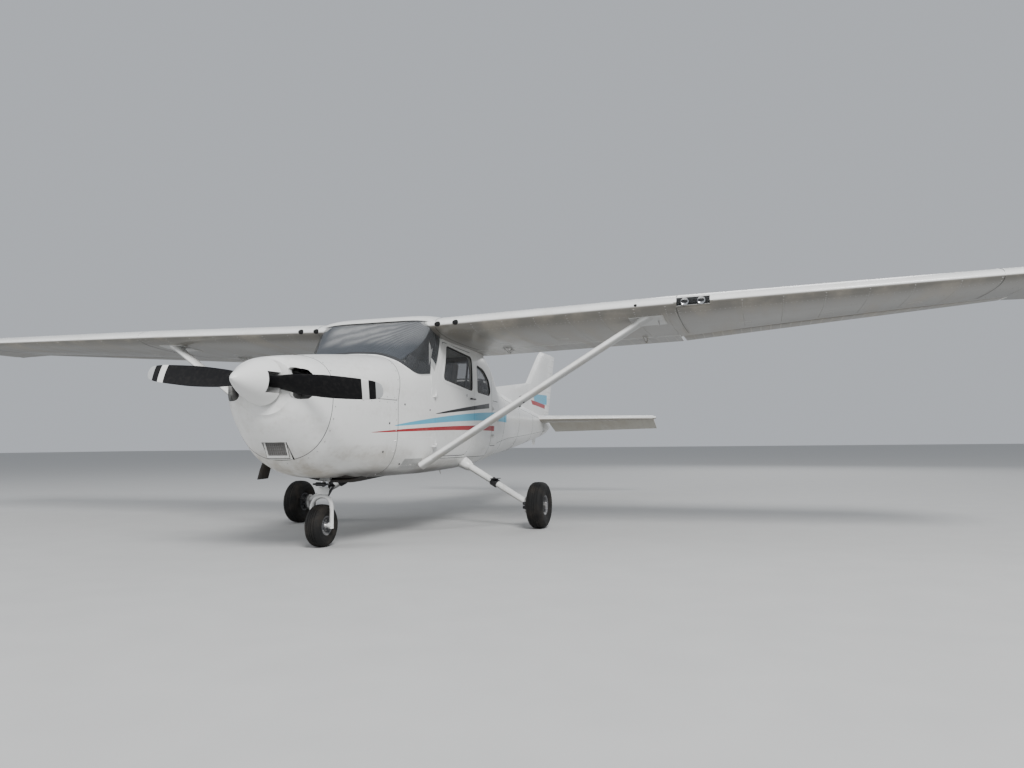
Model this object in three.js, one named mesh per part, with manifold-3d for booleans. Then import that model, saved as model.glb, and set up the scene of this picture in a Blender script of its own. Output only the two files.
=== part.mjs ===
// A four-seat, high-wing light aeroplane with a strut-braced wing and a fixed nose-wheel undercarriage.
// Its own frame: X to the aircraft's left, Y aft and Z up from the ground, on which it stands with its nose a
// little up.
// Sizes are in inches, and stations are inches aft of the firewall, as on such an aircraft's drawings.
import * as THREE from "three";
import { ConvexGeometry } from "three/addons/geometries/ConvexGeometry.js";
import { mergeVertices } from "three/addons/utils/BufferGeometryUtils.js";
import Module from "manifold-3d";

const wasm = await Module();
wasm.setup();

const INCH = 25.4; // millimetres
const MIDDLE = 111.0; // station of the frame's origin, half-way along the aircraft
const SEAT = 0.012; // gap between pieces that touch
const CLEAR = 0.22; // gap round a piece that moves
const PIVOT = 0.035; // gap at a pin, a bore or the knuckles of a hinge

// Fuselage
const WALL = 1.2; // cabin and door walls, lining included
const TAIL_WALL = 0.4;
const COWL_WALL = 0.4;
const CAP_END = -27.5;
const CABIN_START = 26.4;
const CABIN_END = 94.5;
const TAIL_START = 124;
const COWL_SPLIT = 44.6;
const FLOOR_TOP = 25.4;

// Wing
const ROOT = { x: 21.2, le: 26.5, z: 71.8, chord: 64, incidence: 3.5 };
const BREAK = { x: 100.9, le: 26.5, chord: 64, incidence: 3.5 };
const TIP_RIB = { x: 204.6, le: 31.2, chord: 44, incidence: 0.6 };
const DIHEDRAL = 1.6;
const THICKNESS = 0.12;
const CAMBER = 0.02;
const FLAP_FRONT = 0.715;
const AILERON_HINGE = 0.79;

// Undercarriage
const MAIN = { x: 50.3, station: 58.1, radius: 8.35, half: 3.05, rim: 3.5 };
const NOSE = { station: -6.8, radius: 6.4, half: 2.5, rim: 2.9 };

// Propeller
const PROP = { station: -38.4, z: 48.1, radius: 37.4, hub: 3.2, spinner: 6.6, tip: -50.2, turn: -5.8 };

const radians = THREE.MathUtils.degToRad;

// A solid from vertices and triangles, turned so that its faces point out.
function solidOf(points, triangles) {
  let volume = 0;
  for (const [a, b, c] of triangles) {
    const [p, q, r] = [points[a], points[b], points[c]].map((v) => new THREE.Vector3(...v));
    volume += p.dot(q.cross(r));
  }
  const faces = volume < 0 ? triangles.map(([a, b, c]) => [a, c, b]) : triangles;
  const vertProperties = new Float32Array(points.flat());
  const triVerts = new Uint32Array(faces.flat());
  return new wasm.Manifold(new wasm.Mesh({ numProp: 3, vertProperties, triVerts }));
}

// A three.js geometry as a solid.
function solid(geometry) {
  const bare = geometry.clone();
  bare.deleteAttribute("normal");
  bare.deleteAttribute("uv");
  const merged = mergeVertices(bare, 1e-4);
  const at = merged.attributes.position;
  const points = Array.from({ length: at.count }, (_, i) => [at.getX(i), at.getY(i), at.getZ(i)]);
  const triangles = [];
  for (let i = 0; i < merged.index.count; i += 3) {
    const [a, b, c] = [merged.index.getX(i), merged.index.getX(i + 1), merged.index.getX(i + 2)];
    if (a !== b && b !== c && c !== a) triangles.push([a, b, c]);
  }
  return solidOf(points, triangles);
}

const join = (first, ...rest) => rest.reduce((sum, next) => sum.add(next), first);
const cut = (from, ...tools) => tools.reduce((left, tool) => left.subtract(tool), from);

// The triangles that close a flat ring, by its two widest directions.
function capOf(ring) {
  const span = [0, 1, 2].map((k) => Math.max(...ring.map((p) => p[k])) - Math.min(...ring.map((p) => p[k])));
  const skip = span.indexOf(Math.min(...span));
  const flat = ring.map((p) => new THREE.Vector2(...p.filter((_, k) => k !== skip)));
  const area = THREE.ShapeUtils.area(flat);
  const order = area < 0 ? ring.map((_, i) => ring.length - 1 - i) : ring.map((_, i) => i);
  return THREE.ShapeUtils.triangulateShape(order.map((i) => flat[i]), []).map((t) => {
    const [a, b, c] = t.map((i) => order[i]);
    return area < 0 ? [a, c, b] : [a, b, c];
  });
}

// A closed body through rings with the same number of points.
function loft(rings) {
  const n = rings[0].length;
  const triangles = [];
  for (let i = 0; i + 1 < rings.length; i++)
    for (let k = 0; k < n; k++) {
      const [a, b] = [i * n + k, i * n + ((k + 1) % n)];
      triangles.push([a, b, b + n], [a, b + n, a + n]);
    }
  const cap = capOf(rings[0]);
  const last = (rings.length - 1) * n;
  const ends = [];
  for (const [a, b, c] of cap) ends.push([a, c, b], [last + a, last + b, last + c]);
  return solidOf(rings.flat(), [...triangles, ...ends]);
}

// An outline with its corners rounded: rows of [u, v, radius].
function rounded(corners, steps = 3) {
  const out = [];
  corners.forEach(([u, v, r = 0], i) => {
    const [pu, pv] = corners[(i + corners.length - 1) % corners.length];
    const [nu, nv] = corners[(i + 1) % corners.length];
    if (!r) {
      out.push([u, v]);
      return;
    }
    const back = Math.hypot(pu - u, pv - v);
    const on = Math.hypot(nu - u, nv - v);
    const reach = Math.min(r, 0.48 * back, 0.48 * on);
    const a = [u + ((pu - u) / back) * reach, v + ((pv - v) / back) * reach];
    const b = [u + ((nu - u) / on) * reach, v + ((nv - v) / on) * reach];
    for (let k = 0; k <= steps; k++) {
      const t = k / steps;
      const [p, q, s] = [(1 - t) * (1 - t), 2 * t * (1 - t), t * t];
      out.push([p * a[0] + q * u + s * b[0], p * a[1] + q * v + s * b[1]]);
    }
  });
  return out;
}

// Straight bodies of an outline, in side view [station, height], plan [x, station] or front view [x, height].
const sideways = (outline, from, to) => loft([from, to].map((x) => outline.map(([y, z]) => [x, y, z])));
const upright = (outline, from, to) => loft([from, to].map((z) => outline.map(([x, y]) => [x, y, z])));
const lengthways = (outline, from, to) => loft([from, to].map((y) => outline.map(([x, z]) => [x, y, z])));
const block = (x0, x1, y0, y1, z0, z1) => upright([[x0, y0], [x1, y0], [x1, y1], [x0, y1]], z0, z1);
const box = ({ half, front, back, bottom, top }) => block(-half, half, front, back, bottom, top);

// A slab that is wider than the fuselage, between two stations and two heights.
const WIDE = 30;
const AHEAD = -60; // a station ahead of everything
const OVER = 90; // a height above everything
const slab = (front, back, bottom = 0, top = OVER) => box({ half: WIDE, front, back, bottom, top });

// An outline moved in by a margin, for outlines that a single middle point sees whole.
function inset(outline, margin) {
  const shape = outline.map(([u, v]) => new THREE.Vector2(u, v));
  const sign = Math.sign(THREE.ShapeUtils.area(shape));
  return shape.map((p, i) => {
    const a = shape[(i + shape.length - 1) % shape.length];
    const b = shape[(i + 1) % shape.length];
    const before = p.clone().sub(a).normalize();
    const after = b.clone().sub(p).normalize();
    const normal = new THREE.Vector2(-(before.y + after.y), before.x + after.x).normalize();
    const lean = Math.max(0.5, Math.abs(normal.dot(new THREE.Vector2(-before.y, before.x))));
    return [p.x + (sign * normal.x * margin) / lean, p.y + (sign * normal.y * margin) / lean];
  });
}

// A round rod between two points, with its end radii.
function rod(from, to, r0, r1 = r0, sides = 12) {
  const [a, b] = [new THREE.Vector3(...from), new THREE.Vector3(...to)];
  const geometry = new THREE.CylinderGeometry(r1, r0, a.distanceTo(b), sides);
  const way = b.clone().sub(a).normalize();
  geometry.applyQuaternion(new THREE.Quaternion().setFromUnitVectors(new THREE.Vector3(0, 1, 0), way));
  geometry.translate(...a.add(b).multiplyScalar(0.5).toArray());
  return solid(geometry);
}

// A body turned about an axis along X through a point: rows of [radius, x].
function wheelBody(profile, at, sides = 20) {
  const geometry = new THREE.LatheGeometry(profile.map(([r, x]) => new THREE.Vector2(r, x)), sides);
  geometry.rotateZ(-Math.PI / 2);
  geometry.translate(...at);
  return solid(geometry);
}

const materials = {};
function paint(name, color, roughness, metalness = 0) {
  materials[name] = new THREE.MeshStandardMaterial({ name, color, roughness, metalness });
}
paint("white_paint", 0xdcdedd, 0.42);
paint("light_grey", 0xb4b5b3, 0.5);
paint("black", 0x14151a, 0.45);
paint("rubber", 0x1b1b1c, 0.85);
paint("metal", 0x9a9b9c, 0.4, 0.9);
paint("engine", 0x4b4d50, 0.6, 0.7);
paint("glass", 0x99a6ad, 0.05);
paint("seat", 0x6d6a66, 0.8);
paint("trim", 0x34322f, 0.7);

const aircraft = new THREE.Group();

// Adds a solid as a named piece, from inches to millimetres.
function piece(name, body, material) {
  const mesh = body.getMesh();
  const geometry = new THREE.BufferGeometry();
  const points = new Float32Array(mesh.numVert * 3);
  for (let i = 0; i < mesh.numVert; i++)
    for (let k = 0; k < 3; k++)
      points[3 * i + k] = (mesh.vertProperties[i * mesh.numProp + k] - (k === 1 ? MIDDLE : 0)) * INCH;
  geometry.setAttribute("position", new THREE.BufferAttribute(points, 3));
  geometry.setIndex(new THREE.BufferAttribute(new Uint32Array(mesh.triVerts), 1));
  geometry.computeVertexNormals();
  const part = new THREE.Mesh(geometry, materials[material]);
  part.name = name;
  aircraft.add(part);
}

// Both sides of the aircraft: 1 is left, which is +X, and -1 is right.
const SIDES = [["left", 1], ["right", -1]];

// Fuselage sections: station, half width, bottom, height of the widest place, top, and the
// powers of the upper and lower curves (2 is an ellipse, more is squarer).
const NOSE_SECTIONS = [
  [-36.3, 9.2, 39.0, 47.3, 54.2, 2.2, 2.1],
  [-35.2, 12.0, 36.6, 46.8, 55.0, 2.4, 2.2],
  [-33.0, 14.2, 33.2, 46.2, 55.5, 2.5, 2.2],
  [-30.5, 15.4, 30.0, 45.6, 55.9, 2.5, 2.2],
  [-27.5, 16.2, 26.6, 45.0, 56.3, 2.5, 2.3],
  [-24.0, 16.8, 23.9, 44.5, 56.7, 2.5, 2.4],
  [-18.0, 17.5, 22.0, 44.0, 57.5, 2.5, 2.6],
  [-9.0, 18.5, 20.8, 43.5, 58.5, 2.6, 2.9],
  [0.0, 19.6, 20.4, 43.0, 59.4, 2.8, 3.6],
];
const DECK_SECTIONS = [
  [0.0, 19.6, 20.4, 43.0, 59.4, 2.8, 3.6],
  [9.0, 20.5, 20.3, 44.0, 60.3, 2.9, 4.0],
  [18.0, 21.3, 20.3, 44.5, 61.2, 3.4, 4.4],
  [27.4, 21.9, 20.3, 45.0, 61.8, 4.4, 4.6],
];
const CABIN_SECTIONS = [
  [24.0, 21.7, 20.3, 45.0, 76.0, 4.4, 4.5],
  [36.0, 22.1, 20.3, 45.0, 76.0, 4.4, 4.6],
  [62.0, 22.1, 20.8, 45.0, 76.0, 4.2, 4.4],
  [80.0, 21.2, 21.3, 45.5, 74.0, 4.4, 4.0],
  [91.5, 19.9, 21.7, 46.0, 70.2, 4.8, 3.6],
  [97.0, 19.1, 22.0, 46.2, 67.6, 4.8, 3.4],
  [104.0, 18.1, 22.4, 46.2, 64.2, 4.0, 3.2],
  [112.0, 16.9, 22.9, 46.0, 60.0, 3.2, 3.0],
  [124.0, 15.2, 24.0, 45.5, 57.8, 2.7, 2.7],
];
const TAIL_SECTIONS = [
  [124.0, 15.2, 24.0, 45.5, 57.8, 2.7, 2.7],
  [142.0, 13.0, 25.3, 45.0, 56.2, 2.5, 2.4],
  [178.0, 9.2, 28.8, 43.6, 52.8, 2.4, 2.3],
  [212.0, 6.0, 32.7, 42.4, 49.6, 2.3, 2.2],
  [236.0, 3.8, 35.6, 42.2, 47.6, 2.2, 2.2],
  [250.5, 2.4, 38.6, 42.2, 45.4, 2.0, 2.0],
];
const RING_POINTS = 24;

function bodyRing([station, half, bottom, wide, top, upper, lower], margin = 0) {
  return Array.from({ length: RING_POINTS }, (_, k) => {
    const angle = (2 * Math.PI * (k + 0.5)) / RING_POINTS;
    const [c, s] = [Math.cos(angle), Math.sin(angle)];
    const power = 2 / (s > 0 ? upper : lower);
    const x = (half - margin) * Math.sign(c) * Math.abs(c) ** power;
    const rise = s > 0 ? top - margin - wide : wide - bottom - margin;
    return [x, station, wide + rise * Math.sign(s) * Math.abs(s) ** power];
  });
}
const bodyOf = (sections, margin = 0) => loft(sections.map((row) => bodyRing(row, margin)));

// A shell between the outer skin and the same sections drawn in, left open at both ends.
function shellOf(sections, wall) {
  const last = sections.length - 1;
  const open = sections.map(([y, ...rest], i) => [y + (i === last ? 0.5 : 0) - (i === 0 ? 0.5 : 0), ...rest]);
  return cut(bodyOf(sections), bodyOf(open, wall));
}

// The value of a column of the sections at a station.
function sectionAt(sections, station) {
  const i = Math.max(1, sections.findIndex((row) => row[0] >= station));
  const [a, b] = [sections[i - 1], sections[i]];
  const t = (station - a[0]) / (b[0] - a[0]);
  return a.map((v, k) => v + t * (b[k] - v));
}

// Height of the upper skin over a point of the plan.
function skinHeight(sections, x, station) {
  const [, half, , wide, top, upper] = sectionAt(sections, station);
  return wide + (top - wide) * (1 - Math.min(1, Math.abs(x) / half) ** upper) ** (1 / upper);
}

// Wing geometry
const rise = Math.tan(radians(DIHEDRAL));
function rib(x) {
  const span = Math.abs(x);
  const [a, b] = span <= BREAK.x ? [ROOT, BREAK] : [BREAK, TIP_RIB];
  const t = (span - a.x) / (b.x - a.x);
  const mix = (key) => a[key] + t * (b[key] - a[key]);
  const z = ROOT.z + (span - ROOT.x) * rise;
  return { x, le: mix("le"), chord: mix("chord"), incidence: mix("incidence"), z };
}

// The four-digit airfoil's camber line and half thickness at a fraction of its chord.
const CREST = 0.4;
const THIN_END = 0.0016;
const camberAt = (f) =>
  f < CREST
    ? (CAMBER / CREST ** 2) * (2 * CREST * f - f * f)
    : (CAMBER / (1 - CREST) ** 2) * (1 - 2 * CREST + 2 * CREST * f - f * f);
const thinAt = (f) => (f > 0.5 ? THIN_END : 0);
const halfAt = (f) =>
  5 * THICKNESS * (0.2969 * Math.sqrt(f) - 0.126 * f - 0.3516 * f ** 2 + 0.2843 * f ** 3 - 0.1036 * f ** 4);

// A point of a rib, by its fraction of the chord and its height off the chord in chords.
function ribPoint({ x, le, z, chord, incidence }, fraction, height) {
  const [c, s] = [Math.cos(radians(incidence)), Math.sin(radians(incidence))];
  return [x, le + chord * (fraction * c + height * s), z + chord * (height * c - fraction * s)];
}
const FRACTIONS = [0, 0.012, 0.04, 0.09, 0.18, 0.3, 0.45, 0.6, 0.75, 0.9, 1];

// A rib's outline between the nose and a fraction of its chord.
function ribRing(section, end = 1) {
  const steps = FRACTIONS.map((f) => f * end);
  const half = (f) => Math.max(halfAt(f), thinAt(f));
  const upper = steps.map((f) => ribPoint(section, f, camberAt(f) + half(f)));
  const lower = steps.slice(1).map((f) => ribPoint(section, f, camberAt(f) - half(f)));
  return [...upper, ...lower.reverse()];
}

// The round nose of a moving surface about its hinge: points [aft, up] from its upper side to its lower one.
const NOSE_ANGLES = [90, 126, 162, 198, 234, 270];
const onCircle = (radius, angle) => [radius * Math.cos(angle), radius * Math.sin(angle)];
const noseArc = (radius) => NOSE_ANGLES.map((degrees) => onCircle(radius, radians(degrees)));

// A wedge-shaped moving surface through its ends: hinge point, nose radius and trailing edge point.
const BLUNT = 0.08; // its half thickness at the trailing edge
function wedge(ends, blunt = BLUNT) {
  return loft(
    ends.map(({ hinge, radius, trail }) => {
      const [h, t] = [new THREE.Vector3(...hinge), new THREE.Vector3(...trail)];
      const flat = new THREE.Vector3(0, t.y - h.y, t.z - h.z);
      const along = flat.clone().normalize();
      const across = new THREE.Vector3(0, -along.z, along.y);
      const at = (a, b) => h.clone().addScaledVector(along, a).addScaledVector(across, b);
      const length = flat.length();
      const shape = [...noseArc(radius), [length, -blunt], [length, blunt]].map(([a, b]) => at(a, b));
      return shape.map((p) => [hinge[0], p.y, p.z]);
    }),
  );
}

// The hollow in front of a moving surface: it narrows to the pivot's gap in bands, which carry the surface.
// The two ends of the hinge line come with the surface's radius there, and bands holds shares of its length.
const COVE_SIDES = 20;
const BAND_HALF = 0.6;
function coveOf([a, b], bands) {
  const wide = rod(a.hinge, b.hinge, a.radius + CLEAR, b.radius + CLEAR, COVE_SIDES);
  const tight = rod(a.hinge, b.hinge, a.radius + PIVOT, b.radius + PIVOT, COVE_SIDES);
  const at = (t) => a.hinge.map((v, k) => v + t * (b.hinge[k] - v));
  const bandRadius = a.radius + 1;
  const share = BAND_HALF / new THREE.Vector3(...a.hinge).distanceTo(new THREE.Vector3(...b.hinge));
  const band = (t) => rod(at(t - share), at(t + share), bandRadius, bandRadius, COVE_SIDES);
  return join(cut(wide, ...bands.map(band)), tight);
}

// The fixed and the moving knuckles of a door's hinge about a vertical line on the given side.
const KNUCKLE = { height: 0.6, radius: 0.4, near: 0.45, far: 1.2, inside: 0.3, outside: 0.35, deep: 0.5 };
function knuckles([x, station], skin, heights, side) {
  const lug = (z, way) => {
    const [near, far] = [station + way * KNUCKLE.near, station + way * KNUCKLE.far];
    const [inner, outer, root] = [x - KNUCKLE.inside, x + KNUCKLE.outside, skin - KNUCKLE.deep];
    const plan = [[inner, station], [outer, station], [outer, far], [root, far], [root, near], [inner, near]];
    const top = z + KNUCKLE.height;
    const body = join(upright(plan, z, top), rod([x, station, z], [x, station, top], KNUCKLE.radius));
    return side > 0 ? body : body.mirror([1, 0, 0]);
  };
  const fixed = heights.map((z) => lug(z, -1));
  const moving = heights.map((z) => lug(z + KNUCKLE.height + PIVOT, 1));
  return [join(...fixed), join(...moving)];
}

// Cowl: a hollow body open to the firewall, with the intakes, the filter and the outlet cut through it
const cowlHollow = bodyOf(NOSE_SECTIONS.slice(1).map(([y, ...rest]) => [y + 0.6, ...rest]), COWL_WALL);
const cowlBody = cut(bodyOf(NOSE_SECTIONS), cowlHollow);
const CHIN = [
  [-40, 43.5, 0], [-15.2, 43.5, 0], [-13.4, 36.8, 3], [-9.0, 32.4, 4], [9.0, 32.4, 4],
  [13.4, 36.8, 3], [15.2, 43.5, 0], [40, 43.5, 0], [40, 10, 0], [-40, 10, 0],
];
const INTAKE = [
  [7.6, 43.4, 2], [13.2, 43.0, 2.6], [14.0, 47.0, 1.5],
  [13.0, 51.0, 2.4], [7.2, 52.0, 1.6], [8.6, 47.6, 2],
];
const INTAKE_END = -28;
const SHAFT_HOLE = 4.4;
const chin = lengthways(rounded(CHIN), AHEAD, CAP_END);
const intakes = SIDES.map(([, side]) =>
  lengthways(rounded(INTAKE).map(([x, z]) => [side * x, z]), AHEAD, INTAKE_END),
);
const shaftHole = rod([0, AHEAD, PROP.z], [0, -30, PROP.z], SHAFT_HOLE, SHAFT_HOLE, 20);
const cap = cowlBody.intersect(slab(AHEAD, CAP_END));
piece("nose_cap", cut(cap, ...intakes, shaftHole, chin), "white_paint");
const cowlUpper = cowlBody.intersect(slab(CAP_END + SEAT, -SEAT, COWL_SPLIT + SEAT));
piece("cowl_upper", cowlUpper, "white_paint");
const FILTER = { half: 4.1, front: AHEAD, back: -20, bottom: 26.9, top: 31.8 };
const OUTLET = { half: 9, front: -8.6, back: 1, bottom: 10, top: 24 };
const lowerCowl = join(
  cowlBody.intersect(slab(CAP_END + SEAT, -SEAT, 0, COWL_SPLIT)),
  cowlBody.intersect(lengthways(inset(rounded(CHIN), SEAT), AHEAD, CAP_END + 0.05)),
);
const PIPE = { top: [-10.4, -14.6, 40], bend: [-12.6, -14.9, 28], end: [-15.0, -15.6, 20.8], radius: 1.25 };
const PIPE_GAP = 0.35;
const PIPE_WALL = 0.2;
const pipeHole = rod([-10.9, -14.4, 32], [-17.1, -16.2, 14.8], PIPE.radius + PIPE_GAP);
piece("cowl_lower", cut(lowerCowl, box(FILTER), box(OUTLET), pipeHole), "white_paint");
const filterZone = box({
  ...FILTER,
  half: FILTER.half - SEAT,
  bottom: FILTER.bottom + SEAT,
  top: FILTER.top - SEAT,
});
const FILTER_DEPTHS = [0.3, 1.6]; // inside the cowl's outer skin
const [filterFace, filterBack] = FILTER_DEPTHS.map((depth) => bodyOf(NOSE_SECTIONS, depth));
piece("air_filter", cut(filterFace, filterBack).intersect(filterZone), "trim");

// Exhaust pipe, from under the engine block through the lower cowl
const ENGINE = { half: 14, front: -26.3, back: -9, bottom: 39.2, top: 50.4 };
const pipeBend = rod([-12.5, -14.9, 28.4], [-12.7, -14.9, 27.6], PIPE.radius * 1.02);
const pipe = join(rod(PIPE.top, PIPE.bend, PIPE.radius), rod(PIPE.bend, PIPE.end, PIPE.radius), pipeBend);
const pipeBore = rod([-14.2, -15.3, 22.8], [-15.5, -15.8, 18.8], PIPE.radius - PIPE_WALL);
piece("exhaust_pipe", cut(pipe, pipeBore, slab(AHEAD, 0, ENGINE.bottom - SEAT)), "black");

// Engine: one plain block on its mount, with its case, its sump and the end of its shaft
const CASE = { half: 5.2, front: -32.8, back: -5.5, bottom: 36.5, top: 51.5 };
const SUMP = { half: 7.2, front: -26, back: -8.5, bottom: 33.4, top: 40.2 };
const SHAFT = { front: -37.2, back: -31, radius: 1.3 };
const MOUNT = { x: 4.4, heights: [38, 50], middle: 44, front: -6.5, back: 0.3, spread: 2.4, radius: 0.55 };
const behindWall = slab(-SEAT, 5);
function mountTube(x, z) {
  const end = [x * MOUNT.spread, MOUNT.back, z + (z - MOUNT.middle) / 2];
  return rod([x, MOUNT.front, z], end, MOUNT.radius, MOUNT.radius, 8);
}
const engine = join(
  ...[ENGINE, CASE, SUMP].map(box),
  rod([0, SHAFT.front, PROP.z], [0, SHAFT.back, PROP.z], SHAFT.radius, SHAFT.radius, 16),
  ...[-MOUNT.x, MOUNT.x].flatMap((x) => MOUNT.heights.map((z) => mountTube(x, z))),
);
piece("engine_block", cut(engine, behindWall), "engine");
const firewall = loft([SEAT, 0.5].map((y) => bodyRing([y, ...DECK_SECTIONS[0].slice(1)], WALL + SEAT)));
piece("firewall", firewall, "metal");

// Roof between the wings, which carries the root's airfoil across the cabin
const ROOF_HALF = ROOT.x - SEAT;
const rootRing = ribRing(rib(ROOT.x));
const roof = loft([-ROOF_HALF, ROOF_HALF].map((x) => rootRing.map(([, y, z]) => [x, y, z])));
const rootLower = FRACTIONS.map((f) => {
  const [, y, z] = ribPoint(rib(ROOT.x), f, camberAt(f) - Math.max(halfAt(f), thinAt(f)));
  return [y, z - SEAT];
});
const overRoof = sideways([...rootLower, [91.2, 67.65], [91.6, 100], [15, 100], [15, 72.2]], -WIDE, WIDE);
piece("cabin_roof", roof, "white_paint");

// Windshield: the space under it is a convex body, whose skin is the glass
const deckPoint = ([x, y]) => [x, y, skinHeight(DECK_SECTIONS, x, y)];
const SHIELD_BASE = [[0, 9], [7, 10.3], [13.5, 15], [18, 20.4]].map(deckPoint);
const SHIELD_EDGE = [[21.45, 27.9, 53.6], [21.0, 35.6, 68.8], [21.0, 30, 71.2], [21.0, 26.9, 72.0]];
const SHIELD_TOP = [[18, 26.2, 72.3], [10, 25.8, 72.5], [0, 25.7, 72.6]];
const GLASS = 0.28;
const both = (points) => [...points, ...points.map(([x, y, z]) => [-x, y, z])];
const hull = (points) => solid(new ConvexGeometry(points.map((p) => new THREE.Vector3(...p))));
const shieldPoints = [...SHIELD_BASE, ...SHIELD_EDGE, ...SHIELD_TOP];
const inward = ([x, y, z], by) => [x * (1 - by / 21), y + by * 1.15, z - by * 0.35];
const paneOut = hull(both(shieldPoints.map((p) => inward(p, SEAT))));
const innerPoints = both(shieldPoints.map((p) => inward(p, SEAT + GLASS)));
const paneIn = hull(innerPoints.flatMap(([x, y, z]) => [[x, y, z], [x, y + 12, z - 9]]));
const justBehind = ([x, y, z]) => [x, y + 0.035, z - 0.025];
const shieldHole = hull(both([...shieldPoints, ...shieldPoints.map(justBehind)]));
piece("windshield", cut(paneOut, paneIn, overRoof, bodyOf(DECK_SECTIONS, 0.5)), "glass");

// Forward fuselage: hollow between the firewall and the doors, with its underfloor closed
const foreFloor = bodyOf(DECK_SECTIONS).intersect(slab(0.6, 90, 0, FLOOR_TOP));
const foreShell = join(shellOf(DECK_SECTIONS, WALL), foreFloor);
piece("forward_fuselage", cut(foreShell, shieldHole).intersect(slab(0, CABIN_START - SEAT)), "white_paint");

// Cabin: floor, walls and doors
const cabinZone = slab(CABIN_START, CABIN_END - SEAT);
const cabinBody = bodyOf(CABIN_SECTIONS);
const cabinShell = shellOf(CABIN_SECTIONS, WALL);
const floorZone = slab(0, CABIN_END, 0, FLOOR_TOP - SEAT);
piece("cabin_floor", cabinBody.intersect(cabinZone).intersect(floorZone), "white_paint");

const DOOR = [
  [29, 26.6, 2], [29, 50.6, 2], [37.6, 67.2, 1.6],
  [66.6, 66.1, 1.6], [67.2, 36.5, 6], [61.2, 26.6, 4],
];
const DOOR_WINDOW = [[36.2, 53.8, 1.6], [40.8, 65.9, 1.6], [65.0, 64.2, 1.4], [64.4, 51.4, 1.4]];
const SIDE_WINDOW = [
  [70.8, 51.3, 1.2], [70.8, 61.8, 1.4], [80, 60.6, 2.5],
  [88.6, 56.6, 3], [91.2, 52.6, 1.4], [88.4, 50.9, 1.5],
];
const paneShell = cut(
  bodyOf(CABIN_SECTIONS, 0.35),
  bodyOf(CABIN_SECTIONS.map(([y, ...rest], i) => [y - (i ? 0 : 0.5), ...rest]), 0.6),
);
const DOOR_HINGE = { at: [22.35, 28.9], skin: 21.3, heights: [29.9, 46.8] };
for (const [name, side] of SIDES) {
  const [jambLugs, doorLugs] = knuckles(DOOR_HINGE.at, DOOR_HINGE.skin, DOOR_HINGE.heights, side);
  const through = (outline) => (side > 0 ? sideways(outline, 0.02, 40) : sideways(outline, -40, -0.02));
  const half = side > 0 ? block(SEAT, 40, 0, 200, FLOOR_TOP, 90) : block(-40, -SEAT, 0, 200, FLOOR_TOP, 90);
  const holes = [overRoof, shieldHole, through(rounded(DOOR)), through(rounded(SIDE_WINDOW))];
  const wall = cut(cabinShell.intersect(cabinZone).intersect(half), ...holes);
  piece(`cabin_side_${name}`, join(wall, jambLugs), "white_paint");
  const door = cabinShell.intersect(through(inset(rounded(DOOR), CLEAR)));
  piece(`door_${name}`, join(cut(door, through(rounded(DOOR_WINDOW))), doorLugs), "white_paint");
  piece(`door_glass_${name}`, paneShell.intersect(through(inset(rounded(DOOR_WINDOW), SEAT))), "glass");
  const sidePane = paneShell.intersect(through(inset(rounded(SIDE_WINDOW), SEAT)));
  piece(`rear_side_window_${name}`, sidePane, "glass");
}

// Rear cabin with the baggage door and the rear window
const rearZone = slab(CABIN_END, TAIL_START - SEAT);
const rearUnder = cabinBody.intersect(rearZone).intersect(slab(0, 112, 0, FLOOR_TOP));
const BAGGAGE = [[96, 30, 1], [96, 49.2, 1], [107, 49.2, 0], [109.4, 47, 0], [109.4, 30, 1]];
const REAR_WINDOW = [[-14, 98, 2], [14, 98, 2], [12.6, 110.8, 2.5], [-12.6, 110.8, 2.5]];
const BAGGAGE_HINGE = { at: [19.6, 96.1], skin: 18.6, heights: [33.5, 45] };
const baggageHole = sideways(rounded(BAGGAGE), 5, 40);
const rearHole = upright(rounded(REAR_WINDOW), 50, OVER);
const rearShell = cut(join(cabinShell.intersect(rearZone), rearUnder), overRoof, baggageHole, rearHole);
const [rearLugs, baggageLugs] = knuckles(BAGGAGE_HINGE.at, BAGGAGE_HINGE.skin, BAGGAGE_HINGE.heights, 1);
piece("rear_cabin", join(rearShell, rearLugs), "white_paint");
const baggage = cabinShell.intersect(sideways(inset(rounded(BAGGAGE), CLEAR), 5, 40));
piece("baggage_door", join(baggage, baggageLugs), "white_paint");
const rearPane = paneShell.intersect(upright(inset(rounded(REAR_WINDOW), SEAT), 50, OVER));
piece("rear_window", rearPane, "glass");

// Tail surfaces: hinge lines, and the pieces that turn on them
const STAB_Z = 45.2;
const ELEVATOR_HINGE = 239.5;
const ELEVATOR = [{ x: 4.6, radius: 1.4, length: 17.8 }, { x: 68.2, radius: 0.95, length: 15 }];
const DROOP = 23; // degrees by which the elevator hangs when parked
const STAB_ROOT = { front: 215.2, half: 2.3 };
const STAB_END = { x: 67.5, front: 234.9, half: 1.3 };
const STAB_TIP = { x: 69.8, front: 237.2, half: 0.55 };
const STAB_ROWS = [
  [-STAB_TIP.x, STAB_TIP.front, STAB_TIP.half], [-STAB_END.x, STAB_END.front, STAB_END.half],
  [0, STAB_ROOT.front, STAB_ROOT.half],
  [STAB_END.x, STAB_END.front, STAB_END.half], [STAB_TIP.x, STAB_TIP.front, STAB_TIP.half],
];
const NOSE_CURVE = [[0, 0], [0.03, 0.42], [0.12, 0.78], [0.32, 1]];
const FIXED_SHARE = 0.72; // of a tail surface's whole chord

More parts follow.
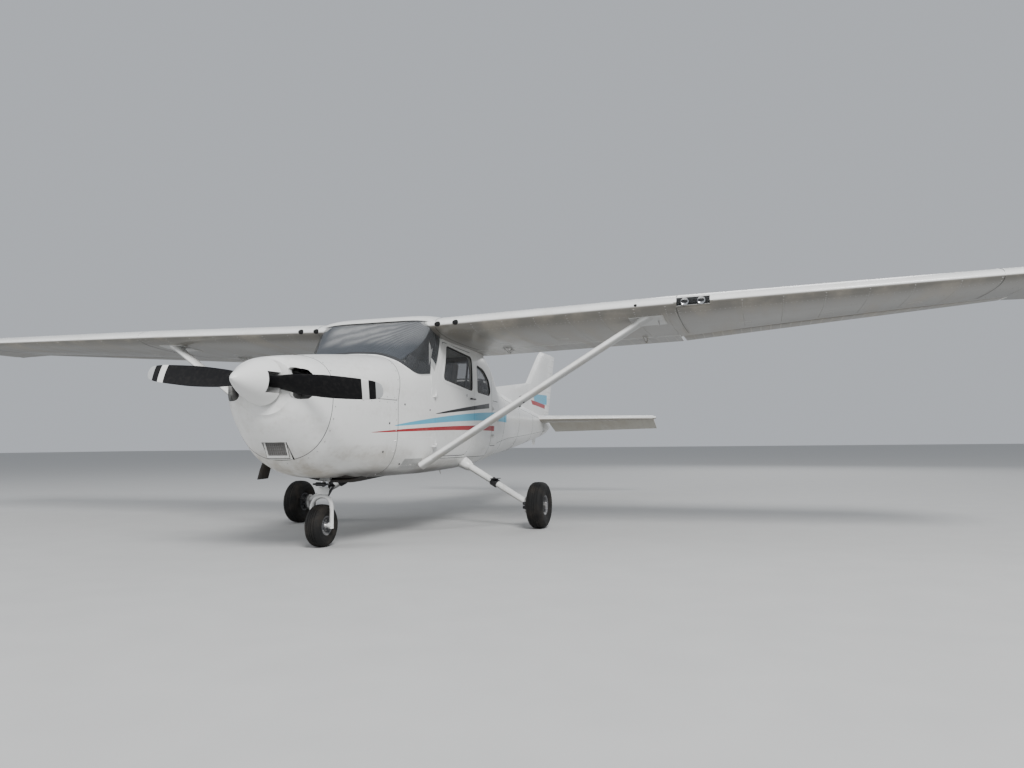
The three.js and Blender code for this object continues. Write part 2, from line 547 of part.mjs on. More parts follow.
// The outline of a fixed tail surface: its nose curve, then straight to its end.
function finRing(front, back, half, endHalf) {
  const length = (back - front) / FIXED_SHARE;
  const upper = [...NOSE_CURVE.map(([f, h]) => [front + f * length, h * half]), [back, endHalf]];
  return [...upper, ...upper.slice(1).reverse().map(([y, h]) => [y, -h])];
}
const flatRing = (ring, x) => ring.map(([y, h]) => [x, y, STAB_Z + h]);
const uprightRing = (ring, z) => ring.map(([y, h]) => [h, y, z]);
function elevatorRadius(x) {
  const [root, end] = ELEVATOR;
  return root.radius - ((root.radius - end.radius) * Math.max(0, Math.abs(x) - root.x)) / (end.x - root.x);
}
const stabBody = loft(
  STAB_ROWS.map(([x, front, half]) =>
    flatRing(finRing(front, ELEVATOR_HINGE, half, Math.min(half, elevatorRadius(x))), x),
  ),
);
const COVE = { from: 3.9, to: 71, rootRadius: 1.41, tipRadius: 0.93 };
const stabCoves = SIDES.map(([, side]) => {
  const [from, to] = [COVE.from, COVE.to].map((x) => [side * x, ELEVATOR_HINGE, STAB_Z]);
  return rod(from, to, COVE.rootRadius + CLEAR, COVE.tipRadius + CLEAR, COVE_SIDES);
});
const REAR_END = 2.2; // how far before the elevator's hinge the stabiliser ends in the middle
const stabRear = block(-4, 4, ELEVATOR_HINGE - REAR_END, 260, 30, 60);

// The hollow of a fixed tail surface, as a ring: behind its nose, at its fullest and before its rear spar.
const SKIN = 0.3; // skin of the hollow tail surfaces, stiffeners included
const SPAR = 3.6; // the rear spar's distance from the end of the fixed surface
function hollowRing(front, back, half, endHalf) {
  const full = front + 0.36 * (back - front);
  const sparHalf = endHalf + 0.12 * (half - endHalf) - SKIN;
  const shape = [[front + 4, 0.5 * half], [full, half - SKIN], [back - SPAR, sparHalf]];
  return [...shape, ...shape.slice().reverse().map(([y, h]) => [y, -h])];
}
const STAB_HOLLOW = 62;
const stabHollow = loft(
  [-STAB_HOLLOW, 0, STAB_HOLLOW].map((x) => {
    const t = Math.abs(x) / STAB_END.x;
    const front = STAB_ROOT.front + t * (STAB_END.front - STAB_ROOT.front);
    const half = STAB_ROOT.half + t * (STAB_END.half - STAB_ROOT.half);
    return flatRing(hollowRing(front, ELEVATOR_HINGE, half, elevatorRadius(x)), x);
  }),
);
const stabAccess = block(-1.6, 1.6, 224, 230, 40, STAB_Z);
piece("stabiliser", cut(stabBody, ...stabCoves, stabRear, stabHollow, stabAccess), "white_paint");
const droop = radians(DROOP);
const elevatorEnds = (side) =>
  ELEVATOR.map(({ x, radius, length }) => ({
    hinge: [side * x, ELEVATOR_HINGE, STAB_Z],
    radius,
    trail: [side * x, ELEVATOR_HINGE + length * Math.cos(droop), STAB_Z - length * Math.sin(droop)],
  }));
const TORQUE_TUBE = 0.75;
const torqueTube = rod([-5, ELEVATOR_HINGE, STAB_Z], [5, ELEVATOR_HINGE, STAB_Z], TORQUE_TUBE);
piece("elevator", join(torqueTube, ...SIDES.map(([, side]) => wedge(elevatorEnds(side)))), "white_paint");

// Tail cone, closed at its end by the tail light
const CONE_CLOSED = 5; // the row of sections where the hollow ends
const coneStart = [TAIL_START - 1, ...TAIL_SECTIONS[0].slice(1)];
const coneHollow = bodyOf([coneStart, ...TAIL_SECTIONS.slice(1, CONE_CLOSED)], TAIL_WALL);
const grownStab = loft(
  STAB_ROWS.map(([x, front, half]) =>
    flatRing(finRing(front - SEAT, ELEVATOR_HINGE - REAR_END + 0.05, half + SEAT, half + SEAT), x),
  ),
);
const tubeHole = rod([-6, ELEVATOR_HINGE, STAB_Z], [6, ELEVATOR_HINGE, STAB_Z], TORQUE_TUBE + PIVOT);
const tieRing = cut(
  sideways([[218.5, 34.5], [221.0, 30.2], [223.4, 30.2], [225.5, 34.9]], -0.35, 0.35),
  rod([-2, 222, 32.4], [2, 222, 32.4], 0.9, 0.9, 12),
);
piece("tail_cone", join(cut(bodyOf(TAIL_SECTIONS), coneHollow, grownStab, tubeHole), tieRing), "white_paint");

// Fin with its dorsal, and the rudder
const FIN_ROWS = [
  [46, 200, 240.1, 2.2, 1.45],
  [65.4, 208.2, 248.6, 2.0, 1.35],
  [84.3, 233.2, 256.9, 1.3, 1.0],
  [86.8, 238.5, 258, 0.8, 0.8],
];
const RUDDER = [
  { z: 48.6, hinge: 241.2, radius: 1.4, trail: 255.6 },
  { z: 86.9, hinge: 258.0, radius: 0.95, trail: 272.2 },
];
const DORSAL_ROWS = [[126, 56, 57.4, 0.5, 0.2], [150, 54, 59.2, 1.2, 0.35], [212, 48, 65.8, 1.9, 0.9]];
const finBody = loft(FIN_ROWS.map(([z, ...row]) => uprightRing(finRing(...row), z)));
function dorsalRing([y, low, high, foot, edge]) {
  return [[-foot, y, low], [foot, y, low], [edge, y, high], [-edge, y, high]];
}
const dorsal = loft(DORSAL_ROWS.map(dorsalRing));
const hingeSlope = (RUDDER[1].hinge - RUDDER[0].hinge) / (RUDDER[1].z - RUDDER[0].z);
const rudderHinge = (z) => RUDDER[0].hinge + (z - RUDDER[0].z) * hingeSlope;
const coveEnds = [[44, 1.45], [92, 0.9]].map(([z, radius]) => ({ hinge: [0, rudderHinge(z), z], radius }));
const rudderCove = coveOf(coveEnds, [0.2, 0.5, 0.8]);
const behindHinge = sideways([[rudderHinge(40), 40], [rudderHinge(92), 92], [300, 92], [300, 40]], -5, 5);
const FIN_HOLLOW = [
  [44, 199.2, 239.3, 2.2, 1.45],
  [65.4, 208.2, 248.6, 2.0, 1.35],
  [81, 228.9, 255.5, 1.42, 1.05],
];
const finHollow = loft(FIN_HOLLOW.map(([z, ...row]) => uprightRing(hollowRing(...row), z)));
const finCuts = [bodyOf(TAIL_SECTIONS, -SEAT), cabinBody, rudderCove, behindHinge, finHollow];
piece("fin", cut(join(finBody, dorsal), ...finCuts), "white_paint");
function rudderRing({ z, hinge, radius, trail }) {
  const nose = noseArc(radius).map(([aft, out]) => [hinge + aft, out]);
  return uprightRing([...nose, [trail, -BLUNT], [trail, BLUNT]], z);
}
piece("rudder", loft(RUDDER.map(rudderRing)), "white_paint");

// Wings, with their moving surfaces and struts
const AILERON_IN = 101.6;
const AILERON_OUT = 204.2;
const TIP_ROWS = [
  [208.5, 32.2, 42.6, 0.94, -0.25],
  [213, 34.6, 38.4, 0.72, -0.9],
  [216.4, 40, 30, 0.25, -1.7],
];
function tipRing([x, le, chord, thick, drop]) {
  const { z } = rib(x);
  const ring = ribRing({ ...rib(TIP_RIB.x), x, le, chord, z: z + drop });
  return ring.map(([px, y, pz]) => [px, y, z + drop + (pz - z - drop) * thick]);
}
function aileronEnd(x) {
  const section = rib(x);
  return {
    hinge: ribPoint(section, AILERON_HINGE, camberAt(AILERON_HINGE)),
    radius: halfAt(AILERON_HINGE) * section.chord,
    trail: ribPoint(section, 1, 0),
  };
}
function flapRing(x) {
  const section = rib(x);
  const half = (f) => Math.max(halfAt(f), THIN_END);
  const upper = [0.722, 0.86, 1].map((f) => ribPoint(section, f, camberAt(f) + half(f)));
  const lower = [1, 0.86, 0.724].map((f) => ribPoint(section, f, camberAt(f) - half(f)));
  return [...upper, ...lower];
}
// The flap turns on arms below the wing, each with a pin: an arm of the wing, and beside it one of the flap.
const FLAP_ARMS = [34, 88];
const FLAP_PIVOT = { fraction: 0.76, drop: 0.02 };
function flapArm(x) {
  const section = rib(x);
  const under = (f, drop) => ribPoint(section, f, camberAt(f) - halfAt(f) - drop).slice(1);
  const [y, z] = under(FLAP_PIVOT.fraction, FLAP_PIVOT.drop);
  const pin = (from, to, radius) => rod([from, y, z], [to, y, z], radius, radius, 12);
  const wingArm = [
    under(0.62, -0.006), under(0.7, -0.006),
    [y + 0.1, z + 0.45], [y + 0.4, z], [y, z - 0.45], under(0.64, 0.006),
  ];
  const ownArm = [
    under(0.78, -0.01), under(0.86, -0.008),
    [y + 0.4, z - 0.2], [y, z - 0.45], [y - 0.4, z], [y - 0.1, z + 0.4],
  ];
  return {
    fixed: cut(sideways(wingArm, x, x + 0.3), pin(x - 1, x + 1, 0.2 + PIVOT)),
    moving: join(sideways(ownArm, x + 0.3 + PIVOT, x + 0.6 + PIVOT), pin(x, x + 0.5, 0.2)),
  };
}
const STRUT = { foot: [19.5, 23.3, 23.5], head: [95.1, 36.4, 71.6], chord: 2.75, thick: 1.15, sides: 14 };
for (const [name, side] of SIDES) {
  const flip = ([x, y, z]) => [side * x, y, z];
  const flipped = (ring) => ring.map(flip);
  const inner = loft([ROOT.x, BREAK.x].map((x) => flipped(ribRing(rib(x), FLAP_FRONT))));
  const outer = loft([BREAK.x, TIP_RIB.x].map((x) => flipped(ribRing(rib(x), AILERON_HINGE))));
  const tip = loft([ribRing(rib(TIP_RIB.x)), ...TIP_ROWS.map(tipRing)].map(flipped));
  const [a, b] = [aileronEnd(AILERON_IN), aileronEnd(AILERON_OUT)];
  const coveLine = [a, b].map(({ hinge, radius }) => ({ hinge: flip(hinge), radius }));
  const aileronCove = coveOf(coveLine, [0.1, 0.5, 0.9]);
  const arms = FLAP_ARMS.map(flapArm);
  const [fixedArms, movingArms] = ["fixed", "moving"].map((key) => join(...arms.map((arm) => arm[key])));
  const placed = (body) => (side > 0 ? body : body.mirror([1, 0, 0]));
  piece(`wing_${name}`, join(cut(join(inner, outer, tip), aileronCove), placed(fixedArms)), "white_paint");
  const ends = [AILERON_IN + CLEAR, AILERON_OUT - CLEAR].map(aileronEnd);
  const placedEnds = ends.map(({ hinge, radius, trail }) => ({
    hinge: flip(hinge),
    radius: radius - SEAT,
    trail: flip(trail),
  }));
  piece(`aileron_${name}`, wedge(placedEnds), "white_paint");
  const flap = loft([ROOT.x + CLEAR, BREAK.x - CLEAR].map((x) => flipped(flapRing(x))));
  piece(`flap_${name}`, join(flap, placed(movingArms)), "white_paint");
  const [foot, head] = [STRUT.foot, STRUT.head].map((p) => new THREE.Vector3(...flip(p)));
  const along = head.clone().sub(foot).normalize();
  const chordWay = new THREE.Vector3(0, 1, 0).addScaledVector(along, -along.y).normalize();
  const thickWay = along.clone().cross(chordWay);
  const strutRing = (at) =>
    Array.from({ length: STRUT.sides }, (_, k) => {
      const t = (2 * Math.PI * k) / STRUT.sides;
      const out = at.clone().addScaledVector(chordWay, STRUT.chord * Math.cos(t));
      return out.addScaledVector(thickWay, STRUT.thick * Math.sin(t)).toArray();
    });
  const lower = ([px, y, z]) => [px, y, z - SEAT];
  const lowered = loft([ROOT.x, BREAK.x].map((x) => flipped(ribRing(rib(x), FLAP_FRONT)).map(lower)));
  const strutCuts = [bodyOf(CABIN_SECTIONS, -SEAT), bodyOf(DECK_SECTIONS, -SEAT), lowered];
  piece(`strut_${name}`, cut(loft([foot, head].map(strutRing)), ...strutCuts), "white_paint");
}

// Wheels: a rim with its bore on the axle, and a tyre
function tyreProfile({ radius, half, rim }) {
  const side = [
    [rim, half * 0.72], [rim + 0.9, half * 0.97], [radius * 0.78, half],
    [radius * 0.94, half * 0.78], [radius, half * 0.36],
  ];
  return [...side, ...side.map(([r, x]) => [r, -x]).reverse(), side[0]];
}
function rimProfile({ half, rim }, bore) {
  const out = rim - SEAT;
  const side = [
    [bore, half * 0.5], [bore + 0.9, half * 0.5], [bore + 1.2, half * 0.34],
    [out - 0.5, half * 0.4], [out - 0.3, half * 0.72], [out, half * 0.72],
  ];
  return [...side, ...side.map(([r, x]) => [r, -x]).reverse(), side[0]];
}
function wheel(label, spec, x, bore) {
  const at = [x, spec.station, spec.radius];
  piece(`tyre_${label}`, wheelBody(tyreProfile(spec), at), "rubber");
  piece(`wheel_${label}`, wheelBody(rimProfile(spec, bore), at), "light_grey");
}

// Main undercarriage: a tube leg with its axle and brake plate
const LEG = { root: [15.5, 63.4, 25.6], foot: [46.2, 58.3, 8.8], thick: 1.5, thin: 1.15 };
const AXLE = 0.75;
for (const [name, side] of SIDES) {
  const x = (v) => side * v;
  const [root, foot] = [LEG.root, LEG.foot].map(([px, y, z]) => [x(px), y, z]);
  const tube = rod(root, foot, LEG.thick, LEG.thin, 12);
  const fairing = rod([x(17), 63.15, 24.8], [x(25), 61.8, 20.4], 2.4, 1.6, 12);
  const clamp = rod([x(31.2), 60.8, 17], [x(33.6), 60.4, 15.7], 1.7, 1.6, 12);
  const onAxle = (v) => [x(v), MAIN.station, MAIN.radius];
  const axle = rod(onAxle(45.2), onAxle(53.4), AXLE);
  const plate = rod(onAxle(45.4), onAxle(46.2), 2.9, 2.9, 16);
  const nut = rod(onAxle(52.2), onAxle(53.2), 1.3, 1.1, 6);
  const leg = cut(join(tube, fairing, clamp), bodyOf(CABIN_SECTIONS, -SEAT));
  piece(`main_leg_${name}`, join(leg, axle, plate, nut), "white_paint");
  wheel(name, MAIN, x(MAIN.x), AXLE + PIVOT);
}

// Nose leg: the outer tube on the firewall, and the fork that turns in it
const STEER = { top: [0, -1.2, 38], low: [0, -5.9, 16.2] };
const onSteer = (t) => STEER.low.map((v, k) => v + t * (STEER.top[k] - v));
const OLEO = 1.5;
const bracket = block(-3, 3, -2.6, -SEAT, 31, 39);
const barrel = cut(rod(onSteer(0.16), onSteer(1), OLEO, OLEO, 18), behindWall);
piece("nose_strut", join(barrel, bracket), "metal");
const PRONG = { from: NOSE.half + 0.35, to: NOSE.half + 0.85 };
const PRONG_SHAPE = rounded([[-8.2, 5.6, 0.8], [-5.6, 5.6, 0.8], [-4.4, 14.6, 0.5], [-7.6, 14.6, 0.5]]);
const CROWN_SHAPE = rounded([[-8.6, 13.6, 0.5], [-4.0, 13.6, 0.5], [-4.2, 16.0, 0.6], [-8.0, 16.0, 0.6]]);
const prong = sideways(PRONG_SHAPE, PRONG.from, PRONG.to);
const prongs = [prong, prong.mirror([1, 0, 0])];
const crown = sideways(CROWN_SHAPE, -PRONG.to, PRONG.to);
const axleEnd = PRONG.to + 0.45;
const NOSE_AXLE = 0.6;
const [noseFrom, noseTo] = [-axleEnd, axleEnd].map((x) => [x, NOSE.station, NOSE.radius]);
const noseAxle = rod(noseFrom, noseTo, NOSE_AXLE, NOSE_AXLE, 14);
const piston = rod(onSteer(-0.04), onSteer(0.1588), 1.05, 1.05, 16);
const collar = rod(onSteer(0.02), onSteer(0.07), 1.5, 1.5, 16);
const steerBore = rod(onSteer(0.18), onSteer(0.28), OLEO + 0.1, OLEO + 0.1, 18);
const steerRing = cut(rod(onSteer(0.2), onSteer(0.26), 2.1, 2.1, 18), steerBore);
const LINK = [
  [-4.4, 14.8], [-1.0, 17.6], [-0.8, 18.4], [-2.9, 21.3],
  [-3.15, 20.2], [-2.1, 18.3], [-4.8, 16.0],
];
const link = sideways(LINK, -0.8, 0.8);
piece("nose_fork", join(...prongs, crown, noseAxle, piston, collar, link, steerRing), "light_grey");
wheel("nose", NOSE, 0, NOSE_AXLE + PIVOT);

// Propeller and spinner. Seen from ahead it turns anticlockwise, so the left blade's leading edge is its upper
// one. A blade's rows are its radius, chord, thickness and pitch in degrees.
const BLADE_ROWS = [
  [3.0, 4.4, 2.0, 55], [7.4, 5.4, 1.3, 46], [12, 6.3, 0.9, 36], [20, 6.5, 0.62, 26],
  [28, 5.9, 0.45, 20], [34, 5.0, 0.32, 17], [36.8, 3.6, 0.24, 16], [PROP.radius, 1.6, 0.2, 16],
];
const BLADE_SHAPE = [
  [-0.5, 0], [-0.32, 0.42], [-0.05, 0.5], [0.25, 0.32],
  [0.5, 0], [0.25, -0.32], [-0.05, -0.5], [-0.32, -0.42],
];
const turn = radians(PROP.turn);
function bladeRing([radius, chord, thick, pitch], way) {
  const tilt = -radians(pitch) * way;
  return BLADE_SHAPE.map(([c, t]) => {
    const up = c * chord * Math.cos(tilt) - t * thick * Math.sin(tilt);
    const back = c * chord * Math.sin(tilt) + t * thick * Math.cos(tilt);
    const place = new THREE.Vector2(way * radius, up).rotateAround(new THREE.Vector2(), turn);
    return [place.x, PROP.station + back, PROP.z + place.y];
  });
}
const blades = [1, -1].map((way) => loft(BLADE_ROWS.map((row) => bladeRing(row, way))));
const hubRear = -37.2 - SEAT;
const hub = join(
  rod([0, -42.4, PROP.z], [0, hubRear, PROP.z], PROP.hub, PROP.hub, 20),
  rod([0, hubRear - 0.35, PROP.z], [0, hubRear, PROP.z], PROP.spinner - 0.43, PROP.spinner - 0.325, 24),
);
piece("propeller", join(hub, ...blades), "black");
const SPINNER_OUTSIDE = [
  [0, 0], [0.9, 0.7], [2.6, 3.2], [4.4, 6.6], [5.8, 10.0], [6.5, 12.6], [PROP.spinner, 13.0],
];
const SPINNER_INSIDE = [[PROP.spinner - 0.3, 13.0], [5.45, 10.1], [4.05, 6.9], [2.2, 3.7], [0, 1.0]];
const spinnerProfile = [...SPINNER_OUTSIDE, ...SPINNER_INSIDE];
const spinnerShape = new THREE.LatheGeometry(spinnerProfile.map(([r, y]) => new THREE.Vector2(r, y)), 24);
spinnerShape.translate(0, PROP.tip, PROP.z);
const bladeSlot = new THREE.BoxGeometry(20, 6.2, 5.6);
bladeSlot.rotateY(-turn);
bladeSlot.translate(0, PROP.station, PROP.z);
piece("spinner", cut(solid(spinnerShape), solid(bladeSlot)), "white_paint");

// Cabin fittings
const PANEL = { front: 15.6, back: 17.2, bottom: 44, top: 57.2 };
const panelBody = join(
  block(-22, 22, PANEL.front, PANEL.back, PANEL.bottom, PANEL.top),
  block(-16, 16, 13.2, 18.4, PANEL.top - 0.5, PANEL.top + 0.3),
  block(-2.6, 2.6, PANEL.front, 22, FLOOR_TOP + SEAT, PANEL.bottom + 1),
).intersect(bodyOf(DECK_SECTIONS, WALL + SEAT));
const YOKE = { x: 9.6, z: 49, front: 24, back: 25.2 };
const YOKE_SHAPE = [
  [-6, 47.4, 0.6], [6, 47.4, 0.6], [6.4, 53.4, 0.6], [5, 53.4, 0.6],
  [4.4, 49.8, 1], [-4.4, 49.8, 1], [-5, 53.4, 0.6], [-6.4, 53.4, 0.6],
];
const yokes = [-YOKE.x, YOKE.x].flatMap((x) => [
  rod([x, PANEL.back - 0.5, YOKE.z], [x, YOKE.front + 0.6, YOKE.z], 0.5, 0.5, 10),
  lengthways(rounded(YOKE_SHAPE).map(([u, z]) => [x + u, z]), YOKE.front, YOKE.back),
]);
piece("instrument_panel", join(panelBody, ...yokes), "trim");

const SEAT_X = 10.4;
const PAD = { half: 8.6, front: 36.5, bottom: 33.2, top: 39 };
const BASE_SHAPE = [
  [PAD.front, PAD.bottom, 1.4], [PAD.front, PAD.top, 1.8], [54, 40.2, 1],
  [57, 39, 1.5], [56.2, PAD.bottom, 1.5],
];
const BACK_HALF = 8.4;
const BACK_SHAPE = [[52, 39.6, 1], [56.4, 38, 1.5], [62.2, 62.4, 1.8], [58.6, 63.2, 1.6]];
for (const [name, side] of SIDES) {
  const x = side * SEAT_X;
  const legs = [-6, 6].flatMap((dx) =>
    [38.5, 51].map((y) => block(x + dx - 0.6, x + dx + 0.6, y, y + 1.5, FLOOR_TOP + SEAT, PAD.bottom - 0.8)),
  );
  const tray = block(x - 8, x + 8, 37.4, 53.4, PAD.bottom - 1.2, PAD.bottom - SEAT);
  piece(`seat_frame_${name}`, join(tray, ...legs), "metal");
  const back = sideways(rounded(BACK_SHAPE), x - BACK_HALF, x + BACK_HALF);
  const base = sideways(rounded(BASE_SHAPE), x - PAD.half, x + PAD.half);
  piece(`seat_${name}`, join(base, back), "seat");
}
const BENCH_HALF = 17.4;
const BENCH = [
  [73, FLOOR_TOP + SEAT, 0], [73, 38.2, 2], [88, 38.2, 0.5],
  [92.4, 59, 1.5], [94.2, 58.6, 0.5], [94.2, FLOOR_TOP + SEAT, 0],
];
const benchRoom = bodyOf(CABIN_SECTIONS, WALL + SEAT);
piece("rear_seat", sideways(rounded(BENCH), -BENCH_HALF, BENCH_HALF).intersect(benchRoom), "seat");

export default aircraft;
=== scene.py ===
"""Dresses the solid model of a four-seat, strut-braced, high-wing light aeroplane.

The frame has X to the aircraft's left, Y aft and Z up from the ground, in metres, with its origin half-way
along the aircraft. Shapes are given in inches and stations, as on such an aircraft's drawings. The function
at and the Fitter turn them into metres.
"""

import logging
import math
from dataclasses import dataclass
from enum import Enum
from typing import Callable, Iterable, Optional, Sequence, Union

import bmesh
import bpy
import numpy as np
from mathutils import Matrix, Vector


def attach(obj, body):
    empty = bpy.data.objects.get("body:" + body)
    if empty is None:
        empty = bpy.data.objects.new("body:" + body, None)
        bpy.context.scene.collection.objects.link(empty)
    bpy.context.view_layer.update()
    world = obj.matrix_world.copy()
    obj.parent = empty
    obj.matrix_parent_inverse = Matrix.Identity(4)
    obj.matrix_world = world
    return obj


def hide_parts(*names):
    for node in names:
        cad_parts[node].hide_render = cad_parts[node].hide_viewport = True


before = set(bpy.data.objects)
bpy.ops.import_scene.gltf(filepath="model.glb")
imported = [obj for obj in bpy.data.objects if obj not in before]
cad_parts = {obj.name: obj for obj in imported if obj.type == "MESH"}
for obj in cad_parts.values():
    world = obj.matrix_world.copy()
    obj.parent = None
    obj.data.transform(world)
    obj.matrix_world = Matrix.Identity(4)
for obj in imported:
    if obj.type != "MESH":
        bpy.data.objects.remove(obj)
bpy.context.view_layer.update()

log = logging.getLogger("aeroplane")

INCH = 0.0254
MIDDLE = 111.0
SIDES = (("left", 1.0), ("right", -1.0))
Point = tuple[float, float, float]
Colour = tuple[float, float, float]
Placing = Callable[[np.ndarray], np.ndarray]
X_AXIS = (1.0, 0.0, 0.0)
Y_AXIS = (0.0, 1.0, 0.0)


class Body(str, Enum):
    """The bodies of the aircraft that pieces ride on."""

    AIRFRAME = "airframe"
    DOOR_LEFT = "door_left"
    DOOR_RIGHT = "door_right"
    BAGGAGE_DOOR = "baggage_door"
    AILERON_LEFT = "aileron_left"
    AILERON_RIGHT = "aileron_right"
    FLAP_LEFT = "flap_left"
    FLAP_RIGHT = "flap_right"
    ELEVATOR = "elevator"
    RUDDER = "rudder"
    NOSE_FORK = "nose_fork"
    NOSE_WHEEL = "nose_wheel"
    MAIN_WHEEL_LEFT = "main_wheel_left"
    MAIN_WHEEL_RIGHT = "main_wheel_right"
    PROPELLER = "propeller"


def at(x: float, station: float, z: float) -> Vector:
    """Place in metres of a point in inches and stations."""
    return Vector((x * INCH, (station - MIDDLE) * INCH, z * INCH))


def inches(point: Sequence[float]) -> np.ndarray:
    """Inches and station of a place in metres."""
    return np.array([point[0] / INCH, point[1] / INCH + MIDDLE, point[2] / INCH])


class Signal:
    """A number or colour that varies over a surface, as a socket of a shader's tree."""

    def __init__(self, shader: "Shader", socket: bpy.types.NodeSocket) -> None:
        """Wraps a socket of the shader's tree."""
        self.shader = shader
        self.socket = socket

    def _math(self, operation: str, *values: "Value") -> "Signal":
        """Applies a Math node's operation to the values."""
        return self.shader.node("ShaderNodeMath", {"operation": operation}, dict(enumerate(values)))

    def __add__(self, other: "Value") -> "Signal":
        """Sum."""
        return self._math("ADD", self, other)

    def __radd__(self, other: "Value") -> "Signal":
        """Sum, reflected."""
        return self._math("ADD", other, self)

    def __sub__(self, other: "Value") -> "Signal":
        """Difference."""
        return self._math("SUBTRACT", self, other)

    def __rsub__(self, other: "Value") -> "Signal":
        """Difference, reflected."""
        return self._math("SUBTRACT", other, self)

    def __mul__(self, other: "Value") -> "Signal":
        """Product."""
        return self._math("MULTIPLY", self, other)

    def __rmul__(self, other: "Value") -> "Signal":
        """Product, reflected."""
        return self._math("MULTIPLY", other, self)

    def __truediv__(self, other: "Value") -> "Signal":
        """Quotient."""
        return self._math("DIVIDE", self, other)

    def __pow__(self, other: "Value") -> "Signal":
        """Power."""
        return self._math("POWER", self, other)

    def __abs__(self) -> "Signal":
        """Distance from zero."""
        return self._math("ABSOLUTE", self)

    def low(self, other: "Value") -> "Signal":
        """The lower of the two."""
        return self._math("MINIMUM", self, other)

    def high(self, other: "Value") -> "Signal":
        """The higher of the two."""
        return self._math("MAXIMUM", self, other)

    def every(self, period: float) -> "Signal":
        """Distance to the nearest multiple of a period."""
        return self._math("PINGPONG", self, period / 2)

    def ramp(self, start: float, end: float) -> "Signal":
        """Rises from 0 to 1 between two values, or falls where the end lies below the start.

        Args:
            start: The value where the result is 0.
            end: The value where the result is 1.

        Returns:
            The smooth rise.
        """
        low, high = (start, end) if start < end else (end, start)
        rise = self.shader.node(
            "ShaderNodeMapRange",
            {"interpolation_type": "SMOOTHSTEP"},
            {"Value": self, "From Min": low, "From Max": high},
        )
        return rise if start < end else 1.0 - rise


Value = Union[float, Signal, tuple]


class Shader:
    """A material whose node tree is written as expressions."""

    def __init__(self, name: str) -> None:
        """Starts an empty material.

        Args:
            name: The material's name.
        """
        self.material = bpy.data.materials.new(name)
        self.material.use_nodes = True
        self.tree = self.material.node_tree
        self.tree.nodes.clear()
        coordinates = self.tree.nodes.new("ShaderNodeTexCoord")
        self.place = Signal(self, coordinates.outputs["Object"])

    def node(
        self,
        kind: str,
        settings: Optional[dict] = None,
        inputs: Optional[dict] = None,
        output: Union[int, str] = 0,
    ) -> Signal:
        """Adds a node of any type.

        Args:
            kind: The node's type.
            settings: The node's own settings, such as its operation, and "stops" of a colour ramp.
            inputs: Values or signals by the input's name or number.
            output: The name or number of the output that is returned.

        Returns:
            The signal at that output.
        """
        made = self.tree.nodes.new(kind)
        for key, value in (settings or {}).items():
            if key == "stops":
                self._stops(made.color_ramp, value)
            else:
                setattr(made, key, value)
        for key, value in (inputs or {}).items():
            if isinstance(value, Signal):
                self.tree.links.new(value.socket, made.inputs[key])
            elif value is not None:
                made.inputs[key].default_value = value
        return Signal(self, made.outputs[output])

    @staticmethod
    def _stops(ramp: bpy.types.ColorRamp, stops: Sequence[tuple[float, Colour]]) -> None:
        """Sets a colour ramp's stops.

        Args:
            ramp: The ramp.
            stops: Pairs of position and colour.
        """
        while len(ramp.elements) < len(stops):
            ramp.elements.new(0.5)
        for element, (position, colour) in zip(ramp.elements, stops):
            element.position = position
            element.color = (*colour, 1.0)

    def axes(self) -> tuple[Signal, Signal, Signal]:
        """The three coordinates of the place on the object, in metres."""
        split = self.node("ShaderNodeSeparateXYZ", None, {0: self.place}).socket.node
        return tuple(Signal(self, split.outputs[k]) for k in range(3))

    def noise(
        self, scale: float, detail: float = 4.0, stretch: Optional[Point] = None, seed: float = 0.0
    ) -> Signal:
        """Cloudy noise from 0 to 1.

        Args:
            scale: Clouds a metre.
            detail: Octaves.
            stretch: Scale along each axis, for streaks.
            seed: Shifts the clouds.

        Returns:
            The noise's strength.
        """
        where = self.place
        if stretch or seed:
            where = self.node(
                "ShaderNodeMapping",
                None,
                {
                    "Vector": self.place,
                    "Scale": stretch or (1, 1, 1),
                    "Location": (seed, seed * 0.7, seed * 1.3),
                },
            )
        return self.node("ShaderNodeTexNoise", None, {"Vector": where, "Scale": scale, "Detail": detail})

    def mix(self, factor: Value, a: Value, b: Value) -> Signal:
        """Mixes two colours.

        Args:
            factor: 0 for the first, 1 for the second.
            a: The first colour.
            b: The second colour.

        Returns:
            The colour between them.
        """
        colours = [value if isinstance(value, Signal) else (*value[:3], 1.0) for value in (a, b)]
        settings = {"data_type": "RGBA"}
        return self.node("ShaderNodeMix", settings, {0: factor, 6: colours[0], 7: colours[1]}, output=2)

    def bump(self, height: Signal, distance: float, strength: float = 1.0) -> Signal:
        """Turns a height into a normal.

        Args:
            height: The height, in units of the distance.
            distance: The distance in metres.
            strength: How much of it shows, from 0 to 1.

        Returns:
            The normal.
        """
        return self.node(
            "ShaderNodeBump", None, {"Height": height, "Distance": distance, "Strength": strength}
        )

    def surface(self, **inputs: Value) -> bpy.types.Material:
        """Ends the tree in a Principled surface.

        Args:
            **inputs: Its inputs, with _ for the spaces of their names.

        Returns:
            The finished material.
        """
        named = {key.replace("_", " "): value for key, value in inputs.items()}
        colour = named["Base Color"]
        if not isinstance(colour, Signal):
            named["Base Color"] = (*colour[:3], 1.0)
        made = self.node("ShaderNodeBsdfPrincipled", None, named)
        end = self.tree.nodes.new("ShaderNodeOutputMaterial")
        self.tree.links.new(made.socket, end.inputs["Surface"])
        return self.material


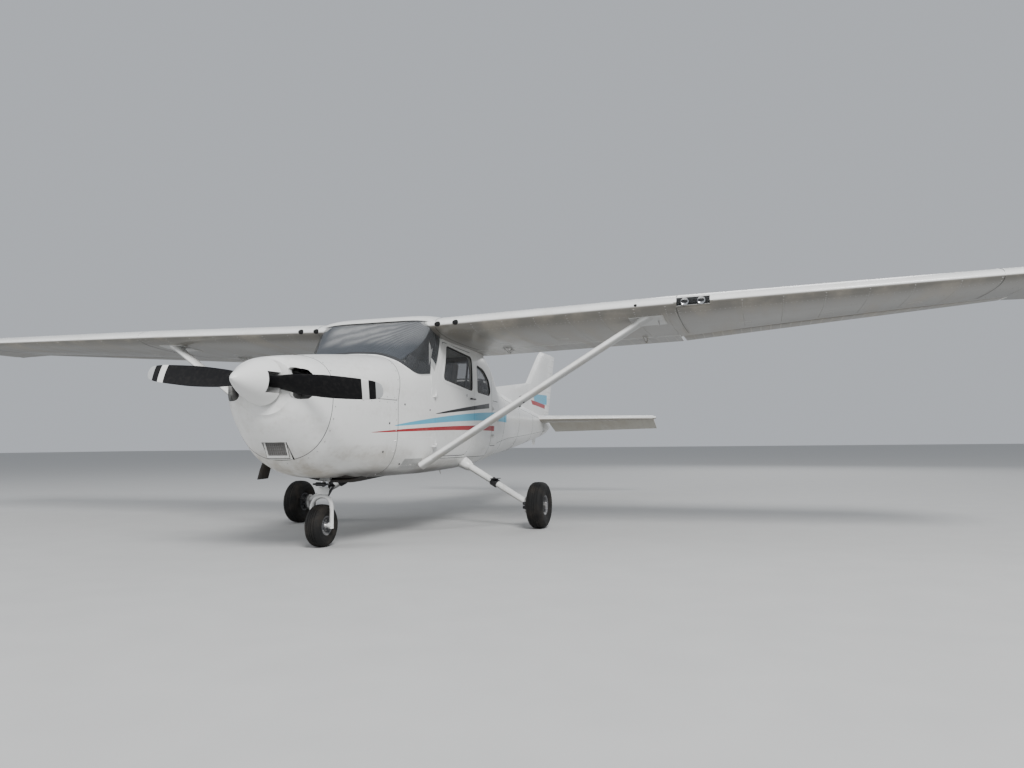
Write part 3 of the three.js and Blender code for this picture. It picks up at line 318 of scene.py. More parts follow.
@dataclass(frozen=True)
class Stripe:
    """A painted wedge on the side of the fuselage, from a point to a blunt rear end, in inches."""

    tip: tuple[float, float]
    end: tuple[float, float]
    half: float
    colour: Colour
    bow: float = 0.0
    swell: float = 0.55

    def mask(self, station: Signal, height: Signal) -> Signal:
        """Share of the stripe at a place.

        Args:
            station: The place's station.
            height: Its height in inches.

        Returns:
            1 on the stripe and 0 off it.
        """
        slope = (self.end[1] - self.tip[1]) / (self.end[0] - self.tip[0])
        share = (station - self.tip[0]) / (self.end[0] - self.tip[0])
        middle = (station - self.tip[0]) * slope + self.tip[1] + share * (1.0 - share) * (4 * self.bow)
        width = share.high(0.0) ** self.swell * self.half
        inside = (width - abs(height - middle)).ramp(-0.06, 0.06)
        inside = inside * station.ramp(self.tip[0], self.tip[0] + 0.1)
        return inside * station.ramp(self.end[0] + 0.06, self.end[0] - 0.06)


BLACK_STRIPE = Stripe((29.6, 41.2), (89.0, 46.6), 1.0, (0.004, 0.004, 0.005), 0.2)
BLUE_STRIPE = Stripe((2.6, 36.6), (128.6, 42.8), 2.1, (0.10, 0.42, 0.60), 1.5)
RED_STRIPE = Stripe((-9.0, 34.4), (100.2, 37.3), 1.1, (0.36, 0.012, 0.018), 0.7)
STRIPES = (BLACK_STRIPE, BLUE_STRIPE, RED_STRIPE)


@dataclass(frozen=True)
class AirframePaint:
    """Aged gloss paint over thin sheet, with dirt, stains, faint quilting of the skin, painted stripes, and
    painted shade on faces that look down and under the belly.
    """

    name: str
    base: Colour = (0.82, 0.82, 0.80)
    soiled: Colour = (0.40, 0.36, 0.30)
    # underside: the colour that faces looking down are given; painted shade.
    underside: Optional[Colour] = None
    beads: Optional[tuple[int, float]] = None
    dirt: float = 0.3
    grime_below: Optional[float] = None
    stripes: tuple[Stripe, ...] = ()
    bays: float = 0.36
    tail_marks: bool = False
    # oil: oil stains on the lower cowl, and the painted shadow under the belly.
    oil: bool = False

    def build(self) -> bpy.types.Material:
        """Makes the material.

        Returns:
            The material.
        """
        shader = Shader(self.name)
        x, y, z = shader.axes()
        station = y * (1 / INCH) + MIDDLE
        height = z * (1 / INCH)
        clouds = shader.noise(1.9, 6.0)
        fine = shader.noise(26.0, 5.0, seed=3.0)
        streaks = shader.noise(5.0, 5.0, stretch=(1.0, 0.16, 1.6), seed=1.7)
        darker = tuple(c * 0.93 for c in self.base)
        colour = shader.mix((clouds - 0.32).ramp(0.0, 0.42), self.base, darker)
        coat = 0.3
        for stripe in self.stripes:
            mask = stripe.mask(station, height)
            colour = shader.mix(mask, colour, stripe.colour)
            coat = coat - mask * 0.25
        if self.tail_marks:
            colour = self._tail_marks(shader, station, height, colour)
        dirt = (streaks * 0.6 + fine * 0.4).ramp(0.46, 0.74) * self.dirt
        # Faces that look down take the underside colour, which is painted shade, and more grime streaks.
        if self.underside:
            facing = self._facing_down(shader)
            colour = shader.mix(facing, colour, self.underside)
            dirt = (dirt + facing * streaks.ramp(0.42, 0.7) * 0.35).low(0.85)
        if self.grime_below is not None:
            low = height.ramp(self.grime_below + 9.0, self.grime_below - 3.0)
            dirt = (dirt + low * (clouds * 0.5 + streaks * 0.7).ramp(0.42, 0.85) * 0.55).low(0.8)
        if self.oil:
            dirt = (dirt + self._oil(shader, station, height)).low(0.85)
        colour = shader.mix(dirt, colour, self.soiled)
        dark: Value = 0.0
        if self.stripes:
            dark = BLACK_STRIPE.mask(station, height) * 0.92
            colour = shader.mix(dark, colour, BLACK_STRIPE.colour)
        # Painted shadow under the belly, from the cowl to behind the cabin, nearly black.
        if self.oil:
            belly_shadow = height.ramp(24.5, 21.6) * station.ramp(-18.0, -8.0) * station.ramp(130.0, 40.0)
            colour = shader.mix(belly_shadow * (0.55 + clouds * 0.5), colour, (0.035, 0.03, 0.026))
        rough = 0.27 + clouds * 0.1 + dirt * 0.4
        relief = shader.noise(1.0 / self.bays, 2.0, seed=9.0) + fine * 0.012
        if self.beads:
            axis, period = self.beads
            rib = (x, y, z)[axis].every(period * INCH).ramp(0.45 * INCH, 0.1 * INCH)
            relief = relief + rib * 0.8
            # Each bead is also drawn a little darker, in the soiled colour.
            colour = shader.mix(rib * 0.3, colour, self.soiled)
        normal = shader.bump(relief, 0.010, 0.35)
        return shader.surface(
            Base_Color=colour,
            Roughness=rough,
            Metallic=dark,
            Normal=normal,
            Coat_Weight=coat,
            Coat_Roughness=0.12,
            IOR=1.48,
            Specular_IOR_Level=0.3,
        )

    @staticmethod
    def _facing_down(shader: Shader) -> Signal:
        """Share by which the surface faces the ground.

        Args:
            shader: The material's shader.

        Returns:
            1 on an underside and 0 on a side or an upper side.
        """
        normal = Signal(shader, shader.place.socket.node.outputs["Normal"])
        split = shader.node("ShaderNodeSeparateXYZ", None, {0: normal}, output=2)
        return split.ramp(-0.1, -0.6)

    @staticmethod
    def _tail_marks(shader: Shader, station: Signal, height: Signal, colour: Signal) -> Signal:
        """Adds the two short bands low on the fin and rudder.

        Args:
            shader: The material's shader.
            station: The place's station.
            height: Its height in inches.
            colour: The colour under the bands.

        Returns:
            The colour with the bands.
        """
        for front, rear, low, high, slope, tint in (
            (214.0, 249.5, 54.6, 60.4, 0.03, BLUE_STRIPE.colour),
            (208.0, 243.0, 52.1, 54.6, -0.05, RED_STRIPE.colour),
        ):
            rise = (station - 240.0) * slope
            wedge = ((station - front) * 0.2).ramp(0.0, 1.0)
            start = station - front - (60.0 - height) * 0.9
            level = height - rise
            band = level.ramp(low - 0.06, low + 0.06) * level.ramp(high + 0.06, high - 0.06)
            ends = start.ramp(0.0, 0.2) * station.ramp(rear + 0.1, rear - 0.1)
            colour = shader.mix(band * wedge * ends, colour, tint)
        return colour

    @staticmethod
    def _oil(shader: Shader, station: Signal, height: Signal) -> Signal:
        """Oil and exhaust stains that run aft and down on the lower cowl.

        Args:
            shader: The material's shader.
            station: The place's station.
            height: Its height in inches.

        Returns:
            The share of oil.
        """
        run = shader.noise(9.0, 6.0, stretch=(1.0, 0.22, 0.5), seed=5.1)
        low = height.ramp(33.0, 23.0) * station.ramp(40.0, 0.0)
        return low * run.ramp(0.38, 0.66) * 0.4


@dataclass(frozen=True)
class PlainFinish:
    """A plain painted, plastic or metal finish with small wear, grain and dust."""

    name: str
    base: Colour
    worn: Colour
    wear: float = 0.35
    roughness: float = 0.5
    metallic: float = 0.0
    grain: float = 60.0
    depth: float = 0.0004
    coat: float = 0.0

    def build(self) -> bpy.types.Material:
        """Makes the material.

        Returns:
            The material.
        """
        shader = Shader(self.name)
        clouds = shader.noise(self.grain * 0.12, 5.0)
        fine = shader.noise(self.grain, 6.0, seed=2.0)
        spots = (clouds * 0.55 + fine * 0.45).ramp(0.46, 0.66) * self.wear
        colour = shader.mix(spots, self.base, self.worn)
        rough = self.roughness + (fine - 0.5) * 0.22 + spots * 0.2
        return shader.surface(
            Base_Color=colour,
            Roughness=rough,
            Metallic=self.metallic,
            Normal=shader.bump(fine, self.depth),
            Coat_Weight=self.coat,
        )


@dataclass(frozen=True)
class RubberFinish:
    """Tyre rubber with dust in its grain."""

    name: str = "tyre_rubber"

    def build(self) -> bpy.types.Material:
        """Makes the material.

        Returns:
            The material.
        """
        shader = Shader(self.name)
        clouds = shader.noise(9.0, 6.0)
        fine = shader.noise(220.0, 4.0, seed=4.0)
        dust = (clouds * 0.6 + fine * 0.4).ramp(0.44, 0.68) * 0.35
        colour = shader.mix(dust, (0.010, 0.010, 0.010), (0.085, 0.07, 0.056))
        normal = shader.bump(fine + clouds * 0.5, 0.0008)
        return shader.surface(
            Base_Color=colour, Roughness=0.76 + dust * 0.2, Normal=normal, Specular_IOR_Level=0.25
        )


@dataclass(frozen=True)
class GlazingFinish:
    """Clear acrylic with a slight tint and dust."""

    name: str
    tint: Colour = (0.09, 0.095, 0.10)
    alpha: float = 0.27
    haze: float = 0.05

    def build(self) -> bpy.types.Material:
        """Makes the material: a thin sheet that shows what is behind it and reflects the room.

        Returns:
            The material.
        """
        shader = Shader(self.name)
        clouds = shader.noise(6.0, 6.0)
        haze = clouds.ramp(0.45, 0.75) * self.haze
        rough = 0.03 + clouds * 0.05
        # The tint's opacity is partly the acrylic's own tint and partly painted shade of the cabin behind the
        # glass.
        return shader.surface(
            Base_Color=self.tint, Roughness=rough, Alpha=haze + self.alpha, IOR=1.45, Coat_Weight=0.1
        )


@dataclass(frozen=True)
class FoilFinish:
    """The sunshade's silvery sheet, with painted light: a lit patch with painted crease shading in the
    middle, and painted shade low down and at its right end.
    """

    name: str
    # The first colour is the foil under painted light, the second the foil in painted shade.
    pale: Colour = (0.74, 0.74, 0.73)
    foil_in_shade: Colour = (0.085, 0.10, 0.125)
    corner: tuple[float, float] = (26.0, 76.0)
    lit_patch_right: tuple[float, float] = (-17.5, -12.0)
    lit_patch_low: tuple[float, float] = (62.5, 67.5)

    def build(self) -> bpy.types.Material:
        """Makes the material: painted crease shading that fans out from the upper left corner over a painted
        lit patch.

        Returns:
            The material.
        """
        shader = Shader(self.name)
        x, _, z = shader.axes()
        aside, up = x * (1 / INCH), z * (1 / INCH)
        clouds = shader.noise(3.0, 4.0)
        # Painted light: light and dark bands along the creases, a lit patch, and more shade towards the left.
        # The creases also bump the surface.
        slope = (self.corner[1] - up) / (self.corner[0] - aside)
        crease_shade_and_relief = ((slope * 9.0 + clouds * 2.2).every(1.0) * 2).ramp(0.1, 0.9)
        patch = (aside + clouds * 5.0 - 2.5).ramp(*self.lit_patch_right)
        patch = patch * (up + clouds * 6.0 - 3.0).ramp(*self.lit_patch_low)
        left = 1.0 - aside.ramp(3.0, 15.0) * 0.45
        light = patch * left * (crease_shade_and_relief * 0.55 + 0.45)
        colour = shader.mix(light, self.foil_in_shade, self.pale)
        return shader.surface(
            Base_Color=colour, Roughness=0.5, Metallic=0.15, Normal=shader.bump(crease_shade_and_relief + clouds, 0.003)
        )


@dataclass(frozen=True)
class ClothFinish:
    """Woven upholstery with a fine weave and faded patches."""

    name: str
    base: Colour
    faded: Colour
    thread: float = 0.0022

    def build(self) -> bpy.types.Material:
        """Makes the material.

        Returns:
            The material.
        """
        shader = Shader(self.name)
        x, y, z = shader.axes()
        over = (x + y * 0.3).every(self.thread) * (1 / self.thread)
        under = (z + y * 0.7).every(self.thread) * (1 / self.thread)
        weave = over.high(under)
        clouds = shader.noise(5.0, 5.0)
        colour = shader.mix(clouds.ramp(0.35, 0.7), self.base, self.faded)
        colour = shader.mix(weave * 0.5, colour, tuple(c * 0.6 for c in self.base))
        return shader.surface(
            Base_Color=colour, Roughness=0.86, Normal=shader.bump(weave, 0.0006), Sheen_Weight=0.25
        )


@dataclass(frozen=True)
class BladePaint:
    """A black propeller blade with a grey tip and a white band, both by radius, and faint wear."""

    name: str = "blade_paint"
    hub: tuple[float, float] = (0.0, 48.1)
    bands: tuple[tuple[float, float, Colour], ...] = (
        (35.4, 40.0, (0.42, 0.43, 0.43)),
        (31.4, 33.4, (0.76, 0.76, 0.74)),
    )

    def build(self) -> bpy.types.Material:
        """Makes the material.

        Returns:
            The material.
        """
        shader = Shader(self.name)
        x, _, z = shader.axes()
        aside = x * (1 / INCH) - self.hub[0]
        up = z * (1 / INCH) - self.hub[1]
        radius = (aside * aside + up * up) ** 0.5
        fine = shader.noise(40.0, 6.0)
        colour = shader.mix(fine.ramp(0.4, 0.75) * 0.35, (0.006, 0.006, 0.007), (0.03, 0.028, 0.026))
        for start, end, tint in self.bands:
            inside = radius.ramp(start - 0.05, start + 0.05) * radius.ramp(end + 0.05, end - 0.05)
            colour = shader.mix(inside, colour, tint)
        return shader.surface(Base_Color=colour, Roughness=0.5 + fine * 0.2, Specular_IOR_Level=0.12)


class Palette:
    """Every finish of the aircraft, built once."""

    def __init__(self) -> None:
        """Builds the finishes."""
        finishes = (
            AirframePaint(
                "fuselage_paint", stripes=STRIPES, grime_below=24.0, dirt=0.22, bays=0.42, oil=True
            ),
            AirframePaint("cowl_paint", stripes=STRIPES, grime_below=26.0, dirt=0.32, oil=True),
            # The underside colours are painted shade on the faces that look down.
            AirframePaint("wing_paint", underside=(0.19, 0.18, 0.16), dirt=0.26, bays=0.5),
            AirframePaint(
                "moving_surface_paint", underside=(0.19, 0.18, 0.16), beads=(0, 3.4), dirt=0.32, bays=0.5
            ),
            AirframePaint(
                "elevator_paint", underside=(0.44, 0.42, 0.36), beads=(0, 3.4), dirt=0.3, bays=0.4
            ),
            AirframePaint("tail_paint", tail_marks=True, dirt=0.24),
            AirframePaint("rudder_paint", tail_marks=True, beads=(2, 4.2), dirt=0.24),
            AirframePaint("stabiliser_paint", underside=(0.30, 0.275, 0.235), dirt=0.3, bays=0.4),
            AirframePaint("gear_paint", underside=(0.42, 0.42, 0.41), dirt=0.3, bays=0.2),
            AirframePaint("spinner_paint", dirt=0.16, bays=0.3),
            PlainFinish("cast_grey", (0.45, 0.45, 0.44), (0.20, 0.19, 0.17), roughness=0.5, metallic=0.2),
            PlainFinish("wheel_enamel", (0.62, 0.62, 0.60), (0.26, 0.24, 0.21), roughness=0.45),
            PlainFinish("rim_paint", (0.10, 0.10, 0.105), (0.42, 0.42, 0.41), wear=0.45, roughness=0.5),
            PlainFinish(
                "bare_steel", (0.52, 0.51, 0.50), (0.26, 0.24, 0.22), roughness=0.34, metallic=0.95
            ),
            PlainFinish(
                "chromed_tube", (0.78, 0.78, 0.78), (0.5, 0.5, 0.5), wear=0.15, roughness=0.14, metallic=1.0
            ),
            PlainFinish(
                "burnt_steel", (0.02, 0.018, 0.016), (0.07, 0.045, 0.03), roughness=0.8, metallic=0.2
            ),
            PlainFinish("black_enamel", (0.015, 0.015, 0.017), (0.08, 0.075, 0.07), roughness=0.42),
            PlainFinish(
                "black_plastic", (0.02, 0.02, 0.022), (0.05, 0.05, 0.05), roughness=0.6, grain=300.0
            ),
            PlainFinish("panel_grey", (0.16, 0.155, 0.15), (0.24, 0.23, 0.22), roughness=0.7, grain=260.0),
            PlainFinish(
                "engine_alloy", (0.28, 0.28, 0.28), (0.10, 0.09, 0.08), roughness=0.6, metallic=0.6
            ),
            PlainFinish("dark_seal", (0.03, 0.03, 0.03), (0.10, 0.095, 0.09), roughness=0.75, grain=120.0),
            PlainFinish(
                "white_plastic", (0.74, 0.73, 0.70), (0.5, 0.48, 0.44), roughness=0.45, grain=120.0
            ),
            PlainFinish(
                "cabin_lining", (0.13, 0.12, 0.11), (0.09, 0.085, 0.08), roughness=0.8, grain=150.0
            ),
            PlainFinish(
                "filter_mesh",
                (0.12, 0.115, 0.11),
                (0.07, 0.065, 0.06),
                wear=0.5,
                roughness=0.9,
                grain=420.0,
            ),
            # Near black that stands for the shade inside openings, holes and gaps: painted shade.
            PlainFinish("opening_shade", (0.006, 0.006, 0.006), (0.012, 0.012, 0.012), roughness=0.95),
            PlainFinish(
                "red_lens", (0.45, 0.02, 0.02), (0.3, 0.02, 0.02), wear=0.2, roughness=0.15, coat=0.8
            ),
            PlainFinish(
                "green_lens", (0.02, 0.32, 0.10), (0.02, 0.2, 0.08), wear=0.2, roughness=0.15, coat=0.8
            ),
            FoilFinish("foil"),
            PlainFinish("dial_face", (0.015, 0.015, 0.016), (0.03, 0.03, 0.03), roughness=0.35, coat=0.9),
            PlainFinish("dial_mark", (0.82, 0.82, 0.80), (0.7, 0.7, 0.68), wear=0.1, roughness=0.6),
            RubberFinish(),
            GlazingFinish("window_acrylic"),
            GlazingFinish("lamp_glass", alpha=0.06, haze=0.02),
            ClothFinish("seat_cloth", (0.16, 0.145, 0.13), (0.26, 0.24, 0.21)),
            ClothFinish("belt_webbing", (0.03, 0.03, 0.033), (0.06, 0.06, 0.06), thread=0.003),
            BladePaint(),
        )
        self._made = {finish.name: finish.build() for finish in finishes}

    def __getitem__(self, name: str) -> bpy.types.Material:
        """The material of a finish."""
        return self._made[name]


@dataclass
class Shape:
    """Points in inches and stations, with the faces between them."""

    points: np.ndarray
    faces: list[tuple[int, ...]]

    def __add__(self, other: "Shape") -> "Shape":
        """Puts two shapes together.

        Args:
            other: The second shape.

        Returns:
            Both as one.
        """
        shift = len(self.points)
        moved = [tuple(i + shift for i in face) for face in other.faces]
        return Shape(np.vstack([self.points, other.points]), self.faces + moved)

    def mirrored(self) -> "Shape":
        """The same shape on the other side of the aircraft."""
        return Shape(self.points * np.array([-1.0, 1.0, 1.0]), [face[::-1] for face in self.faces])

    def on(self, side: float) -> "Shape":
        """This shape for the left side, +1, or its mirror image for the right, -1."""
        return self if side > 0 else self.mirrored()

    def moved(self, x: float = 0.0, station: float = 0.0, z: float = 0.0) -> "Shape":
        """The shape moved by inches."""
        return Shape(self.points + np.array([x, station, z]), self.faces)


def full_turn(count: int) -> np.ndarray:
    """Angles in radians at even steps of a whole turn."""
    return 2 * math.pi * np.arange(count) / count


def joined(shapes: Iterable[Shape]) -> Shape:
    """Puts shapes together.

    Args:
        shapes: The shapes.

    Returns:
        All of them as one.
    """
    whole: Optional[Shape] = None
    for shape in shapes:
        whole = shape if whole is None else whole + shape
    return whole


def loft(rings: Sequence[np.ndarray], around: bool = True, caps: bool = True) -> Shape:
    """A surface through rings with the same number of points.

    Args:
        rings: The rings, in order.
        around: Whether each ring closes on itself.
        caps: Whether the first and last ring are closed with a face.

    Returns:
        The surface.
    """
    rings = [np.asarray(ring, float) for ring in rings]
    n = len(rings[0])
    faces = []
    for i in range(len(rings) - 1):
        for k in range(n if around else n - 1):
            a, b = i * n + k, i * n + (k + 1) % n
            faces.append((a, b, b + n, a + n))
    if caps:
        last = (len(rings) - 1) * n
        faces.append(tuple(reversed(range(n))))
        faces.append(tuple(range(last, last + n)))
    return Shape(np.vstack(rings), faces)


def across(axis: Sequence[float]) -> tuple[np.ndarray, np.ndarray, np.ndarray]:
    """Frame of an axis.

    Args:
        axis: The axis's direction, of any length.

    Returns:
        Its unit vector and two more at right angles to it.
    """
    w = np.asarray(axis, float)
    w = w / np.linalg.norm(w)
    helper = np.array([0.0, 0.0, 1.0]) if abs(w[2]) < 0.9 else np.array([0.0, 1.0, 0.0])
    u = np.cross(helper, w)
    u /= np.linalg.norm(u)
    return w, u, np.cross(w, u)


def lathe(
    profile: Sequence[tuple[float, float]], centre: Sequence[float], axis: Sequence[float], sides: int = 48
) -> Shape:
    """A body turned about an axis.

    Args:
        profile: Rows of radius and distance along the axis: closed, or a line from radius 0 to radius 0.
        centre: The point of the axis from which distances count.
        axis: The axis's direction.
        sides: Sides of each ring.

    Returns:
        The body.
    """
    w, u, v = across(axis)
    rings = []
    for turn in full_turn(sides):
        out = math.cos(turn) * u + math.sin(turn) * v
        rings.append(np.array([np.asarray(centre) + r * out + d * w for r, d in profile]))
    n = len(profile)
    closed = profile[0] == profile[-1]
    faces = []
    for k in range(sides):
        for i in range(n - 1):
            a, b = k * n + i, ((k + 1) % sides) * n + i
            faces.append((a, b, b + 1, a + 1))
    shape = Shape(np.vstack(rings), faces)
    return welded(shape) if closed or profile[0][0] == 0 or profile[-1][0] == 0 else shape


def drum(
    radius: float, start: float, end: float, centre: Sequence[float], axis: Sequence[float], sides: int
) -> Shape:
    """A plain round body between two distances along an axis."""
    return lathe([(0.0, start), (radius, start), (radius, end), (0.0, end)], centre, axis, sides)


BLOCK_FACES = [(0, 3, 2, 1), (4, 5, 6, 7), (0, 1, 5, 4), (1, 2, 6, 5), (2, 3, 7, 6), (3, 0, 4, 7)]


def block(x0: float, x1: float, y0: float, y1: float, z0: float, z1: float) -> Shape:
    """A block between two places along each axis."""
    corners = [(x, y, z) for z in (z0, z1) for x, y in ((x0, y0), (x1, y0), (x1, y1), (x0, y1))]
    return Shape(np.array(corners), list(BLOCK_FACES))


def welded(shape: Shape) -> Shape:
    """Merges the points of a shape that share a place.

    Args:
        shape: The shape.

    Returns:
        The shape without doubles and without empty faces.
    """
    keys = np.round(shape.points, 5)
    _, first, back = np.unique(keys, axis=0, return_index=True, return_inverse=True)
    back = back.reshape(-1)
    faces = []
    for face in shape.faces:
        loop = [int(back[i]) for i in face]
        loop = [v for i, v in enumerate(loop) if v != loop[i - 1]]
        if len(set(loop)) > 2:
            faces.append(tuple(loop))
    return Shape(shape.points[first], faces)


def tube(path: Sequence[Sequence[float]], radius: Union[float, Sequence[float]], sides: int = 20) -> Shape:
    """A round tube along a path, closed at its ends.

    Args:
        path: The points that its middle follows.
        radius: Its radius, or one for each point.
        sides: Sides of each ring.

    Returns:
        The tube.
    """
    points = np.asarray(path, float)
    radii = np.broadcast_to(np.asarray(radius, float), (len(points),))
    ways = np.gradient(points, axis=0)
    _, u, _ = across(ways[0])
    rings = []
    for point, way, r in zip(points, ways, radii):
        w = way / np.linalg.norm(way)
        u = u - w * np.dot(u, w)
        u /= np.linalg.norm(u)
        v = np.cross(w, u)
        ring = [point + r * (math.cos(t) * u + math.sin(t) * v) for t in full_turn(sides)]
        rings.append(np.array(ring))
    return loft(rings)


def rounded(corners: Sequence[Sequence[float]], steps: int = 6) -> np.ndarray:
    """An outline with its corners rounded, from rows of u, v and radius.

    Args:
        corners: The corners in order, each with its radius.
        steps: Steps of each rounding.

    Returns:
        The outline's points.
    """
    out = []
    for i, (u, v, r) in enumerate(corners):
        here = np.array([u, v])
        if not r:
            out.append(here)
            continue
        back = np.array(corners[i - 1][:2]) - here
        on = np.array(corners[(i + 1) % len(corners)][:2]) - here
        reach = min(r, 0.48 * np.linalg.norm(back), 0.48 * np.linalg.norm(on))
        a = here + back / np.linalg.norm(back) * reach
        b = here + on / np.linalg.norm(on) * reach
        for k in range(steps + 1):
            t = k / steps
            out.append((1 - t) ** 2 * a + 2 * t * (1 - t) * here + t * t * b)
    return np.array(out)


def spaced(outline: np.ndarray, pitch: float, closed: bool = True) -> np.ndarray:
    """Spreads points evenly along an outline.

    Args:
        outline: The outline's points.
        pitch: The distance from point to point.
        closed: Whether the outline ends where it starts.

    Returns:
        The new points.
    """
    line = np.vstack([outline, outline[:1]]) if closed else outline
    lengths = np.concatenate([[0.0], np.cumsum(np.linalg.norm(np.diff(line, axis=0), axis=1))])
    count = max(3, int(round(lengths[-1] / pitch)))
    marks = np.linspace(0, lengths[-1], count + 1)[: count if closed else count + 1]
    return np.column_stack([np.interp(marks, lengths, line[:, k]) for k in range(line.shape[1])])


def offset(outline: np.ndarray, by: float) -> np.ndarray:
    """Moves a closed flat outline out or in.

    Args:
        outline: The outline's points.
        by: The distance outwards, negative for inwards.

    Returns:
        The moved outline.
    """
    after = np.roll(outline, -1, axis=0) - outline
    before = outline - np.roll(outline, 1, axis=0)
    way = after / np.linalg.norm(after, axis=1)[:, None] + before / np.linalg.norm(before, axis=1)[:, None]
    way /= np.linalg.norm(way, axis=1)[:, None]
    area = np.sum(outline[:, 0] * np.roll(outline[:, 1], -1) - np.roll(outline[:, 0], -1) * outline[:, 1])
    return outline + by * math.copysign(1.0, area) * np.column_stack([way[:, 1], -way[:, 0]])


class Curve:
    """A smooth curve through rows of a place followed by values, with no overshoot between them."""

    def __init__(self, rows: Sequence[Sequence[float]]) -> None:
        """Works out the slope at each row.

        Args:
            rows: Rows of a place and its values, in order of place.
        """
        table = np.array(rows, float)
        self.places = table[:, 0]
        self.values = table[:, 1:]
        rates = np.diff(self.values, axis=0) / np.diff(self.places)[:, None]
        slopes = np.zeros_like(self.values)
        slopes[0] = rates[0]
        slopes[-1] = rates[-1]
        before, after = rates[:-1], rates[1:]
        same = before * after > 0
        total = np.where(same, before + after, 1.0)
        slopes[1:-1] = np.where(same, 2 * before * after / total, 0.0)
        self.slopes = slopes

    def __call__(self, where: np.ndarray) -> np.ndarray:
        """Values at places.

        Args:
            where: One place or more.

        Returns:
            One row for each kind of value, with a column for each place.
        """
        where = np.clip(np.atleast_1d(np.asarray(where, float)), self.places[0], self.places[-1])
        i = np.clip(np.searchsorted(self.places, where) - 1, 0, len(self.places) - 2)
        step = (self.places[i + 1] - self.places[i])[:, None]
        t = (where - self.places[i])[:, None] / step
        start, end = self.values[i], self.values[i + 1]
        leave, arrive = self.slopes[i] * step, self.slopes[i + 1] * step
        cube, square = t**3, t**2
        blend = (2 * cube - 3 * square + 1) * start + (cube - 2 * square + t) * leave
        return (blend + (3 * square - 2 * cube) * end + (cube - square) * arrive).T


class Form:
    """A smooth surface that parts of the aircraft's skin lie on."""

    def level(self, points: np.ndarray) -> np.ndarray:
        """A value that is 0 on the surface and grows outwards."""
        raise NotImplementedError

    def project(self, points: np.ndarray) -> np.ndarray:
        """The points moved onto the surface."""
        raise NotImplementedError

    def normals(self, points: np.ndarray) -> np.ndarray:
        """Outward unit vectors.

        Args:
            points: Points of the surface.

        Returns:
            A vector for each point.
        """
        step = 0.004
        slopes = []
        for axis in np.eye(3) * step:
            slopes.append(self.level(points + axis) - self.level(points - axis))
        way = np.array(slopes).T
        return way / np.maximum(np.linalg.norm(way, axis=1), 1e-12)[:, None]


NOSE_AND_DECK = (
    (-36.3, 9.2, 39.0, 47.3, 54.2, 2.2, 2.1),
    (-35.2, 12.0, 36.6, 46.8, 55.0, 2.4, 2.2),
    (-33.0, 14.2, 33.2, 46.2, 55.5, 2.5, 2.2),
    (-30.5, 15.4, 30.0, 45.6, 55.9, 2.5, 2.2),
    (-27.5, 16.2, 26.6, 45.0, 56.3, 2.5, 2.3),
    (-24.0, 16.8, 23.9, 44.5, 56.7, 2.5, 2.4),
    (-18.0, 17.5, 22.0, 44.0, 57.5, 2.5, 2.6),
    (-9.0, 18.5, 20.8, 43.5, 58.5, 2.6, 2.9),
    (0.0, 19.6, 20.4, 43.0, 59.4, 2.8, 3.6),
    (9.0, 20.5, 20.3, 44.0, 60.3, 2.9, 4.0),
    (18.0, 21.3, 20.3, 44.5, 61.2, 3.4, 4.4),
    (27.4, 21.9, 20.3, 45.0, 61.8, 4.4, 4.6),
)
CABIN_AND_TAIL = (
    (24.0, 21.7, 20.3, 45.0, 76.0, 4.4, 4.5),
    (36.0, 22.1, 20.3, 45.0, 76.0, 4.4, 4.6),
    (62.0, 22.1, 20.8, 45.0, 76.0, 4.2, 4.4),
    (80.0, 21.2, 21.3, 45.5, 74.0, 4.4, 4.0),
    (91.5, 19.9, 21.7, 46.0, 70.2, 4.8, 3.6),
    (97.0, 19.1, 22.0, 46.2, 67.6, 4.8, 3.4),
    (104.0, 18.1, 22.4, 46.2, 64.2, 4.0, 3.2),
    (112.0, 16.9, 22.9, 46.0, 60.0, 3.2, 3.0),
    (124.0, 15.2, 24.0, 45.5, 57.8, 2.7, 2.7),
    (142.0, 13.0, 25.3, 45.0, 56.2, 2.5, 2.4),
    (178.0, 9.2, 28.8, 43.6, 52.8, 2.4, 2.3),
    (212.0, 6.0, 32.7, 42.4, 49.6, 2.3, 2.2),
    (236.0, 3.8, 35.6, 42.2, 47.6, 2.2, 2.2),
    (250.5, 2.4, 38.6, 42.2, 45.4, 2.0, 2.0),
)


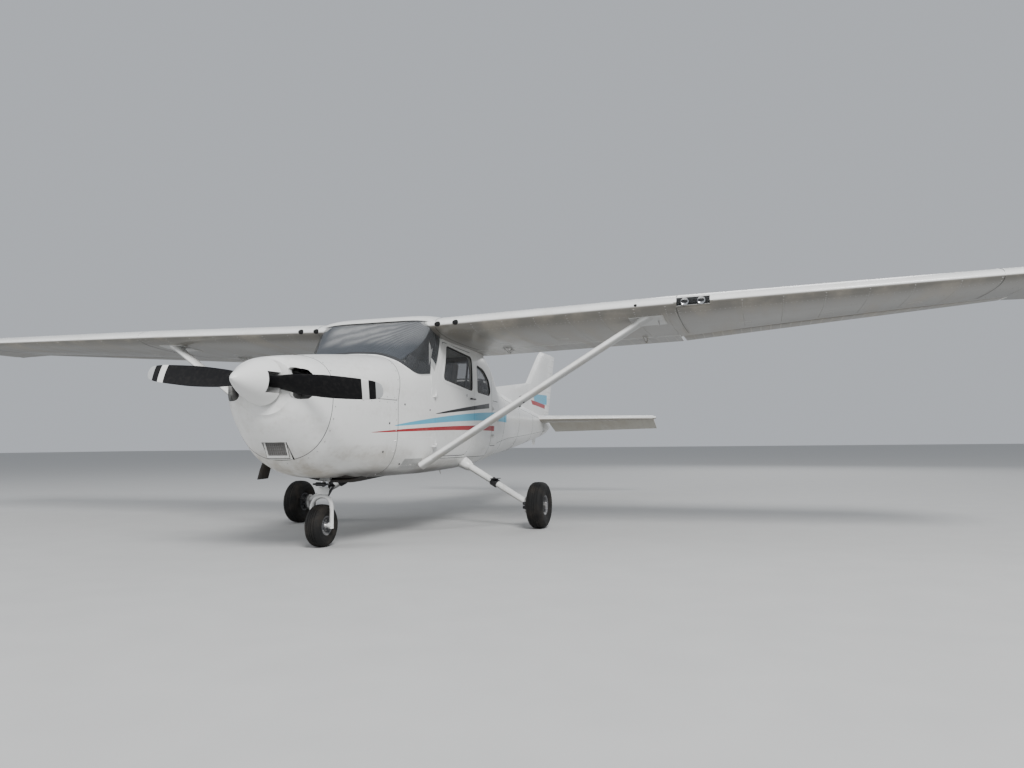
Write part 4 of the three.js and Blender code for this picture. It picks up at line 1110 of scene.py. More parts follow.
class FuselageForm(Form):
    """The fuselage's skin, from sections of half width, bottom, widest height, top and the two powers."""

    def __init__(self, sections: Sequence[Sequence[float]], margin: float = 0.0) -> None:
        """Takes the sections, and how far inside them the surface lies."""
        self.curve = Curve(sections)
        self.margin = margin

    def _parts(self, points: np.ndarray) -> tuple[np.ndarray, ...]:
        """Where points lie in their own sections.

        Args:
            points: The points.

        Returns:
            The share of its radius that each has, the section's power and the height of its widest place.
        """
        half, bottom, wide, top, upper, lower = self.curve(points[:, 1])
        up = points[:, 2] - wide
        rise = np.where(up > 0, top - wide, wide - bottom) - self.margin
        power = np.where(up > 0, upper, lower)
        reach = (np.abs(points[:, 0]) / (half - self.margin)) ** power + (np.abs(up) / rise) ** power
        return np.maximum(reach, 1e-9) ** (1 / power), power, wide

    def level(self, points: np.ndarray) -> np.ndarray:
        """How far outside the skin each point is, as a share of its radius."""
        return self._parts(points)[0] - 1

    def project(self, points: np.ndarray) -> np.ndarray:
        """Moves points out or in at their own station.

        Args:
            points: The points.

        Returns:
            The points on the skin.
        """
        share, _, wide = self._parts(points)
        out = points.copy()
        out[:, 0] = points[:, 0] / share
        out[:, 2] = wide + (points[:, 2] - wide) / share
        return out

    def side(self, station: float, z: float) -> float:
        """Half width of the skin.

        Args:
            station: The station.
            z: The height.

        Returns:
            The half width in inches.
        """
        half, bottom, wide, top, upper, lower = self.curve(station)[:, 0]
        rise, power = (top - wide, upper) if z > wide else (wide - bottom, lower)
        share = min(1.0, abs(z - wide) / (rise - self.margin))
        return (half - self.margin) * (1 - share**power) ** (1 / power)

    def skin(self, x: float, station: float, below: bool = False) -> float:
        """Height of the skin at a place of the plan.

        Args:
            x: Distance from the middle.
            station: The station.
            below: Whether the lower skin is meant.

        Returns:
            The height in inches.
        """
        half, bottom, wide, top, upper, lower = self.curve(station)[:, 0]
        share = min(1.0, abs(x) / (half - self.margin))
        if below:
            return wide - (wide - bottom - self.margin) * (1 - share**lower) ** (1 / lower)
        return wide + (top - wide - self.margin) * (1 - share**upper) ** (1 / upper)

    def ring(self, station: float, turn: float) -> np.ndarray:
        """A point of the skin by its angle.

        Args:
            station: The station.
            turn: The angle in radians, from the left side upwards.

        Returns:
            The point.
        """
        half, bottom, wide, top, upper, lower = self.curve(station)[:, 0]
        c, s = math.cos(turn), math.sin(turn)
        power = 2 / (upper if s > 0 else lower)
        rise = (top - wide if s > 0 else wide - bottom) - self.margin
        x = (half - self.margin) * math.copysign(abs(c) ** power, c)
        return np.array([x, station, wide + rise * math.copysign(abs(s) ** power, s)])


class WingForm(Form):
    """The wing's skin: a four-digit airfoil between the root, the break and the tip."""

    root = 21.2
    kink = 100.9
    tip = 204.6
    leading = (26.5, 26.5, 31.2)
    chords = (64.0, 64.0, 44.0)
    incidences = (3.5, 3.5, 0.6)
    height = 71.8
    rise = math.tan(math.radians(1.6))
    thickness = 0.12
    camber = 0.02
    crest = 0.4
    thin_end = 0.0016
    tip_rows = (
        (204.6, 31.2, 44.0, 1.0, 0.0),
        (208.5, 32.2, 42.6, 0.94, -0.25),
        (213.0, 34.6, 38.4, 0.72, -0.9),
        (216.4, 40.0, 30.0, 0.25, -1.7),
    )

    def __init__(self) -> None:
        """Makes the curve of the rounded tip."""
        self._rounding = Curve(self.tip_rows)

    def section(self, x: np.ndarray) -> tuple[np.ndarray, ...]:
        """Sections of the wing.

        Args:
            x: Distances from the aircraft's middle.

        Returns:
            Leading edge, chord, incidence in radians, height and thickness factor at each.
        """
        span = np.maximum(np.abs(np.atleast_1d(x)), self.root)
        marks = (self.root, self.kink, self.tip)
        le = np.interp(span, marks, self.leading)
        chord = np.interp(span, marks, self.chords)
        incidence = np.radians(np.interp(span, marks, self.incidences))
        end = self._rounding(span)
        beyond = span > self.tip
        le = np.where(beyond, end[0], le)
        chord = np.where(beyond, end[1], chord)
        thick = np.where(beyond, end[2], 1.0)
        z = self.height + (span - self.root) * self.rise + np.where(beyond, end[3], 0.0)
        return le, chord, incidence, z, thick

    def mean(self, f: np.ndarray) -> np.ndarray:
        """Height of the camber line.

        Args:
            f: Fractions of the chord.

        Returns:
            The heights, in chords.
        """
        m, c = self.camber, self.crest
        ahead = m / c**2 * (2 * c * f - f * f)
        return np.where(f < c, ahead, m / (1 - c) ** 2 * (1 - 2 * c + 2 * c * f - f * f))

    def half(self, f: np.ndarray) -> np.ndarray:
        """Half thickness.

        Args:
            f: Fractions of the chord.

        Returns:
            The half thicknesses, in chords.
        """
        f = np.clip(f, 0, 1)
        shape = 0.2969 * np.sqrt(f) - 0.126 * f - 0.3516 * f**2 + 0.2843 * f**3 - 0.1036 * f**4
        return np.maximum(5 * self.thickness * shape, np.where(f > 0.5, self.thin_end, 0.0))

    def _chordwise(self, points: np.ndarray) -> tuple[np.ndarray, ...]:
        """Where points lie in their own sections.

        Args:
            points: The points.

        Returns:
            Fraction and height in chords of each point, with its section.
        """
        le, chord, incidence, z, thick = self.section(points[:, 0])
        back, up = points[:, 1] - le, points[:, 2] - z
        c, s = np.cos(incidence), np.sin(incidence)
        return (back * c - up * s) / chord, (back * s + up * c) / chord, (le, chord, incidence, z, thick)

    def level(self, points: np.ndarray) -> np.ndarray:
        """How far outside the skin points are.

        Args:
            points: The points.

        Returns:
            Inches, measured across the chord.
        """
        f, h, (_, chord, _, _, thick) = self._chordwise(points)
        ahead = np.minimum(f, 0.0)
        return chord * (np.abs(h - thick * self.mean(f)) - thick * self.half(f) - 8 * ahead)

    def project(self, points: np.ndarray) -> np.ndarray:
        """Moves points across the chord onto the nearer of the two skins.

        Args:
            points: The points.

        Returns:
            The points on the skin.
        """
        f, h, (le, chord, incidence, z, thick) = self._chordwise(points)
        f = np.maximum(f, 0.0)
        middle = thick * self.mean(f)
        h = middle + np.where(h >= middle, 1.0, -1.0) * thick * self.half(f)
        c, s = np.cos(incidence), np.sin(incidence)
        return np.column_stack([points[:, 0], le + chord * (f * c + h * s), z + chord * (h * c - f * s)])

    def place(self, x: float, f: float, upper: bool, lift: float = 0.0) -> np.ndarray:
        """A point of the skin.

        Args:
            x: Distance from the aircraft's middle.
            f: Fraction of the chord.
            upper: Whether the upper skin is meant.
            lift: Inches by which it is lifted off.

        Returns:
            The point.
        """
        le, chord, incidence, z, thick = (float(v[0]) for v in self.section(x))
        way = 1.0 if upper else -1.0
        camber, half = float(self.mean(np.array(f))), float(self.half(np.array(f)))
        h = thick * (camber + way * half) + way * lift / chord
        c, s = math.cos(incidence), math.sin(incidence)
        return np.array([x, le + chord * (f * c + h * s), z + chord * (h * c - f * s)])


class TailForm(Form):
    """A fixed tail surface, from rows of span, front, back, half thickness and half thickness at its end."""

    share = 0.72
    fullest = 0.32

    def __init__(self, rows: Sequence[Sequence[float]], upright: bool, plane: float = 0.0) -> None:
        """Takes the surface's rows.

        Args:
            rows: Rows of span, front, back, half thickness and half thickness at the rear end.
            upright: Whether the surface stands upright.
            plane: The height of a level one.
        """
        self.table = np.array(rows, float)
        self.upright = upright
        self.plane = plane

    def _thickness(self, points: np.ndarray) -> tuple[np.ndarray, np.ndarray]:
        """Measures points across the middle plane.

        Args:
            points: The points.

        Returns:
            Signed distance from the middle plane, and the skin's half thickness there.
        """
        span = points[:, 2] if self.upright else np.abs(points[:, 0])
        off = points[:, 0] if self.upright else points[:, 2] - self.plane
        front, back, half, end = (np.interp(span, self.table[:, 0], self.table[:, k]) for k in range(1, 5))
        f = (points[:, 1] - front) / (back - front) * self.share
        nose = np.sqrt(np.maximum(0.0, 1 - np.clip(1 - f / self.fullest, 0, 1) ** 2.2)) * half
        rear = half + (end - half) * np.clip((f - self.fullest) / (self.share - self.fullest), 0, 1)
        return off, np.where(f < self.fullest, np.where(f > 0, nose, f * 40), rear)

    def level(self, points: np.ndarray) -> np.ndarray:
        """Inches outside the skin, across the middle plane."""
        off, half = self._thickness(points)
        return np.abs(off) - half

    def project(self, points: np.ndarray) -> np.ndarray:
        """Moves points across the middle plane.

        Args:
            points: The points.

        Returns:
            The points on the skin.
        """
        off, half = self._thickness(points)
        moved = np.where(off >= 0, 1.0, -1.0) * np.maximum(half, 0.0)
        out = points.copy()
        if self.upright:
            out[:, 0] = moved
        else:
            out[:, 2] = self.plane + moved
        return out


class RevolvedForm(Form):
    """A body turned about an axis along the aircraft, from rows of radius and distance behind its tip."""

    def __init__(self, rows: Sequence[Sequence[float]], tip: float, height: float) -> None:
        """Works out the body's radius at each distance behind its tip.

        Args:
            rows: Rows of radius and distance behind the tip.
            tip: The station of the tip.
            height: The height of the axis.
        """
        self.radii = np.linspace(rows[0][0], rows[-1][0], 400)
        curve = Curve(rows)
        curve.slopes[0] = 0.0
        self.backs = np.maximum.accumulate(curve(self.radii)[0])
        self.tip = tip
        self.height = height

    def _radius(self, points: np.ndarray) -> tuple[np.ndarray, np.ndarray]:
        """Each point's distance from the axis, and the body's radius at its station."""
        own = np.hypot(points[:, 0], points[:, 2] - self.height)
        return own, np.interp(points[:, 1] - self.tip, self.backs, self.radii)

    def level(self, points: np.ndarray) -> np.ndarray:
        """Inches outside the body, across the axis."""
        own, radius = self._radius(points)
        return own - radius

    def project(self, points: np.ndarray) -> np.ndarray:
        """Moves points towards or away from the axis.

        Args:
            points: The points.

        Returns:
            The points on the body.
        """
        own, radius = self._radius(points)
        share = radius / np.maximum(own, 1e-6)
        out = points.copy()
        out[:, 0] *= share
        out[:, 2] = self.height + (points[:, 2] - self.height) * share
        return out


DOOR = [
    (29, 26.6, 2), (29, 50.6, 2), (37.6, 67.2, 1.6), (66.6, 66.1, 1.6), (67.2, 36.5, 6), (61.2, 26.6, 4)
]
DOOR_WINDOW = [(36.2, 53.8, 1.6), (40.8, 65.9, 1.6), (65.0, 64.2, 1.4), (64.4, 51.4, 1.4)]
SIDE_WINDOW = [
    (70.8, 51.3, 1.2),
    (70.8, 61.8, 1.4),
    (80, 60.6, 2.5),
    (88.6, 56.6, 3),
    (91.2, 52.6, 1.4),
    (88.4, 50.9, 1.5),
]
BAGGAGE = [(96, 30, 1), (96, 49.2, 1), (107, 49.2, 0), (109.4, 47, 0), (109.4, 30, 1)]
REAR_WINDOW = [(-14, 98, 2), (14, 98, 2), (12.6, 110.8, 2.5), (-12.6, 110.8, 2.5)]

FORE = FuselageForm(NOSE_AND_DECK)
AFT = FuselageForm(CABIN_AND_TAIL)
WING = WingForm()


class Fitter:
    """Makes pieces, gives them a finish and puts them on their bodies."""

    def __init__(self, palette: Palette) -> None:
        """Takes the palette of finishes."""
        self.palette = palette

    def object(
        self, name: str, points: np.ndarray, faces: Sequence[Sequence[int]], finishes: Sequence[str]
    ) -> bpy.types.Object:
        """Makes a mesh object at the origin.

        Args:
            name: Its name.
            points: Its points in inches and stations.
            faces: Its faces.
            finishes: Its finishes, in order of their numbers.

        Returns:
            The object, not yet on a body.
        """
        mesh = bpy.data.meshes.new(name)
        places = (np.asarray(points, float) - np.array([0.0, MIDDLE, 0.0])) * INCH
        mesh.from_pydata(places.tolist(), [], [tuple(face) for face in faces])
        for finish in finishes:
            mesh.materials.append(self.palette[finish])
        made = bpy.data.objects.new(name, mesh)
        bpy.context.scene.collection.objects.link(made)
        return made

    def fix(
        self, made: bpy.types.Object, body: Body, slot: str, replaces: Sequence[str] = ()
    ) -> bpy.types.Object:
        """Puts a finished piece on its body and hides the solids that it stands for.

        Args:
            made: The piece.
            body: The body that it rides on.
            slot: Not used.
            replaces: The solids that it stands for.

        Returns:
            The piece.
        """
        if replaces:
            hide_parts(*replaces)
        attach(made, body.value)
        log.info("%s on %s", made.name, body.value)
        return made

    def add(
        self,
        name: str,
        shape: Shape,
        finish: str,
        body: Body,
        slot: str,
        smooth: float = 38.0,
        replaces: Sequence[str] = (),
        bevel: float = 0.0,
    ) -> bpy.types.Object:
        """Makes a piece from a shape.

        Args:
            name: The piece's name.
            shape: Its points and faces.
            finish: The palette's finish.
            body: The body that it rides on.
            slot: Passed on to fix.
            smooth: The angle in degrees up to which faces are shaded as one.
            replaces: The solids that it stands for.
            bevel: Width in inches of the rounding of its sharp edges.

        Returns:
            The piece.
        """
        made = self.object(name, shape.points, shape.faces, [finish])
        mesh = made.data
        outward(mesh)
        mesh.shade_smooth()
        mesh.set_sharp_from_angle(angle=math.radians(smooth))
        if bevel:
            rounding = made.modifiers.new("rounding", "BEVEL")
            rounding.width = bevel * INCH
            rounding.segments = 2
            rounding.limit_method = "ANGLE"
            rounding.angle_limit = math.radians(40)
            rounding.harden_normals = True
        return self.fix(made, body, slot, replaces)


def outward(mesh: bpy.types.Mesh) -> None:
    """Merges a mesh's doubles and turns its faces outwards.

    Args:
        mesh: The mesh.
    """
    work = bmesh.new()
    work.from_mesh(mesh)
    bmesh.ops.remove_doubles(work, verts=work.verts, dist=1e-6)
    bmesh.ops.recalc_face_normals(work, faces=work.faces)
    work.to_mesh(mesh)
    work.free()


def lifted(form: Form, points: np.ndarray, lift: float) -> np.ndarray:
    """Lifts points off a form.

    Args:
        form: The form.
        points: Points near it.
        lift: Inches out of the form.

    Returns:
        The points on the form, lifted.
    """
    placed = form.project(np.asarray(points, float))
    return placed + form.normals(placed) * lift


def plate(form: Form, outline: np.ndarray, low: float, high: float, rings: int = 3) -> Shape:
    """A thin plate that lies on a form.

    Args:
        form: The form.
        outline: The plate's outline, from points near the form.
        low: Inches from the form to its underside.
        high: Inches from the form to its upper side.
        rings: Rings of points from its middle to its edge.

    Returns:
        The plate.
    """
    middle = outline.mean(axis=0)
    shares = np.linspace(1.0, 0.0, rings + 1)[:-1]
    under, over = (
        [lifted(form, middle + s * (outline - middle), lift) for s in shares] for lift in (low, high)
    )
    return loft(under[::-1] + over)


def ribbon(
    form: Form, path: np.ndarray, width: float, low: float = -0.05, high: float = 0.03, closed: bool = False
) -> Shape:
    """A narrow strip along a path on a form, such as a seam or a bead of sealant.

    Args:
        form: The form.
        path: The strip's middle line, from points near the form.
        width: Its width in inches.
        low: Inches from the form to its underside.
        high: Inches from the form to its upper side.
        closed: Whether the path ends where it starts.

    Returns:
        The strip.
    """
    line = form.project(spaced(np.asarray(path, float), 0.9, closed))
    ways = np.roll(line, -1, axis=0) - np.roll(line, 1, axis=0) if closed else np.gradient(line, axis=0)
    beside = np.cross(form.normals(line), ways)
    beside *= width / 2 / np.maximum(np.linalg.norm(beside, axis=1), 1e-9)[:, None]
    edges = [
        lifted(form, line + s * beside, lift) for s, lift in ((-1, low), (-1, high), (1, high), (1, low))
    ]
    rings = [np.array(ring) for ring in zip(*edges)]
    return welded(loft(rings + rings[:1], caps=False)) if closed else loft(rings)


def surround(
    form: Form,
    placed: Placing,
    outline: np.ndarray,
    edges: tuple[float, float],
    lifts: tuple[float, float],
) -> Shape:
    """A flat ring that follows an outline on a form, such as a window's frame.

    Args:
        form: The form.
        placed: Turns rows of the flat outline into points near the form.
        outline: The flat outline.
        edges: How far outside the outline the ring's inner and outer edges lie.
        lifts: Inches from the form to the ring's underside and upper side.

    Returns:
        The ring.
    """
    inner, outer = (placed(offset(outline, by)) for by in edges)
    low, high = lifts
    loops = [
        lifted(form, inner, low),
        lifted(form, inner, high),
        lifted(form, outer, high),
        lifted(form, outer, low),
    ]
    return welded(loft(loops + loops[:1], caps=False))


@dataclass
class Follow:
    """A form that part of a node's skin follows.

    Attributes:
        form: The form.
        way: 1.0 where the skin follows it from outside, -1.0 from inside.
        material: The number of the skin's material there.
        near: The distance in inches within which the node's points count as its own.
    """

    form: Form
    way: float = 1.0
    material: int = 0
    near: float = 0.7


class Skin:
    """A finer, smoother copy of a node's mesh, whose faces follow smooth forms."""

    agree = 0.72
    shade_agree = 0.6
    shortest = 0.25

    def __init__(self, node: str, follows: Sequence[Follow]) -> None:
        """Reads the node's mesh and finds which of its faces lie on each form.

        Args:
            node: The solid's name.
            follows: The forms, of which a face takes the first that fits it.
        """
        self.node = node
        self.follows = follows
        work = bmesh.new()
        work.from_mesh(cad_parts[node].data)
        bmesh.ops.remove_doubles(work, verts=work.verts, dist=2e-5)
        bmesh.ops.triangulate(work, faces=work.faces)
        work.verts.index_update()
        points = np.array([v.co for v in work.verts]) / INCH
        self.points = points + np.array([0.0, MIDDLE, 0.0])
        self.triangles = np.array([[v.index for v in face.verts] for face in work.faces])
        work.free()
        self.kinds = np.full(len(self.triangles), -1)
        self._classify()

    def _face_normals(self) -> np.ndarray:
        """Works out which way the triangles face.

        Returns:
            A unit vector for each triangle.
        """
        a, b, c = (self.points[self.triangles[:, k]] for k in range(3))
        way = np.cross(b - a, c - a)
        return way / np.maximum(np.linalg.norm(way, axis=1), 1e-12)[:, None]

    def _classify(self) -> None:
        """Marks each triangle with the form that it lies on."""
        flat = self._face_normals()
        corners = [self.points[self.triangles[:, k]] for k in range(3)]
        middle = sum(corners) / 3
        for number, follow in enumerate(self.follows):
            near = np.linalg.norm(follow.form.project(middle) - middle, axis=1) < follow.near
            for corner in corners:
                near &= np.linalg.norm(follow.form.project(corner) - corner, axis=1) < follow.near
            way = follow.form.normals(follow.form.project(middle)) * follow.way
            along = np.sum(way * flat, axis=1) > self.agree
            self.kinds[(self.kinds < 0) & near & along] = number

    def refine(self, limit: float = 0.012, passes: int = 4) -> "Skin":
        """Splits edges that stray from their form, and moves points onto it.

        Args:
            limit: The distance in inches that an edge's middle may stray.
            passes: How many times edges are halved at most.

        Returns:
            The skin itself.
        """
        for number in reversed(range(len(self.follows))):
            used = np.unique(self.triangles[self.kinds == number])
            self.points[used] = self.follows[number].form.project(self.points[used])
        for _ in range(passes):
            if not self._split(limit):
                break
        return self

    def _split(self, limit: float) -> bool:
        """Halves each edge that strays too far, once.

        Args:
            limit: The distance in inches that an edge's middle may stray.

        Returns:
            Whether there was one.
        """
        corners = self.triangles
        sides = np.stack([corners, np.roll(corners, -1, axis=1)], axis=2).reshape(-1, 2)
        edges, back = np.unique(np.sort(sides, axis=1), axis=0, return_inverse=True)
        back = back.reshape(-1, 3)
        kinds = np.full(len(edges), -1)
        for number in reversed(range(len(self.follows))):
            kinds[np.unique(back[self.kinds == number])] = number
        middles = self.points[edges].mean(axis=1)
        target = middles.copy()
        for number, follow in enumerate(self.follows):
            chosen = kinds == number
            if chosen.any():
                target[chosen] = follow.form.project(middles[chosen])
        stray = np.linalg.norm(target - middles, axis=1)
        length = np.linalg.norm(self.points[edges[:, 0]] - self.points[edges[:, 1]], axis=1)
        chosen = (stray > limit) & (kinds >= 0) & (length > self.shortest)
        if not chosen.any():
            return False
        new = np.full(len(edges), -1)
        new[chosen] = len(self.points) + np.arange(chosen.sum())
        self.points = np.vstack([self.points, target[chosen]])
        self._divide(new[back])
        return True

    def _divide(self, middles: np.ndarray) -> None:
        """Divides the triangles by the new points on their sides.

        Args:
            middles: The new point on each of the three sides, -1 where there is none.
        """
        count = (middles >= 0).sum(axis=1)
        parts = [self.triangles[count == 0]]
        kinds = [self.kinds[count == 0]]
        for cuts in (1, 2, 3):
            chosen = count == cuts
            if not chosen.any():
                continue
            corner, middle = self.triangles[chosen], middles[chosen]
            if cuts == 1:
                turn = np.argmax(middle >= 0, axis=1)
            elif cuts == 2:
                turn = (np.argmax(middle < 0, axis=1) + 1) % 3
            else:
                turn = np.zeros(len(middle), int)
            order = (np.arange(3)[None, :] + turn[:, None]) % 3
            a, b, c = np.take_along_axis(corner, order, axis=1).T
            ab, bc, ca = np.take_along_axis(middle, order, axis=1).T
            made = {
                1: ((a, ab, c), (ab, b, c)),
                2: ((a, ab, c), (ab, b, bc), (ab, bc, c)),
                3: ((a, ab, ca), (ab, b, bc), (ca, bc, c), (ab, bc, ca)),
            }[cuts]
            for triangle in made:
                parts.append(np.column_stack(triangle))
                kinds.append(self.kinds[chosen])
        self.triangles = np.vstack(parts)
        self.kinds = np.concatenate(kinds)

    def build(
        self, fitter: Fitter, finishes: Sequence[str], rest: int = 0, angle: float = 38.0
    ) -> bpy.types.Object:
        """Makes the object, with normals from the forms.

        Args:
            fitter: Makes the object.
            finishes: The finishes, by the numbers that the follows give.
            rest: The number of the finish for faces on no form.
            angle: The angle in degrees up to which the other faces are shaded as one.

        Returns:
            The object, not yet on a body.
        """
        made = fitter.object(f"{self.node}_skin", self.points, self.triangles.tolist(), finishes)
        mesh = made.data
        mesh.shade_smooth()
        mesh.set_sharp_from_angle(angle=math.radians(angle))
        numbers = np.full(len(self.kinds), rest)
        for number, follow in enumerate(self.follows):
            numbers[self.kinds == number] = follow.material
        mesh.polygons.foreach_set("material_index", numbers.astype(np.int32))
        normals = np.zeros(len(mesh.loops) * 3, np.float32)
        mesh.corner_normals.foreach_get("vector", normals)
        normals = normals.reshape(-1, 3, 3)
        flat = self._face_normals()
        for number, follow in enumerate(self.follows):
            chosen = np.nonzero(self.kinds == number)[0]
            if not len(chosen):
                continue
            corners = self.points[self.triangles[chosen]].reshape(-1, 3)
            way = (follow.form.normals(corners) * follow.way).reshape(-1, 3, 3)
            fits = np.einsum("ijk,ik->ij", way, flat[chosen]) > self.shade_agree
            normals[chosen] = np.where(fits[:, :, None], way, normals[chosen])
        mesh.normals_split_custom_set(normals.reshape(-1, 3).tolist())
        return made


@dataclass
class Fuselage:
    """The cowl, cabin, tail cone, doors and glazing."""

    fitter: Fitter
    wall: float = 1.2
    glass_outside: float = 0.35
    glass_inside: float = 0.6

    def build(self) -> None:
        """Skins every panel of the fuselage."""
        lining = "cabin_lining"
        inner_fore = FuselageForm(NOSE_AND_DECK, self.wall)
        inner_aft = FuselageForm(CABIN_AND_TAIL, self.wall)
        for node in ("nose_cap", "cowl_upper", "cowl_lower"):
            self._skin(node, [Follow(FORE, near=0.5)], ["cowl_paint", "black_enamel"], rest=0)
        fore = [Follow(FORE), Follow(inner_fore, -1.0, 1)]
        self._skin("forward_fuselage", fore, ["fuselage_paint", lining], rest=1)
        aft = [Follow(AFT), Follow(inner_aft, -1.0, 1)]
        bodies = {
            "cabin_floor": Body.AIRFRAME,
            "cabin_side_left": Body.AIRFRAME,
            "cabin_side_right": Body.AIRFRAME,
            "rear_cabin": Body.AIRFRAME,
            "tail_cone": Body.AIRFRAME,
            "door_left": Body.DOOR_LEFT,
            "door_right": Body.DOOR_RIGHT,
            "baggage_door": Body.BAGGAGE_DOOR,
        }
        for node, body in bodies.items():
            follows = [Follow(AFT, near=0.08)] if node == "tail_cone" else aft
            self._skin(node, follows, ["fuselage_paint", lining], body=body)
        self._skin("cabin_roof", [Follow(WING)], ["wing_paint", lining])
        self._glass()

    def _skin(
        self,
        node: str,
        follows: Sequence[Follow],
        finishes: Sequence[str],
        rest: int = 0,
        body: Body = Body.AIRFRAME,
        slot: str = "white_paint",
    ) -> None:
        """Skins one node and puts it on its body."""
        made = Skin(node, follows).refine().build(self.fitter, finishes, rest)
        self.fitter.fix(made, body, slot, [node])

    def _glass(self) -> None:
        """Skins the side and rear windows."""
        outside = FuselageForm(CABIN_AND_TAIL, self.glass_outside)
        inside = FuselageForm(CABIN_AND_TAIL, self.glass_inside)
        follows = [Follow(outside, near=0.14), Follow(inside, -1.0, near=0.14)]
        bodies = {
            "door_glass_left": Body.DOOR_LEFT,
            "door_glass_right": Body.DOOR_RIGHT,
            "rear_side_window_left": Body.AIRFRAME,
            "rear_side_window_right": Body.AIRFRAME,
            "rear_window": Body.AIRFRAME,
        }
        for node, body in bodies.items():
            self._skin(node, follows, ["window_acrylic"], body=body, slot="glass")


@dataclass
class Windshield:
    """The moulded windshield, ruled between a curve on the deck and one under the wing's nose."""

    fitter: Fitter
    base: tuple[tuple[float, float], ...] = ((0.0, 9.0), (8.5, 9.6), (16.0, 11.8), (20.2, 17.0))
    foot: Point = (21.5, 28.2, 52.8)
    top: tuple[Point, ...] = ((0.0, 27.0, 73.5), (10.0, 27.0, 73.5), (17.6, 27.3, 73.5), (20.9, 28.4, 73.2))
    head: Point = (21.1, 35.6, 68.8)
    columns: int = 33
    rows: int = 15
    thickness: float = 0.2
    bulge: float = 0.85
    base_strip: tuple[float, float] = (-0.02, 0.014)
    base_lifts: tuple[float, float] = (-0.10, 0.05)
    shade_sheet_lifts: tuple[float, float] = (0.21, 0.3)
    post: tuple[float, float] = (0.993, 1.01)
    post_lifts: tuple[float, float] = (-0.12, 0.1)

    def __post_init__(self) -> None:
        """Makes the two curves by their share from the middle to the post."""
        lower = [(x, y, FORE.skin(x, y)) for x, y in self.base] + [self.foot]
        upper = list(self.top) + [self.head]
        marks = (0.0, 0.25, 0.5, 0.75, 1.0)
        self._low = Curve([(t, *p) for t, p in zip(marks, lower)])
        self._high = Curve([(t, *p) for t, p in zip(marks, upper)])
        for curve in (self._low, self._high):
            curve.slopes[0, 1:] = 0.0

    def point(self, across_share: float, up_share: float, inward: float = 0.0) -> np.ndarray:
        """A point of the glass.

        Args:
            across_share: From -1 at the right post to 1 at the left one.
            up_share: From 0 at the deck to 1 under the wing.
            inward: Inches behind the glass.

        Returns:
            The point in inches and stations.
        """
        t = abs(across_share)
        low = self._low(t)[:, 0]
        high = self._high(t)[:, 0]
        point = low + up_share * (high - low)
        crown = 4 * up_share * (1 - up_share) * self.bulge
        along = high - low
        out = np.array([0.35 + 0.65 * t**3, -0.9 + 0.55 * t**3, 0.0])
        out = out - along * np.dot(out, along) / np.dot(along, along)
        out /= np.linalg.norm(out)
        point = point + out * (crown - inward)
        return point * np.array([math.copysign(1.0, across_share), 1.0, 1.0])

    def grid(
        self, inward: float, start: float, end: float, low: float, high: float, columns: int, rows: int
    ) -> Shape:
        """A sheet of the glass's shape.

        Args:
            inward: Inches behind the glass.
            start: Where it starts, as a share of the width.
            end: Where it ends.
            low: Its lower edge, as a share of the height.
            high: Its upper edge.
            columns: Points in each row.
            rows: Rows of points.

        Returns:
            The sheet.
        """
        shares = [start + (end - start) * i / (columns - 1) for i in range(columns)]
        rings = []
        for j in range(rows):
            up = low + (high - low) * j / (rows - 1)
            rings.append(np.array([self.point(share, up, inward) for share in shares]))
        return loft(rings, around=False, caps=False)

    def build(self) -> None:
        """Makes the glass, the strips round it, and black sheets behind it that are painted shade of the
        cabin.
        """
        wide = 2 * self.columns - 1
        sheets = [self.grid(lift, -1.0, 1.0, 0.0, 1.0, wide, self.rows) for lift in (0.0, self.thickness)]
        glass = closed_sheet(*sheets, wide, self.rows)
        self.fitter.add(
            "windshield_glass", glass, "window_acrylic", Body.AIRFRAME, "glass", 60, ["windshield"]
        )
        strips = [self.grid(lift, -1.0, 1.0, *self.base_strip, wide, 3) for lift in self.base_lifts]
        strip = closed_sheet(*strips, wide, 3)
        self.fitter.add("windshield_base_strip", strip, "fuselage_paint", Body.AIRFRAME, "white_paint")
        # Black sheets just behind the glass, along its foot and up its posts: painted shade of the cabin seen
        # through the glass.
        shade_sheets = [(-0.59, 0.59, 0.0, 0.08, wide, 3)]
        shade_sheets += [(side * 0.58, side * 0.99, 0.0, 0.24, 19, 5) for _, side in SIDES]
        shade_sheets += [(side * 0.90, side * 0.99, 0.23, 0.97, 4, 13) for _, side in SIDES]
        for number, (start, end, low, high, columns, rows) in enumerate(shade_sheets):
            faces = [self.grid(lift, start, end, low, high, columns, rows) for lift in self.shade_sheet_lifts]
            lining = closed_sheet(*faces, columns, rows)
            self.fitter.add(
                f"windshield_lining_{number}", lining, "black_plastic", Body.AIRFRAME, "trim", 30
            )
        for name, side in SIDES:
            start, end = (side * share for share in self.post)
            faces = [self.grid(lift, start, end, 0.0, 1.0, 5, self.rows) for lift in self.post_lifts]
            post = closed_sheet(*faces, 5, self.rows)
            self.fitter.add(f"windshield_post_{name}", post, "fuselage_paint", Body.AIRFRAME, "white_paint")


def closed_sheet(outer: Shape, inner: Shape, columns: int, rows: int) -> Shape:
    """A thin body between two grids of the same size.

    Args:
        outer: One face's grid.
        inner: The other's.
        columns: Points in each row of the grids.
        rows: Rows of the grids.

    Returns:
        The body, closed along its four edges.
    """
    count = len(outer.points)
    whole = outer + Shape(inner.points, [face[::-1] for face in inner.faces])
    edge = list(range(columns))
    edge += [j * columns + columns - 1 for j in range(1, rows)]
    edge += [(rows - 1) * columns + i for i in range(columns - 2, -1, -1)]
    edge += [j * columns for j in range(rows - 2, 0, -1)]
    for k, a in enumerate(edge):
        b = edge[(k + 1) % len(edge)]
        whole.faces.append((b, a, a + count, b + count))
    return whole


